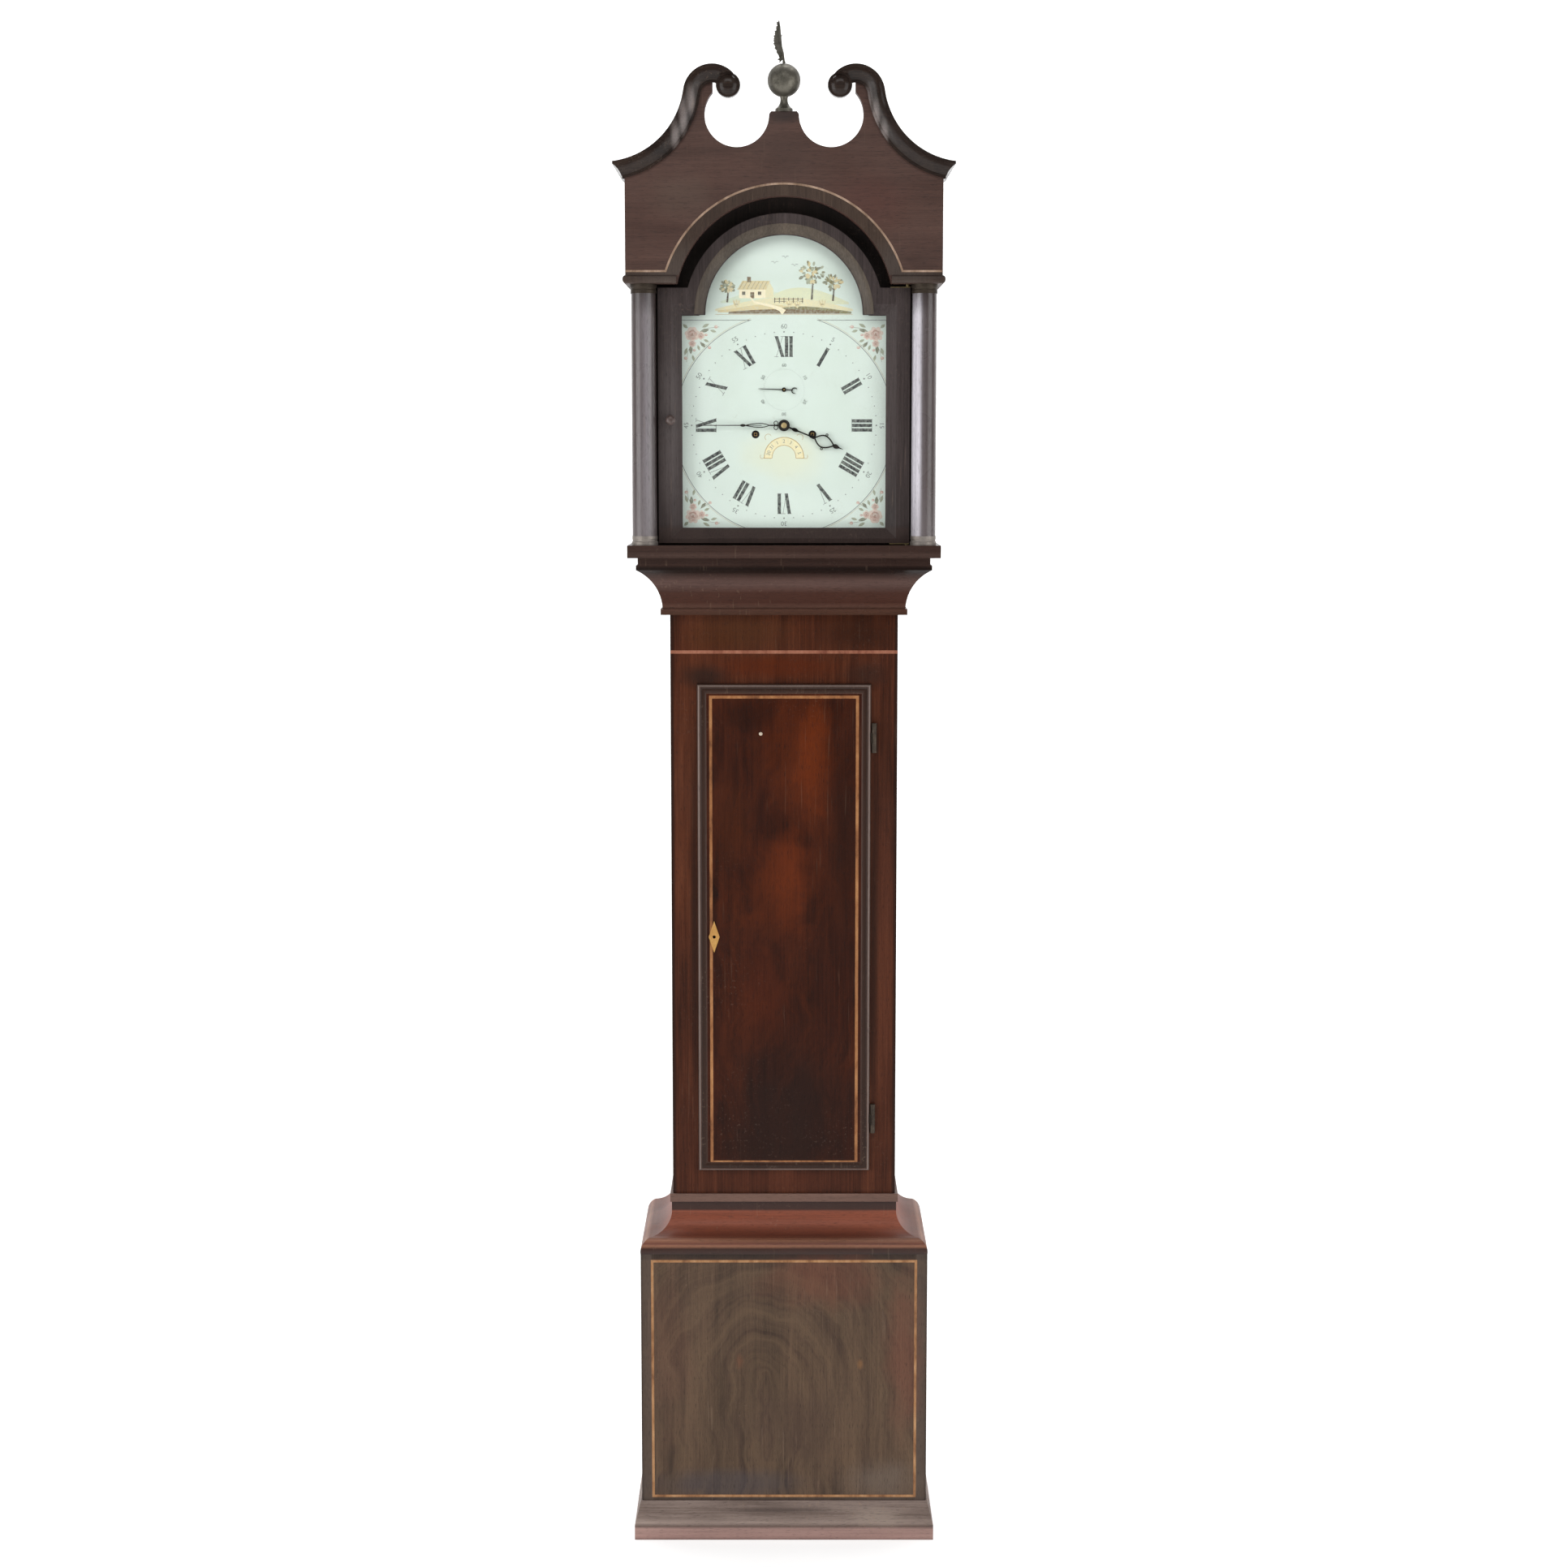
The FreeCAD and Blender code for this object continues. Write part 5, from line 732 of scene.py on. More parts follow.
trunk_wood = mahogany(
    "trunk_mahogany", (44, 22, 14), (74, 38, 24), (98, 54, 35), polish=0.34, coat=0.0, shine=0.1, bloom=0.02,
    scuff=0.05, scratch=0.05,
    bands=[("x", [(0, NEAR_BLACK, 0.0), (169, NEAR_BLACK, 0.0), (172, NEAR_BLACK, 0.8),
                  (176, NEAR_BLACK, 0.9)])],
    patches=front_patches(-49, 40, [
        (-15, 1384, 125, 30, 0.3, (84, 34, 12), 0.85), (-70, 1436, 130, 46, 0.4, (72, 42, 23), 0.8),
        (110, 1436, 96, 48, 0.4, (44, 24, 15), 0.8), (-125, 1368, 55, 28, 0.3, (36, 29, 26), 0.8),
        (128, 1370, 50, 30, 0.3, (40, 29, 25), 0.7)])
    # Painted shadow in narrow strips beside the door's lip on each side.
    + front_patches(-49, 30, [
        (-140, 970, 9, 430, 0.25, (40, 25, 20), 0.8), (141, 970, 11, 430, 0.25, (40, 25, 20), 0.8)])
    # Painted light: a paler patch on the right stile beside the lip.
    + front_patches(-49, 40, [
        (158, 970, 20, 420, 0.4, (90, 51, 37), 0.5), (0, 566, 150, 26, 0.3, (80, 41, 27), 0.6)]))
hood_side_wood = mahogany(
    "hood_side_mahogany", (48, 32, 26), (66, 45, 38), (84, 59, 50), swirl=1.6, polish=0.5, coat=0.04,
    shine=0.25, bloom=0.08)
side_wood = mahogany(
    "side_mahogany", (34, 18, 13), (58, 30, 20), (84, 46, 30), polish=0.5, coat=0.08, shine=0.3, bloom=0.06)
door_wood = mahogany(
    "door_mahogany", (34, 16, 10), (51, 23, 14), (66, 31, 18), swirl=2.4, polish=0.34, coat=0.0, shine=0.1,
    bloom=0.01, scratch=0.06, figure=(FLAME, (10, 0, 1180), (98, 44, 19), 0.36),
    patches=front_patches(-58, 40, [
        (24, 1240, 80, 150, 0.7, (98, 42, 16), 0.5), (44, 1250, 36, 130, 0.9, (122, 52, 18), 0.45),
        (6, 1070, 46, 110, 0.9, (118, 50, 20), 0.45), (-10, 1040, 80, 120, 0.8, (98, 43, 18), 0.5),
        (-30, 880, 50, 110, 0.8, (84, 36, 18), 0.45), (-85, 1140, 45, 110, 0.6, (84, 40, 18), 0.4),
        (96, 1120, 34, 240, 0.5, (36, 18, 12), 0.6), (0, 660, 150, 190, 0.6, (36, 23, 19), 0.9),
        (-60, 1310, 60, 36, 0.6, (34, 17, 12), 0.6)]))
lip_wood = mahogany(
    "lip_mahogany", (30, 20, 16), (48, 33, 26), (66, 46, 36), polish=0.32, coat=0.05, coat_haze=0.14,
    shine=0.14, scuff=0.2, bloom=0.04,
    # Painted highlight: a pale silvery line just inside the lip's outer edge, by distance from that edge.
    bands=[(LIP_FRAME, [(-15, (76, 49, 37), 0.9), (-12, (54, 35, 27), 0.9), (-6, (46, 29, 22), 0.9),
                        (-4.5, (84, 58, 46), 0.9), (-3, (150, 136, 130), 0.95), (-1.2, (96, 74, 64), 0.9),
                        (0, (30, 20, 17), 0.9)])])
# Bands of height on the base moulding: painted shade, near black, under the nose and on the fascia below the
# top strip.
base_top_wood = mahogany(
    "base_moulding_mahogany", (56, 28, 20), (88, 42, 27), (116, 58, 36), grain="x", polish=0.48, coat=0.08,
    shine=0.35, bloom=0.06,
    bands=[("z", [(463, NEAR_BLACK, 0.95), (472, BASE_PAINTED_SHADE, 0.9), (476, BASE_EDGE, 0.8), (479, BASE_RED, 0.8),
                  (483, BASE_EDGE, 0.8), (487, BASE_RED, 0.8), (500, BASE_COVE, 0.85),
                  (519, BASE_COVE, 0.85), (522, BASE_PAINTED_SHADE, 0.9), (534, NEAR_BLACK, 0.9),
                  (536, BASE_STRIP, 0.85), (548, BASE_STRIP, 0.85)])])
base_wood = mahogany(
    "base_mahogany", (46, 33, 25), (71, 53, 41), (95, 73, 56), swirl=2.0, polish=0.55, coat=0.03, shine=0.2,
    scratch=0.12, scuff=0.12, bloom=0.08, figure=(CATHEDRAL, (-28, 0, 270), (110, 88, 66), 0.55),
    # Painted shadow along the panel's top edge, under the base moulding's nose.
    bands=[("z", [(40, (66, 55, 48), 0.8), (66, (66, 55, 48), 0.8), (69, GREY_BROWN, 0.0),
                  (452, GREY_BROWN, 0.0), (455, (50, 33, 26), 0.9), (458, SHADOW_BROWN, 0.95),
                  (463, NEAR_BLACK, 0.95)]),
           ("x", [(0, GREY_BROWN, 0.0), (206, GREY_BROWN, 0.0), (209, (84, 71, 63), 0.8),
                  (221, (78, 66, 58), 0.8), (225, (40, 32, 28), 0.9)])],
    patches=front_patches(-98, 40, [
        (60, 425, 120, 70, 0.9, (112, 58, 42), 0.45), (190, 300, 40, 170, 0.8, (116, 66, 52), 0.45),
        (-180, 300, 46, 190, 0.8, (104, 72, 56), 0.45), (-90, 88, 170, 34, 0.5, (66, 64, 70), 0.6),
        (150, 95, 80, 46, 0.8, (110, 98, 88), 0.55), (120, 285, 7, 12, 1.6, (150, 104, 62), 0.45),
        (-70, 290, 9, 16, 1.6, (124, 76, 52), 0.4), (10, 180, 120, 80, 1.0, (64, 46, 40), 0.4)]))
plinth_wood = mahogany(
    "plinth_mahogany", (82, 68, 61), (128, 111, 103), (170, 152, 142), grain="x", polish=0.6, coat=0.03,
    shine=0.25, scuff=0.6,
    bands=[("z", [(0, (132, 94, 88), 0.7), (6, (178, 138, 130), 0.8), (18, (172, 136, 127), 0.8),
                  (22, (84, 64, 58), 0.85), (28, (164, 146, 136), 0.7), (40, GREY_BROWN, 0.3),
                  (61, (122, 106, 98), 0.5)])],
    patches=front_patches(-103, 30, [(-10, 47, 130, 7, 0.4, (62, 50, 46), 0.75)])
    + front_patches(-106, 30, [(150, 36, 60, 20, 0.6, (158, 142, 130), 0.7)]))
crossband_wood = mahogany(
    "crossband_mahogany", (54, 42, 36), (66, 52, 44), (78, 63, 54), polish=0.5, coat=0.02, shine=0.2,
    bloom=0.05,
    patches=front_patches(-115, 60, [(-175, 1985, 75, 60, 0.3, (79, 69, 63), 0.85),
                                     (175, 1985, 75, 60, 0.3, (74, 65, 60), 0.85)]))
# Paler than the door frame: partly the bead's own wood, partly painted light that the arch's bevel catches
# from the dial.
bead_wood = mahogany(
    "arch_bead_mahogany", (56, 47, 38), (79, 69, 58), (100, 88, 74), polish=0.5, coat=0.1, shine=0.3)
knob_wood = mahogany(
    "knob_mahogany", (42, 31, 29), (66, 52, 48), (96, 78, 73), polish=0.36, coat=0.2, coat_haze=0.3)
pine = bare_pine()
frieze_line = stringing_wood("frieze_stringing", (112, 88, 70), (150, 124, 104), (186, 158, 138))
trunk_line = stringing_wood("trunk_stringing", (116, 64, 46), (146, 92, 70), (168, 112, 88))
door_line = stringing_wood("door_stringing", (104, 62, 34), (150, 98, 58), (178, 126, 80))
base_line = stringing_wood("base_stringing", (118, 78, 48), (158, 112, 72), (184, 140, 98))
lock_brass = metal("lock_brass", (226, 176, 104), (180, 126, 66), (92, 56, 30), 0.34, 0.6, 0.75)
hinge_brass = metal("hinge_brass", (84, 72, 60), (50, 42, 36), (26, 22, 20), 0.44, 0.8, 0.6)
old_brass = metal("old_brass", (150, 132, 92), (78, 72, 56), (34, 34, 28), 0.34, 0.9)
# Painted shade darkens the upper brasses and a painted reflection pales the lower ones.
cap_brass = metal("column_brass", (150, 134, 112), (92, 80, 66), (50, 42, 34), 0.42, 0.7, 0.7,
                  bands=[("z", [(1600, CAP_PAINTED_REFLECTION, 0.75), (1640, CAP_PAINTED_REFLECTION, 0.0), (1900, CAP_SHADE, 0.0),
                                (1930, CAP_SHADE, 0.92)])])
collet_brass = metal("collet_brass", (196, 176, 128), (140, 118, 78), (80, 66, 44), 0.3, 0.5)
nail_metal = metal("nail_brass", (214, 200, 180), (176, 158, 136), (110, 92, 72), 0.36, 0.5, 0.5)
dark_bronze = metal("finial_bronze", (112, 108, 98), (66, 63, 55), (34, 32, 27), 0.32, 0.8, 0.7)
clock_brass = metal("clock_brass", (204, 168, 96), (150, 112, 58), (84, 60, 30), 0.24, 0.5)
clock_steel = metal("clock_steel", (150, 150, 152), (92, 88, 84), (60, 48, 40), 0.26, 0.45)
hand_steel = metal("hand_steel", (44, 40, 34), (26, 24, 22), (12, 11, 10), 0.36, 0.6, 0.55)
weight_iron = metal("weight_iron", (58, 56, 54), (36, 34, 33), (96, 62, 44), 0.5, 0.8, 0.5)
enamel = dial_enamel()
paint = dial_paint()
glass = old_glass()
gut = gut_cord()

NODE_FINISHES = {
    frieze_wood: ["hood_tympanum"],
    hood_side_wood: ["hood_carcase"],
    neck_wood: ["pediment_mouldings", "scroll_bosses"],
    door_frame_wood: ["hood_door_frame"],
    column_wood: ["hood_columns"],
    moulding_wood: ["hood_base_moulding", "throat_moulding"],
    trunk_wood: ["trunk_front_frame"],
    side_wood: ["trunk_sides", "base_carcase"],
    door_wood: ["trunk_door_panel"],
    lip_wood: ["trunk_door_moulding"],
    base_top_wood: ["base_top_moulding"],
    base_wood: ["base_front_panel"],
    plinth_wood: ["plinth_moulding"],
    mask_wood: ["hood_mask"],
    pine: ["backboard", "seatboard"],
    old_brass: ["hood_door_pivots", "hood_door_knob"],
    lock_brass: ["escutcheon"],
    hinge_brass: ["trunk_hinge_case_leaves", "trunk_hinge_door_leaves"],
    cap_brass: ["column_brasses"],
    dark_bronze: ["finial_ball", "finial_ornament"],
    clock_brass: ["front_plate", "back_plate", "pendulum_cock", "bell_and_stand", "going_barrel",
                  "going_great_wheel", "centre_wheel", "third_wheel", "escape_wheel", "minute_wheel",
                  "hour_wheel", "strike_barrel", "strike_great_wheel", "pin_wheel", "going_pulley",
                  "strike_pulley", "pendulum_bob", "rating_nut"],
    clock_steel: ["anchor_crutch", "hammer", "pendulum_rod", "trunk_door_lock", "trunk_lock_bolt"],
    hand_steel: ["hour_hand", "minute_hand", "seconds_hand"],
    weight_iron: ["going_weight", "strike_weight"],
    enamel: ["dial_plate"],
    glass: ["hood_door_glass"],
    gut: ["going_line", "strike_line", "line_leads"],
}
for finish, names in NODE_FINISHES.items():
    for name in names:
        NODES[name].data.materials.clear()
        NODES[name].data.materials.append(finish)


# Inlay and bands

ARCH_Z = 1926.0
ARCH_RADIUS = 164.0
INLAY_WIDTH = 3.0
INLAY_PROUD = 0.12
FRIEZE_LINE_Z = 1980.0
FRIEZE_ARC_Z = 1922.0
FRIEZE_ARC_RADIUS = 186.0
FRIEZE_HALF = high("hood_tympanum", 0) - 0.5
TRUNK_LINE_Z = 1406.0
TRUNK_HALF = high("trunk_front_frame", 0) - 0.4
TRUNK_LINE_WIDTH = 5.0
DOOR_LINE = (113.5, 601.0, 1337.0)
DOOR_LINE_WIDTH = 4.6
BASE_LINE = (207.0, 68.0, 452.0)
BASE_LINE_WIDTH = 4.0
STRIP_FOOT = low("hood_tympanum", 2)
STRIP_TALL = 12.0
STRIP_PROUD = 4.0


def frieze_path(radius, level):
    """Line across the frieze at a level, broken by an arch of the radius about the frieze arc's centre."""
    rise = math.degrees(math.asin((level - FRIEZE_ARC_Z) / radius))
    bow = arc(0, FRIEZE_ARC_Z, radius, 180 - rise, rise, 72)
    return np.concatenate([[[-FRIEZE_HALF, level]], bow, [[FRIEZE_HALF, level]]])


def inlay_outline(path, width):
    """Outline of an inlaid line: its path moved half the width to each side, with mitred corners."""
    step = np.diff(path, axis=0)
    step /= np.linalg.norm(step, axis=1)[:, None]
    before = np.concatenate([step[:1], step])
    after = np.concatenate([step, step[-1:]])
    side = np.stack([-(before + after)[:, 1], (before + after)[:, 0]], axis=1)
    side /= np.sum(side * np.stack([-after[:, 1], after[:, 0]], axis=1), axis=1)[:, None]
    return np.concatenate([path + side * width / 2, (path - side * width / 2)[::-1]])


def box_line(name, half, foot, top, front, body, wide, finish):
    """A mitred rectangle of inlay: a square section carried round four corners."""
    corners = np.array([[-half, front, foot], [half, front, foot], [half, front, top], [-half, front, top]])
    across = np.sign(corners - [0, front, (foot + top) / 2]) * [1, 0, 1]
    section = np.array([[-1, -1], [1, -1], [1, 1], [-1, 1]]) * [wide / 2, INLAY_PROUD]
    points, faces = sweep(section, corners, across, (0, -1, 0), closed=True)
    add_piece(name, points, faces, finish, body, "case_mahogany", smooth=False)


def make_inlay():
    """Boxwood lines on the frieze, the trunk, the trunk door and the base."""
    frieze = prism(inlay_outline(frieze_path(FRIEZE_ARC_RADIUS, FRIEZE_LINE_Z), INLAY_WIDTH),
                   HOOD_FRONT - INLAY_PROUD * 2, HOOD_FRONT + INLAY_PROUD)
    add_piece("frieze_stringing", *frieze, frieze_line, "hood", "case_mahogany", smooth=False)
    line = np.array([[-TRUNK_HALF, TRUNK_LINE_Z], [TRUNK_HALF, TRUNK_LINE_Z]])
    trunk = prism(inlay_outline(line, TRUNK_LINE_WIDTH), TRUNK_FRONT - INLAY_PROUD, TRUNK_FRONT + INLAY_PROUD)
    add_piece("trunk_stringing", *trunk, trunk_line, "case", "case_mahogany", smooth=False)
    box_line("door_stringing", *DOOR_LINE, DOOR_FRONT, "trunk_door", DOOR_LINE_WIDTH, door_line)
    box_line("base_stringing", *BASE_LINE, BASE_FRONT, "case", BASE_LINE_WIDTH, base_line)


def make_frieze_band():
    """Crossband between the frieze line and the arch: the line's path, closed along the arch below."""
    upper = frieze_path(FRIEZE_ARC_RADIUS - INLAY_WIDTH / 2, FRIEZE_LINE_Z - INLAY_WIDTH / 2)
    foot = STRIP_FOOT + STRIP_TALL
    rise = math.degrees(math.asin((foot - ARCH_Z) / ARCH_RADIUS))
    lower = np.concatenate([[[FRIEZE_HALF, foot]], arc(0, ARCH_Z, ARCH_RADIUS + 0.3, rise, 180 - rise, 72),
                            [[-FRIEZE_HALF, foot]]])
    outline = np.concatenate([upper, lower])
    add_piece("frieze_crossband", *prism(outline, HOOD_FRONT - INLAY_PROUD, HOOD_FRONT + INLAY_PROUD),
              crossband_wood, "hood", "case_mahogany", smooth=False)


def make_frieze_strips():
    """Half-round strip at the frieze's foot: along the front beside the arch, and along both sides."""
    turn = np.radians(np.linspace(-90, 90, 9))
    section = np.stack([STRIP_PROUD * np.cos(turn), STRIP_TALL / 2 * np.sin(turn)], axis=1)
    level = STRIP_FOOT + STRIP_TALL / 2
    inner = math.sqrt(ARCH_RADIUS ** 2 - (STRIP_FOOT - ARCH_Z) ** 2) + 1.0
    back = high("hood_carcase", 1)
    edge = high("hood_tympanum", 0)
    shape = Shape()
    for side in (-1, 1):
        path = np.array([[side * inner, HOOD_FRONT, level], [side * edge, HOOD_FRONT, level],
                         [side * edge, back, level]])
        out = np.array([[0, -1, 0], [side, -1, 0], [side, 0, 0]])
        points, faces = sweep(section, path, out, (0, 0, 1))
        shape.add(points, faces)
    shape.piece("frieze_strips", crossband_wood, "hood", "case_mahogany")


make_inlay()
make_frieze_band()
make_frieze_strips()


# Painted dial

INK = tint(38, 40, 42)
FAINT_INK = tint(104, 112, 108)
GOLD = tint(176, 150, 92)
PAINT_COAT = 0.04
BRUSH_STEP = 0.002
CLOCKWISE = math.radians(30)
NUMERAL_FOOT = 103.0
NUMERAL_TALL = 31.0
MINUTE_FIGURES = 148.5
MINUTE_FIGURE_TALL = 7.0
MINUTE_DOTS = 140.5
SECONDS_FIGURES = 36.5
SECONDS_FIGURE_TALL = 5.0
SECONDS_DOTS = 31.0
FIGURE_SCALE = 1.4
SERIF = 3.2
STROKE_INSET = 2.4
BAR = 5.0
HAIR = 0.55
LETTER_WIDE = {"I": 6.8, "V": 14.5, "X": 14.5}
NUMERALS = ["XII", "I", "II", "III", "IIII", "V", "VI", "VII", "VIII", "IX", "X", "XI"]


class Painting(Shape):
    """Painted shapes about a point of the dial: thin plates, stacked one brush step apart by layer."""

    def __init__(self, centre_z):
        super().__init__()
        self.centre_z = centre_z
        self.coats = []

    def stroke(self, outline, colour, layer=1):
        """One shape from its outline of (x, z) points about the painting's centre."""
        outline = np.asarray(outline, float) + [0, self.centre_z]
        self.coats.append((layer, colour, lambda lift: prism(
            outline, DIAL_FRONT - lift, DIAL_FRONT + PAINT_COAT)))

    def line(self, path, width, colour, layer=1):
        """A brush line along a path."""
        self.stroke(band(path, width), colour, layer)

    def dab(self, x, z, wide, tall, colour, layer=1, lean=0.0, points=14):
        """An oval dab: (wide cos t, tall sin t) turned by lean degrees."""
        self.stroke(oval(x, z, wide, tall, lean, points), colour, layer)

    def figure(self, number, tall, radius, angle, rise=0.0, layer=1):
        """Plain figures of a height that stand on a circle about (0, rise), clockwise from noon."""
        points, faces = figure_mesh(str(number), tall)
        right, up = swing(points[:, :2] + [0, radius], -angle, 0, rise + self.centre_z).T
        self.coats.append((layer, FAINT_INK, lambda lift: (
            np.stack([right, DIAL_FRONT - points[:, 2] * lift, up], axis=1), faces)))

    def dry(self, name):
        """Lays the coats on, lowest layer first, and makes the piece."""
        for step, (layer, colour, shape) in enumerate(sorted(self.coats, key=lambda coat: coat[0])):
            self.add(*shape(PAINT_COAT + step * BRUSH_STEP), colour)
        self.piece(name, paint, "case", "painted_dial", smooth=False)


def figure_mesh(text, tall):
    """Points (right, up, depth -1 to 1) and faces of plain figures, cut from the built-in letter outlines."""
    curve = bpy.data.curves.new("figure", "FONT")
    curve.body = text
    curve.size = tall * FIGURE_SCALE
    curve.align_x = "CENTER"
    curve.align_y = "CENTER"
    curve.extrude = 1.0
    curve.resolution_u = 3
    letters = bpy.data.objects.new("figure", curve)
    mesh = bpy.data.meshes.new_from_object(letters)
    points = np.empty(len(mesh.vertices) * 3)
    mesh.vertices.foreach_get("co", points)
    faces = [list(face.vertices) for face in mesh.polygons]
    bpy.data.objects.remove(letters)
    bpy.data.curves.remove(curve)
    bpy.data.meshes.remove(mesh)
    return points.reshape(-1, 3), faces


def leaning_bar(head, foot, width):
    """Outline of a letter's stroke from x = head at the top to x = foot at the bottom, with level ends."""
    half = width / 2
    return np.array([[head - half, NUMERAL_TALL], [foot - half, 0], [foot + half, 0],
                     [head + half, NUMERAL_TALL]])


def letter_strokes(letter, x):
    """Strokes of one Roman letter that starts at x: thick and thin bars, with hair serifs."""
    wide = LETTER_WIDE[letter]
    left = x + STROKE_INSET
    right = x + wide - STROKE_INSET
    middle = x + wide / 2
    bars = {"I": [leaning_bar(middle, middle, BAR)],
            "V": [leaning_bar(left, middle, BAR), leaning_bar(right, middle, HAIR)],
            "X": [leaning_bar(left, right, BAR), leaning_bar(right, left, HAIR)]}[letter]
    ends = {"I": [(middle, 0), (middle, 1)], "V": [(left, 1), (right, 1)],
            "X": [(left, 0), (right, 0), (left, 1), (right, 1)]}[letter]
    for at, top in ends:
        level = top * (NUMERAL_TALL - HAIR)
        bars.append(rectangle(at - SERIF, level, 2 * SERIF, HAIR))
    return bars


def on_circle(radius, angle, rise=0.0):
    """Point at a clockwise angle from noon on a circle about (0, rise)."""
    return radius * math.sin(angle), rise + radius * math.cos(angle)


def make_numerals():
    """Hour numerals, minute dots and figures, and the seconds figures and dots."""
    art = Painting(DIAL_Z)
    for hour, word in enumerate(NUMERALS):
        x = -sum(LETTER_WIDE[letter] for letter in word) / 2
        for letter in word:
            for outline in letter_strokes(letter, x):
                art.stroke(swing(outline + [0, NUMERAL_FOOT], -hour * CLOCKWISE), INK)
            x += LETTER_WIDE[letter]
        art.figure(hour * 5 or 60, MINUTE_FIGURE_TALL, MINUTE_FIGURES, hour * CLOCKWISE)
    for minute in range(60):
        wide = 0.85 if minute % 5 else 1.3
        art.dab(*on_circle(MINUTE_DOTS, minute * TURN / 60), wide, wide, FAINT_INK, points=8)
    rise = SECONDS_Z - DIAL_Z
    for ten in range(6):
        art.figure(ten * 10 or 60, SECONDS_FIGURE_TALL, SECONDS_FIGURES, ten * TURN / 6, rise)
    for second in range(60):
        art.dab(*on_circle(SECONDS_DOTS, second * TURN / 60, rise), 0.4, 0.4, FAINT_INK, points=6)
    art.dry("dial_numerals")


ROSE_PINK = tint(217, 200, 187)
ROSE_MID = tint(197, 165, 152)
ROSE_DEEP = tint(162, 122, 110)
LEAF = tint(154, 160, 136)
LEAF_DARK = tint(122, 124, 104)
SPANDREL_RADIUS = 166.0
BORDER_HALF = 158.0
CORNER_LEAVES = ((127, 141, 14, 2.7, 168, LEAF_DARK), (124, 147, 12, 2.3, 152, LEAF),
                 (112, 143, 10, 2.0, 196, LEAF), (141, 121, 14, 2.7, -88, LEAF_DARK),
                 (147, 117, 12, 2.3, -72, LEAF), (139, 106, 10, 2.0, -106, LEAF),
                 (127, 125, 11, 2.4, 225, LEAF_DARK), (131, 121, 9, 2.0, 250, LEAF),
                 (122, 129, 9, 2.0, 204, LEAF), (146, 146, 9, 2.4, 40, LEAF))
CORNER_STEMS = ((128, 140, 98, 148), (140, 122, 148, 95), (128, 126, 112, 116))
CORNER_BUDS = ((103, 148, 2.8), (149, 101, 2.8), (113, 117, 2.6), (118, 136, 2.2), (136, 113, 2.2))
CORNER_ROSES = ((139, 137, 11.0), (126, 135, 6.0), (139, 123, 5.5))


def leaf(x, z, length, wide, lean):
    """Outline of a pointed leaf: its half width is wide sin(pi t) along its length."""
    t = np.linspace(0, 1, 9)
    half = wide * np.sin(math.pi * t)
    upper = np.stack([t * length, half], axis=1)
    return swing(np.concatenate([upper, (upper * [1, -1])[-2:0:-1]]), math.radians(lean), x, z)


def paint_rose(art, x, z, size, turn_x, turn_z):
    """A full rose: a ring of pale petals, a ring of darker ones, a deep heart and a pale curl."""
    for ring, count, reach, wide, colour in ((2, 7, 0.62, 0.46, ROSE_PINK), (3, 5, 0.34, 0.38, ROSE_MID)):
        for k in range(count):
            angle = TURN * k / count + ring
            art.dab(x + turn_x * size * reach * math.cos(angle), z + turn_z * size * reach * math.sin(angle),
                    size * wide, size * wide * 0.8, colour, ring, math.degrees(angle))
    art.dab(x, z, size * 0.3, size * 0.26, ROSE_DEEP, 4)
    art.line(arc(x, z, size * 0.48, 30, 150, 9), size * 0.1, ROSE_DEEP, 5)
    art.line(arc(x, z, size * 0.7, 200, 320, 9), size * 0.08, ROSE_MID, 5)
    art.line(arc(x, z, size * 0.22, -40, 200, 9), size * 0.09, ROSE_PINK, 5)


def paint_corner(art, turn_x, turn_z):
    """One spandrel: an arc and border lines, a rose, two buds, leaves and curled stems."""
    def spot(x, z):
        return turn_x * x, turn_z * z

    def lean(angle):
        turn = math.radians(angle)
        return math.degrees(math.atan2(turn_z * math.sin(turn), turn_x * math.cos(turn)))

    bow = arc(0, 0, SPANDREL_RADIUS, 17.5, 72.5, 30) * [turn_x, turn_z]
    art.line(bow, 0.9, FAINT_INK, 1)
    art.line(bow * 1.012, 0.4, GOLD, 1)
    art.line([spot(52, BORDER_HALF), spot(120, BORDER_HALF), spot(BORDER_HALF, BORDER_HALF)], 0.9, FAINT_INK)
    art.line([spot(BORDER_HALF, 50), spot(BORDER_HALF, BORDER_HALF)], 0.9, FAINT_INK)
    for x, z, length, wide, angle, colour in CORNER_LEAVES:
        art.stroke(leaf(*spot(x, z), length, wide, lean(angle)), colour, 2)
    for x, z, far_x, far_z in CORNER_STEMS:
        middle = spot((x + far_x) / 2 + 2, (z + far_z) / 2 + 2)
        art.line([spot(x, z), middle, spot(far_x, far_z)], 0.5, LEAF_DARK, 2)
    for x, z, size in CORNER_BUDS:
        art.dab(*spot(x, z), size, size * 0.85, ROSE_MID, 3)
        art.dab(*spot(x - 0.5, z + 0.6), size * 0.55, size * 0.4, ROSE_PINK, 4)
    for x, z, size in CORNER_ROSES:
        paint_rose(art, *spot(x, z), size, turn_x, turn_z)


def make_corners():
    """Roses in the four corners of the dial."""
    art = Painting(DIAL_Z)
    for turn_x in (-1, 1):
        for turn_z in (-1, 1):
            paint_corner(art, turn_x, turn_z)
    art.dry("dial_roses")


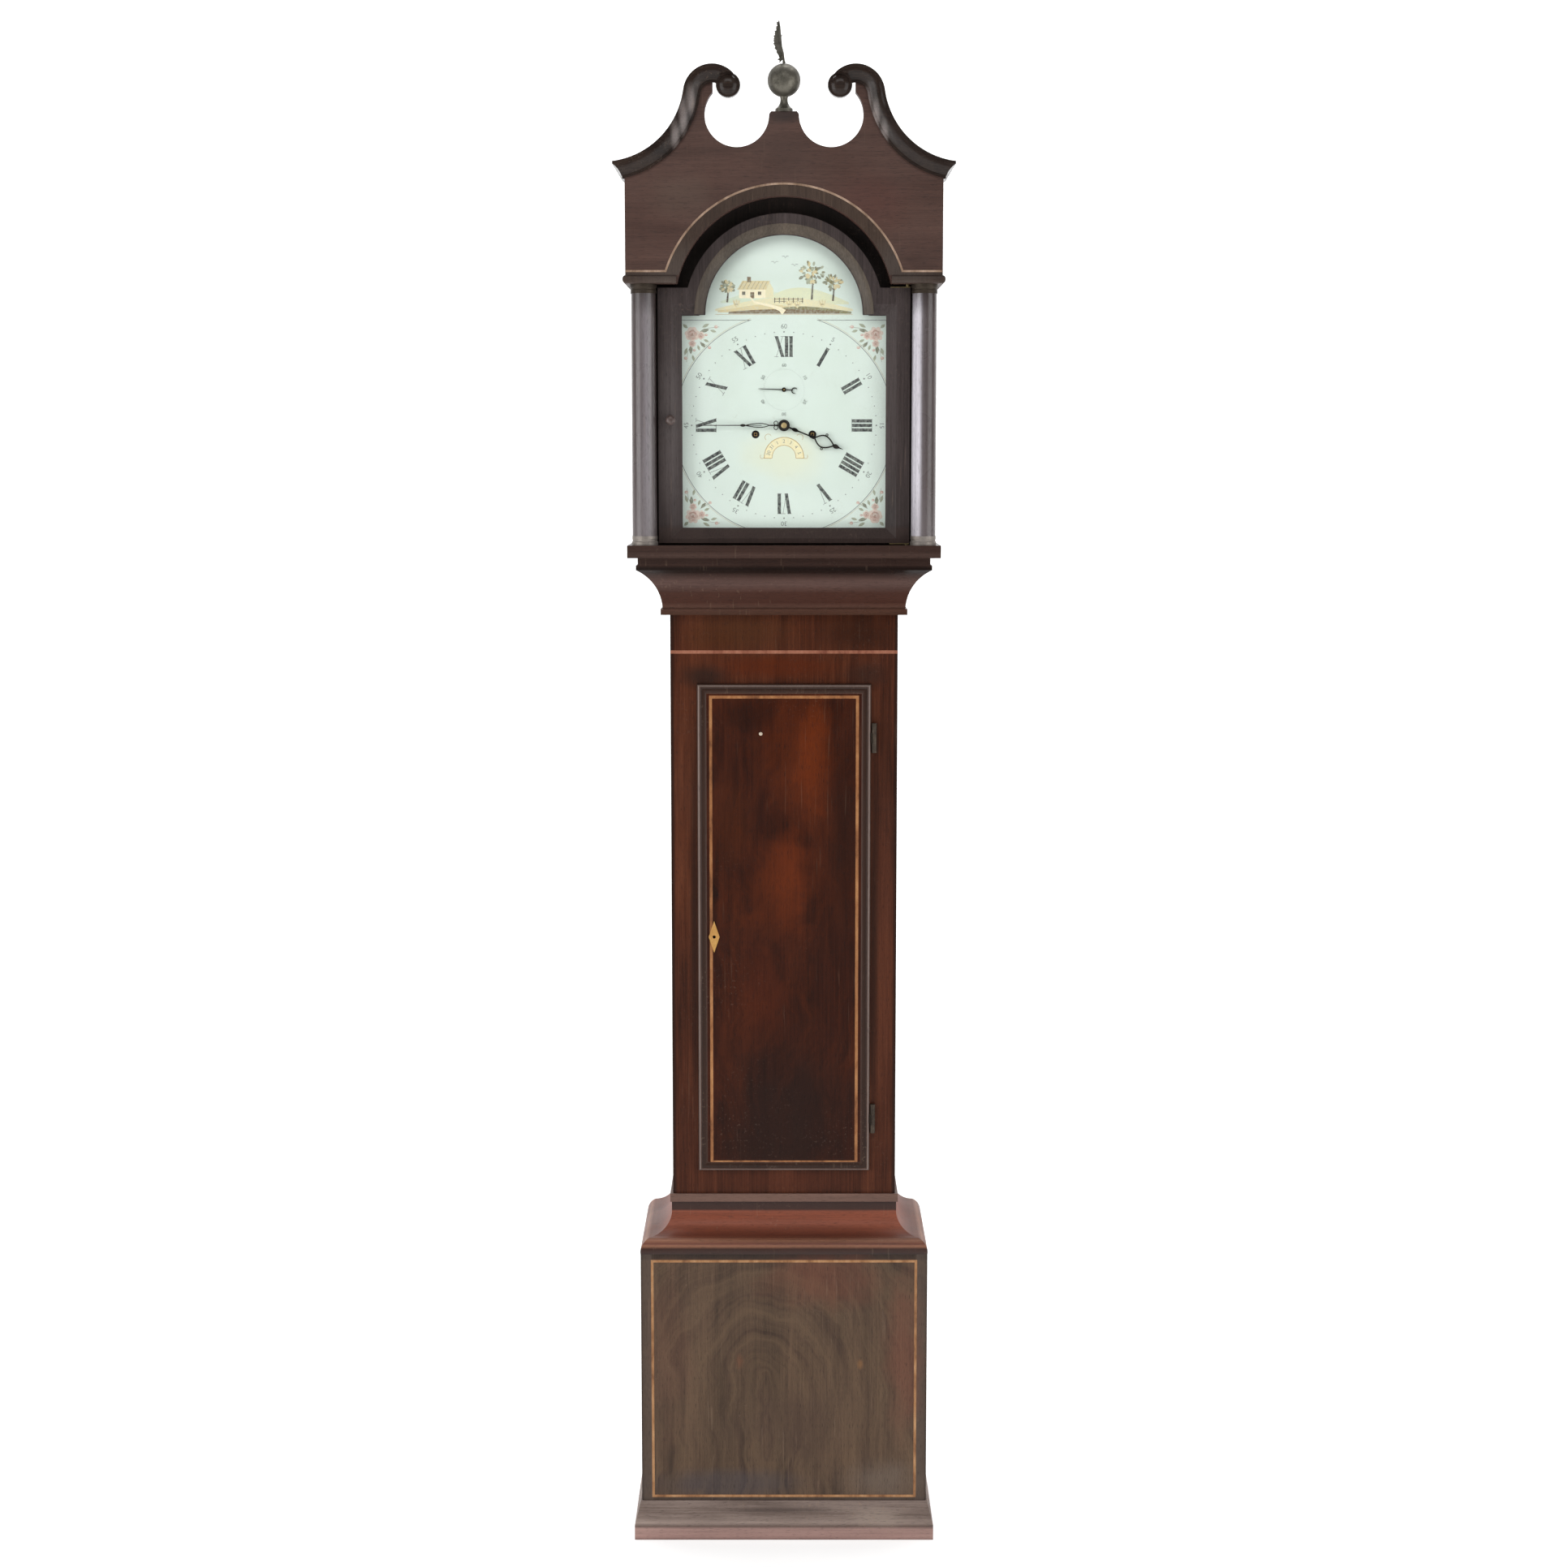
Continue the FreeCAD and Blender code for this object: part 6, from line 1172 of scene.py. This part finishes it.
def make_date_arch():
    """The arched date opening: a cream half ring with gold edges and small figures."""
    art = Painting(DIAL_Z)
    centre, outer, inner = -48.0, 30.0, 18.0
    ring = np.concatenate([arc(0, centre, outer, -4, 184, 40), arc(0, centre, inner, 184, -4, 40)])
    art.stroke(ring, tint(226, 216, 172), 1)
    for radius, width in ((outer, 1.3), (inner, 1.0)):
        art.line(arc(0, centre, radius, -4, 184, 40), width, GOLD, 2)
    for side in (-1, 1):
        art.line([(side * inner, centre - 1.6), (side * outer, centre - 1.6)], 1.2, GOLD, 2)
        curl = arc(side * (outer + 3.2), centre + 1, 3.0, 90 - side * 40, 90 - side * 290, 14)
        art.line(curl, 0.8, GOLD, 2)
        art.line(arc(side * 24, centre + 30, 5, 90 + side * 60, 90 - side * 140, 14), 0.7, GOLD, 2)
    for k, day in enumerate((30, 31, 1, 2, 3, 4, 5)):
        art.figure(day, 5.4, (inner + outer) / 2, math.radians(-75 + 25 * k), centre, 2)
    art.dry("date_arch")


ARCH_FOOT = DIAL_Z + 164.6
OCHRE = tint(204, 190, 146)
STRAW = tint(216, 209, 170)
CREAM = tint(232, 222, 190)
OLIVE = tint(122, 116, 78)
EARTH = tint(112, 92, 66)
BARK = tint(74, 62, 48)
CROWN_DABS = 46


def hill(left, right, foot, rise, lean=0.0):
    """Outline of a low hill: foot + rise sin(pi t) between left and right, its crest moved by lean."""
    t = np.linspace(0, 1, 25)
    crest = foot + rise * np.sin(math.pi * t ** (1 + lean))
    top = np.stack([left + (right - left) * t, crest], axis=1)
    return np.concatenate([top[::-1], [[left, foot - 3]], [[right, foot - 3]]])


def paint_tree(art, x, z, tall, wide, seed):
    """A leafy tree: a trunk with two boughs and a crown of small dabs scattered in an oval."""
    draw = np.random.default_rng(seed)
    art.line([(x, z), (x + 1.5, z + tall * 0.5), (x, z + tall * 0.8)], [3.2, 2.2, 1.0], BARK, 4)
    art.line([(x + 1.2, z + tall * 0.4), (x + wide * 0.5, z + tall * 0.7)], [1.6, 0.7], BARK, 4)
    art.line([(x + 1.0, z + tall * 0.45), (x - wide * 0.5, z + tall * 0.72)], [1.5, 0.7], BARK, 4)
    angle = draw.uniform(0, TURN, CROWN_DABS)
    reach = np.sqrt(draw.uniform(0, 1, CROWN_DABS))
    size = draw.uniform(2.0, 4.2, CROWN_DABS)
    shade = draw.integers(0, 4, CROWN_DABS)
    for a, r, s, c in zip(angle, reach, size, shade):
        art.dab(x + wide * r * math.cos(a), z + tall * 0.78 + tall * 0.3 * r * math.sin(a), s, s * 0.6,
                (LEAF, OLIVE, LEAF_DARK, OCHRE)[c], 5 + int(c), math.degrees(a), 8)


def paint_cottage(art, x, z):
    """A small cottage: cream wall, gable end, ochre thatch, chimney, door and windows."""
    art.stroke(rectangle(x - 20, z, 40, 14), CREAM, 4)
    art.stroke([(x + 20, z), (x + 32, z + 2), (x + 32, z + 14), (x + 26, z + 24), (x + 20, z + 14)], STRAW, 4)
    art.stroke([(x - 23, z + 13), (x + 21, z + 13), (x + 27, z + 26), (x - 15, z + 26)], OCHRE, 5)
    art.stroke(rectangle(x - 8, z + 24, 6, 8), EARTH, 5)
    for at in range(7):
        art.line([(x - 20 + at * 6, z + 13.4), (x - 13 + at * 6, z + 25.6)], 0.5, EARTH, 6)
    art.stroke(rectangle(x - 3, z, 6, 9), EARTH, 5)
    for at in (-13, 11):
        art.stroke(rectangle(x + at - 2.5, z + 5, 5, 5), BARK, 5)


def make_landscape():
    """Country view in the arch: hills, a meadow with a path, a cottage, trees, a fence and corn sheaves."""
    art = Painting(ARCH_FOOT)
    art.stroke(hill(-96, 18, 22, 16, 0.2), tint(200, 213, 190), 1)
    art.stroke(hill(-30, 98, 20, 22, -0.2), tint(208, 212, 178), 2)
    art.stroke(hill(-104, 104, 10, 17), STRAW, 3)
    art.stroke(hill(-100, 30, 8, 9, 0.3), OCHRE, 4)
    art.stroke(hill(-20, 102, 6, 8, -0.3), OLIVE, 4)
    art.stroke(hill(-84, 84, 6, 4), EARTH, 5)
    art.line([(-52, 28), (-44, 20), (-20, 15), (-6, 10), (0, 5)], [2, 3, 4, 6, 9], CREAM, 6)
    paint_cottage(art, -48, 26)
    paint_tree(art, 42, 24, 52, 19, 3)
    paint_tree(art, 74, 22, 36, 13, 5)
    paint_tree(art, -86, 20, 30, 10, 9)
    for post in range(7):
        art.line([(-14 + post * 7, 19), (-14 + post * 7, 27)], 1.1, BARK, 6)
    for rail in (21.5, 25.0):
        art.line([(-15, rail), (29, rail)], 0.7, BARK, 6)
    for x, z in ((8, 12), (20, 11), (58, 12), (-72, 12)):
        for lean in (-24, -12, 0, 12, 24):
            art.stroke(leaf(x, z, 13, 1.5, 90 + lean), STRAW if lean % 24 else OCHRE, 7)
        art.line([(x - 2.2, z + 5), (x + 2.2, z + 5)], 1.0, EARTH, 8)
    for x, z in ((-14, 78), (2, 86), (16, 74)):
        wings = [(x - 5, z + 2.4), (x - 2, z + 3), (x, z), (x + 2, z + 3), (x + 5, z + 2.4)]
        art.line(wings, 0.7, FAINT_INK, 2)
    art.line([(-104, 2), (104, 2)], 0.6, GOLD, 2)
    art.dry("dial_landscape")


make_numerals()
make_corners()
make_date_arch()
make_landscape()


# Hands

HAND_THICK = 1.2
COLLET_PROFILE = [(1.2, 1.9), (2.4, 1.8), (4.0, 1.0), (4.4, 0.0), (4.4, -1.0)]
COLLAR_PROFILE = [(3.4, -6.0), (9.0, -6.0), (9.5, -5.0), (9.5, -2.0), (8.0, -0.6), (3.4, -0.4), (0.4, 0.3)]


def loop(path, width):
    """A closed strip along a closed path of (u, v) points: (inner edge, outer edge) by half the width."""
    path = np.asarray(path, float)
    return strip_edges(path, np.roll(path, -1, axis=0) - np.roll(path, 1, axis=0), width)


def leaf_path(start, end, half, peak=0.5, points=28):
    """Closed path of a lozenge with bowed sides along the hand, widest at the peak's share of its length."""
    count = points // 2
    t = np.concatenate([np.arange(count), np.arange(count, 0, -1)]) / count
    sign = np.repeat([1.0, -1.0], count)
    bow = np.sin(0.5 * math.pi * np.where(t < peak, t / peak, (1 - t) / (1 - peak)))
    return np.stack([start + (end - start) * t, sign * half * bow], axis=1)


class Hand(Shape):
    """A flat pierced hand about a centre on the dial: u runs along the hand, v to its left."""

    def __init__(self, centre_z, angle, front):
        super().__init__()
        self.centre_z = centre_z
        self.turn = math.radians(angle)
        self.front = front

    def stand(self, flat):
        """Points (u, v) as (x, z) on the dial, for a hand turned clockwise from noon."""
        return swing(flat, math.pi / 2 - self.turn, 0, self.centre_z)

    def plate(self, outline):
        """A solid flat part from its outline."""
        self.add(*prism(self.stand(outline), self.front, self.front + HAND_THICK))

    def ring(self, path, width):
        """A pierced part: both edges of a closed strip, at the front and at the back."""
        inner, outer = [self.stand(edge) for edge in loop(path, width)]
        count = len(inner)
        sheets = [np.stack([edge[:, 0], np.full(count, y), edge[:, 1]], axis=1)
                  for edge, y in ((inner, self.front), (outer, self.front),
                                  (outer, self.front + HAND_THICK), (inner, self.front + HAND_THICK))]
        points = np.stack(sheets, axis=1)
        self.add(points, grid_faces(count, 4, True, True))

    def taper(self, *stations):
        """A straight bar along the hand, through stations (u, half width)."""
        self.plate([*stations, *[(u, -half) for u, half in stations[::-1]]])

    def done(self, name, body, node):
        """Makes the hand, in place of the plain one."""
        self.piece(name, hand_steel, body, "hand_steel", stands_for=(node,), smooth=False)


def circle(u, v, radius, points=40):
    """Closed round path about a point of the hand."""
    return oval(u, v, radius, radius, points=points)


def make_hour_hand():
    """Ring, knop, stem, pierced heart and arrow tip."""
    hand = Hand(DIAL_Z, 112.0, low("hour_hand", 1))
    hand.ring(circle(0, 0, 6.6), 4.4)
    hand.taper((8.2, 1.3), (52, 0.95))
    hand.plate(leaf_path(11, 25, 3.0, 0.5, 20))
    hand.plate(leaf_path(40, 52, 2.6, 0.7, 20))
    hand.ring(leaf_path(50, 82, 9.0, 0.45), 2.2)
    for side in (-1, 1):
        hand.ring(circle(66, side * 11.2, 1.5, 16), 1.4)
    hand.plate(leaf_path(79, 92, 3.4, 0.4, 20))
    hand.taper((90, 1.1), (97, 0.2))
    hand.done("pierced_hour_hand", "hour_work", "hour_hand")


def make_minute_hand():
    """Ring, scrolls, long pierced blade, small lozenge and needle."""
    hand = Hand(DIAL_Z, 270.0, low("minute_hand", 1))
    hand.ring(circle(0, 0, 5.6), 3.8)
    for side in (-1, 1):
        hand.ring(circle(12.2, side * 3.4, 3.0, 24), 1.2)
    hand.taper((8, 1.1), (24, 0.9))
    hand.ring(leaf_path(22, 60, 3.0, 0.35), 1.3)
    hand.taper((34, 0.4), (60, 0.4))
    hand.plate(leaf_path(57, 68, 2.2, 0.5, 20))
    hand.taper((66, 0.75), (122, 0.5), (130, 0.15))
    hand.done("pierced_minute_hand", "centre", "minute_hand")
    collet = turned(COLLET_PROFILE, 32, 0, low("minute_hand", 1), DIAL_Z)
    add_piece("minute_collet", *collet, collet_brass, "centre", "clock_brass")


def make_seconds_hand():
    """Hub, fine pointer, and a tail that ends in a crescent."""
    hand = Hand(SECONDS_Z, 272.0, low("seconds_hand", 1))
    hand.ring(circle(0, 0, 2.3, 24), 2.2)
    hand.taper((3, 0.7), (34, 0.45), (39, 0.15))
    hand.taper((-12, 0.6), (-3, 0.7))
    angle = np.radians(np.linspace(-60, 200, 18))
    path = np.stack([-16.2 + 4.2 * np.sin(angle), 1.0 - 4.2 * np.cos(angle)], axis=1)
    hand.plate(band(path, 0.5 + 1.3 * np.sin(np.linspace(0, math.pi, 18))))
    hand.done("crescent_seconds_hand", "escape", "seconds_hand")


def make_winding_collars():
    """Dark steel collars on the winding squares, just behind their ends: a turned profile round each square,
    put there so that the winding holes read dark, standing in for the shade inside them.
    """
    for body, node, side in (("going_drum", "going_barrel", 1), ("strike_drum", "strike_barrel", -1)):
        collar = turned(COLLAR_PROFILE, 32, side * abs(WINDING_X), low(node, 1), WINDING_Z)
        add_piece("winding_shade_collar_" + body, *collar, hand_steel, body, "clock_steel")


make_hour_hand()
make_minute_hand()
make_seconds_hand()
make_winding_collars()


# Arch bead, finial bird and small fittings

DOOR_ARCH_Z = 1917.0
DOOR_ARCH_RADIUS = 118.5
ARCH_BEVEL = 9.0
ARCH_BEAD_WIDE = 16.0
ARCH_BEAD_PROUD = 1.3
NAIL_X = -36.0
NAIL_Z = 1280.0
FINIAL_Y = (low("finial_ball", 1) + high("finial_ball", 1)) / 2
FINIAL_TOP = high("finial_ball", 2)


def make_arch_bead():
    """Bead laid on the bevel of the door's arch: a low bowed section carried round the arch's centre."""
    front = low("hood_door_frame", 1)
    t = np.linspace(0, 1, 9)
    reach = DOOR_ARCH_RADIUS + 0.4 + ARCH_BEAD_WIDE * t
    bow = ARCH_BEAD_PROUD * np.sin(math.pi * t)
    crown = np.stack([reach, front + ARCH_BEVEL - (ARCH_BEVEL + 0.2) * t - bow], axis=1)
    seat = np.stack([reach, front + ARCH_BEVEL + 0.4 - ARCH_BEVEL * t], axis=1)
    section = np.concatenate([crown, seat[::-1]])
    angle = np.radians(np.linspace(0.4, 179.6, 73))
    centre = np.tile([0.0, 0.0, DOOR_ARCH_Z], (len(angle), 1))
    spoke = np.stack([np.cos(angle), np.zeros(len(angle)), np.sin(angle)], axis=1)
    points, faces = sweep(section, centre, spoke, (0, 1, 0))
    add_piece("door_arch_bead", points, faces, bead_wood, "hood_door", "case_mahogany")


def tube(path, radius, steps=14):
    """A round tube of changing radius along a path in an upright plane across the clock, with flat ends."""
    path = np.asarray(path, float)
    step = np.gradient(path, axis=0)
    step /= np.linalg.norm(step, axis=1)[:, None]
    side = np.stack([step[:, 2], np.zeros(len(path)), -step[:, 0]], axis=1)
    angle = np.linspace(0, TURN, steps, endpoint=False)
    wide = np.asarray(radius, float)[:, None, None]
    points = path[:, None, :] + wide * (np.cos(angle)[None, :, None] * side[:, None, :]
                                        + np.sin(angle)[None, :, None] * np.array([0.0, 1.0, 0.0]))
    return points.reshape(-1, 3), tube_faces(len(path), steps)


def leaning_plate(outline, origin, along, up, thick):
    """A flat plate in any plane: point = origin + u along + w up, moved half the thickness each way."""
    outline = np.asarray(outline, float)
    along = np.asarray(along, float)
    up = np.asarray(up, float)
    out = np.cross(along, up) / np.linalg.norm(np.cross(along, up)) * thick / 2
    sheet = np.asarray(origin, float) + outline[:, :1] * along + outline[:, 1:] * up
    return np.concatenate([sheet + out, sheet - out]), plate_faces(len(outline))


def make_finial_bird():
    """Cast bird on the finial: a tapering body leaning to the left, a head and two raised feathered wings."""
    bird = Shape()
    rise = np.array([-1.5, 2.0, 5.0, 9.0, 15.0, 23.0, 31.0, 37.0, 42.0])
    lean = np.array([0.0, 0.0, -0.4, -1.6, -4.0, -6.6, -8.2, -8.6, -8.0])
    wide = np.array([2.4, 2.2, 1.7, 2.3, 4.0, 4.4, 3.2, 2.2, 0.8])
    path = np.stack([lean, np.full(len(rise), FINIAL_Y), FINIAL_TOP + rise], axis=1)
    bird.add(*tube(path, wide))
    bird.add(*tube(path[-3:] + [[0.6, 0, -1.0], [3.0, 0, 1.0], [5.5, 0, 0.4]], [1.5, 1.1, 0.3], 10))
    tips = [(3, 46.5), (8, 44), (10, 37), (14, 30), (17, 23), (18, 16), (16, 9), (12, 3)]
    edge = [(0, -3), (-1, 8), (0, 22), (1, 38)]
    for tip, later in zip(tips, tips[1:] + [None]):
        edge.append(tip)
        if later:
            edge.append(((tip[0] + later[0]) / 2 - 3.4, (tip[1] + later[1]) / 2 - 1.6))
    edge.append((5, -5))
    for side in (-1, 1):
        bird.add(*leaning_plate(edge, (-3.4, FINIAL_Y + side * 1.5, FINIAL_TOP + 16), (-0.62, side * 0.78, 0),
                                (-0.05, 0, 0.99), 1.5))
    bird.add(*leaning_plate([(0, 0), (7, -2), (5, -4), (9, -7), (5, -8), (6, -12), (0, -7)],
                            (-2.5, FINIAL_Y, FINIAL_TOP + 13), (-0.8, 0, 0), (0, 0, 1), 2.0))
    bird.piece("finial_bird", dark_bronze, "hood", "old_brass", stands_for=("finial_ornament",), smooth=False)


def make_door_knob():
    """Knob on the hood door: plate, neck and round head, turned about an axis to the front."""
    x = (low("hood_door_knob", 0) + high("hood_door_knob", 0)) / 2
    z = (low("hood_door_knob", 2) + high("hood_door_knob", 2)) / 2
    front = low("hood_door_frame", 1)
    angle = np.radians(np.linspace(-50, 90, 12))
    head = np.stack([7.6 * np.cos(angle), 10.0 + 5.4 * np.sin(angle)], axis=1)
    profile = np.concatenate([[[6.4, -0.4], [6.4, 1.4], [4.0, 2.2], [3.4, 4.4]], head[:-1], [[0.3, 15.4]]])
    add_piece("turned_door_knob", *turned(profile, 28, x, front, z), knob_wood, "hood_door", "old_brass",
              stands_for=("hood_door_knob",))


def make_door_nail():
    """Small domed nail on the trunk door: a quarter circle turned about an axis to the front."""
    angle = np.radians(np.linspace(0, 88, 7))
    dome = np.stack([3.0 * np.cos(angle), 2.0 * np.sin(angle) - 0.2], axis=1)
    nail = turned(dome, 20, NAIL_X, DOOR_FRONT, NAIL_Z)
    add_piece("door_nail", *nail, nail_metal, "trunk_door", "old_brass")


make_arch_bead()
make_finial_bird()
make_door_knob()
make_door_nail()


# Gut lines of the two weights

GUT_LAY = 30.0
GUT_RINGS = 600
GUT_LINES = (("going_line", "going_weight_slide"), ("strike_line", "strike_weight_slide"))


def make_gut_line(node):
    """Two falls of laid gut: a three-lobed ring, r = R (0.88 + 0.12 cos 3(a - t)), t one turn each GUT_LAY.
    """
    foot, top = low(node, 2), high(node, 2)
    radius = (high(node, 1) - low(node, 1)) / 2
    y = low(node, 1) + radius
    height = np.linspace(foot, top, GUT_RINGS)
    angle = np.linspace(0, TURN, 12, endpoint=False)
    lay = TURN * (height - foot) / GUT_LAY
    reach = radius * (0.88 + 0.12 * np.cos(3 * (angle[None, :] - lay[:, None])))
    shape = Shape()
    for x in (low(node, 0) + radius, high(node, 0) - radius):
        points = np.stack([x + reach * np.cos(angle), y + reach * np.sin(angle),
                           np.repeat(height[:, None], len(angle), axis=1)], axis=-1)
        shape.add(points, tube_faces(*reach.shape))
    falls = shape.piece(node + "_falls", gut, "case", "gut_line", stands_for=(node,))
    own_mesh(falls)


for line, slide in GUT_LINES:
    make_gut_line(line)


# Stage, light and camera

CAMERA_PLACE = (0.0, -4.115, 1.709)
CAMERA_AIM = (0.0, -0.115, 1.209)
PHOTO_FOCAL = 3251.0
PHOTO_SIDE = 1932.0
SENSOR_WIDE = 36.0
SURROUND_LIGHT = 0.10
SOFT_BOXES = (("left_box", (-2.7, -1.8, 1.6), (0, 0, 1.3), (2.2, 3.0), 54),
              ("right_box", (2.7, -1.8, 1.6), (0, 0, 1.3), (2.2, 3.0), 44),
              ("top_box", (0, -3.2, 4.2), (0, 0, 1.1), (3.0, 1.6), 40),
              ("wall_box", (0, 0.6, 4.8), (0, 2.2, 1.4), (4.0, 0.8), 90))


def make_stage():
    """A pale sweep: flat floor, then a quarter round up to an upright wall that is clear from behind."""
    near, far, radius, wide, tall = -7.0, 2.2, 0.9, 9.0, 6.0
    run = [(near, 0.0), *arc(far - radius, radius, radius, -90, 0, 25), (far, tall)]
    mesh = bpy.data.meshes.new("studio_sweep")
    mesh.from_pydata([(x, y, z) for y, z in run for x in (-wide, wide)], [], grid_faces(len(run), 2))
    mesh.polygons.foreach_set("use_smooth", np.full(len(mesh.polygons), True))
    finish = Finish("studio_paper", roughness=0.9, emission_color=(1, 1, 1, 1), emission_strength=0.6)
    g = finish.graph
    cloud = g.noise(finish.place, 3.0, 2.0)
    finish.give(base_color=g.ramp(cloud, (0.3, (206, 206, 206)), (0.7, (212, 212, 212))))
    rear = g.add("ShaderNodeNewGeometry").outputs["Backfacing"]
    finish.clear_where(rear)
    mesh.materials.append(finish.material)
    sweep_floor = put_in_scene("studio_sweep", mesh)


def put_and_aim(name, data, place, aim):
    """A new lamp or camera at a place, turned to its aim."""
    made = put_in_scene(name, data)
    made.location = place
    made.rotation_euler = (Vector(aim) - Vector(place)).to_track_quat("-Z", "Y").to_euler()
    return made


def make_light():
    """Two tall soft boxes at the sides, one above the camera, one on the wall, and a dim even surround."""
    for name, place, aim, size, power in SOFT_BOXES:
        lamp = bpy.data.lights.new(name, "AREA")
        lamp.shape = "RECTANGLE"
        lamp.size, lamp.size_y = size
        lamp.energy = power
        put_and_aim(name, lamp, place, aim)
    world = bpy.data.worlds.new("surround")
    world.use_nodes = True
    surround = world.node_tree.nodes["Background"]
    surround.inputs["Color"].default_value = (1, 1, 1, 1)
    g = Graph(world.node_tree)
    seen = g.add("ShaderNodeLightPath").outputs["Is Camera Ray"]
    g.feed(surround.inputs["Strength"], g.spread(seen, 0.0, 1.0, SURROUND_LIGHT, 1.0))
    bpy.context.scene.world = world


def make_camera():
    """The photograph's view: its focal length in pixels of a square image as a lens on a 36 mm sensor."""
    lens = bpy.data.cameras.new("photo_camera")
    lens.sensor_width = SENSOR_WIDE
    lens.sensor_fit = "HORIZONTAL"
    lens.lens = SENSOR_WIDE * PHOTO_FOCAL / PHOTO_SIDE
    bpy.context.scene.camera = put_and_aim("photo_camera", lens, CAMERA_PLACE, CAMERA_AIM)
    bpy.context.scene.view_settings.view_transform = "Standard"


make_stage()
make_light()
make_camera()
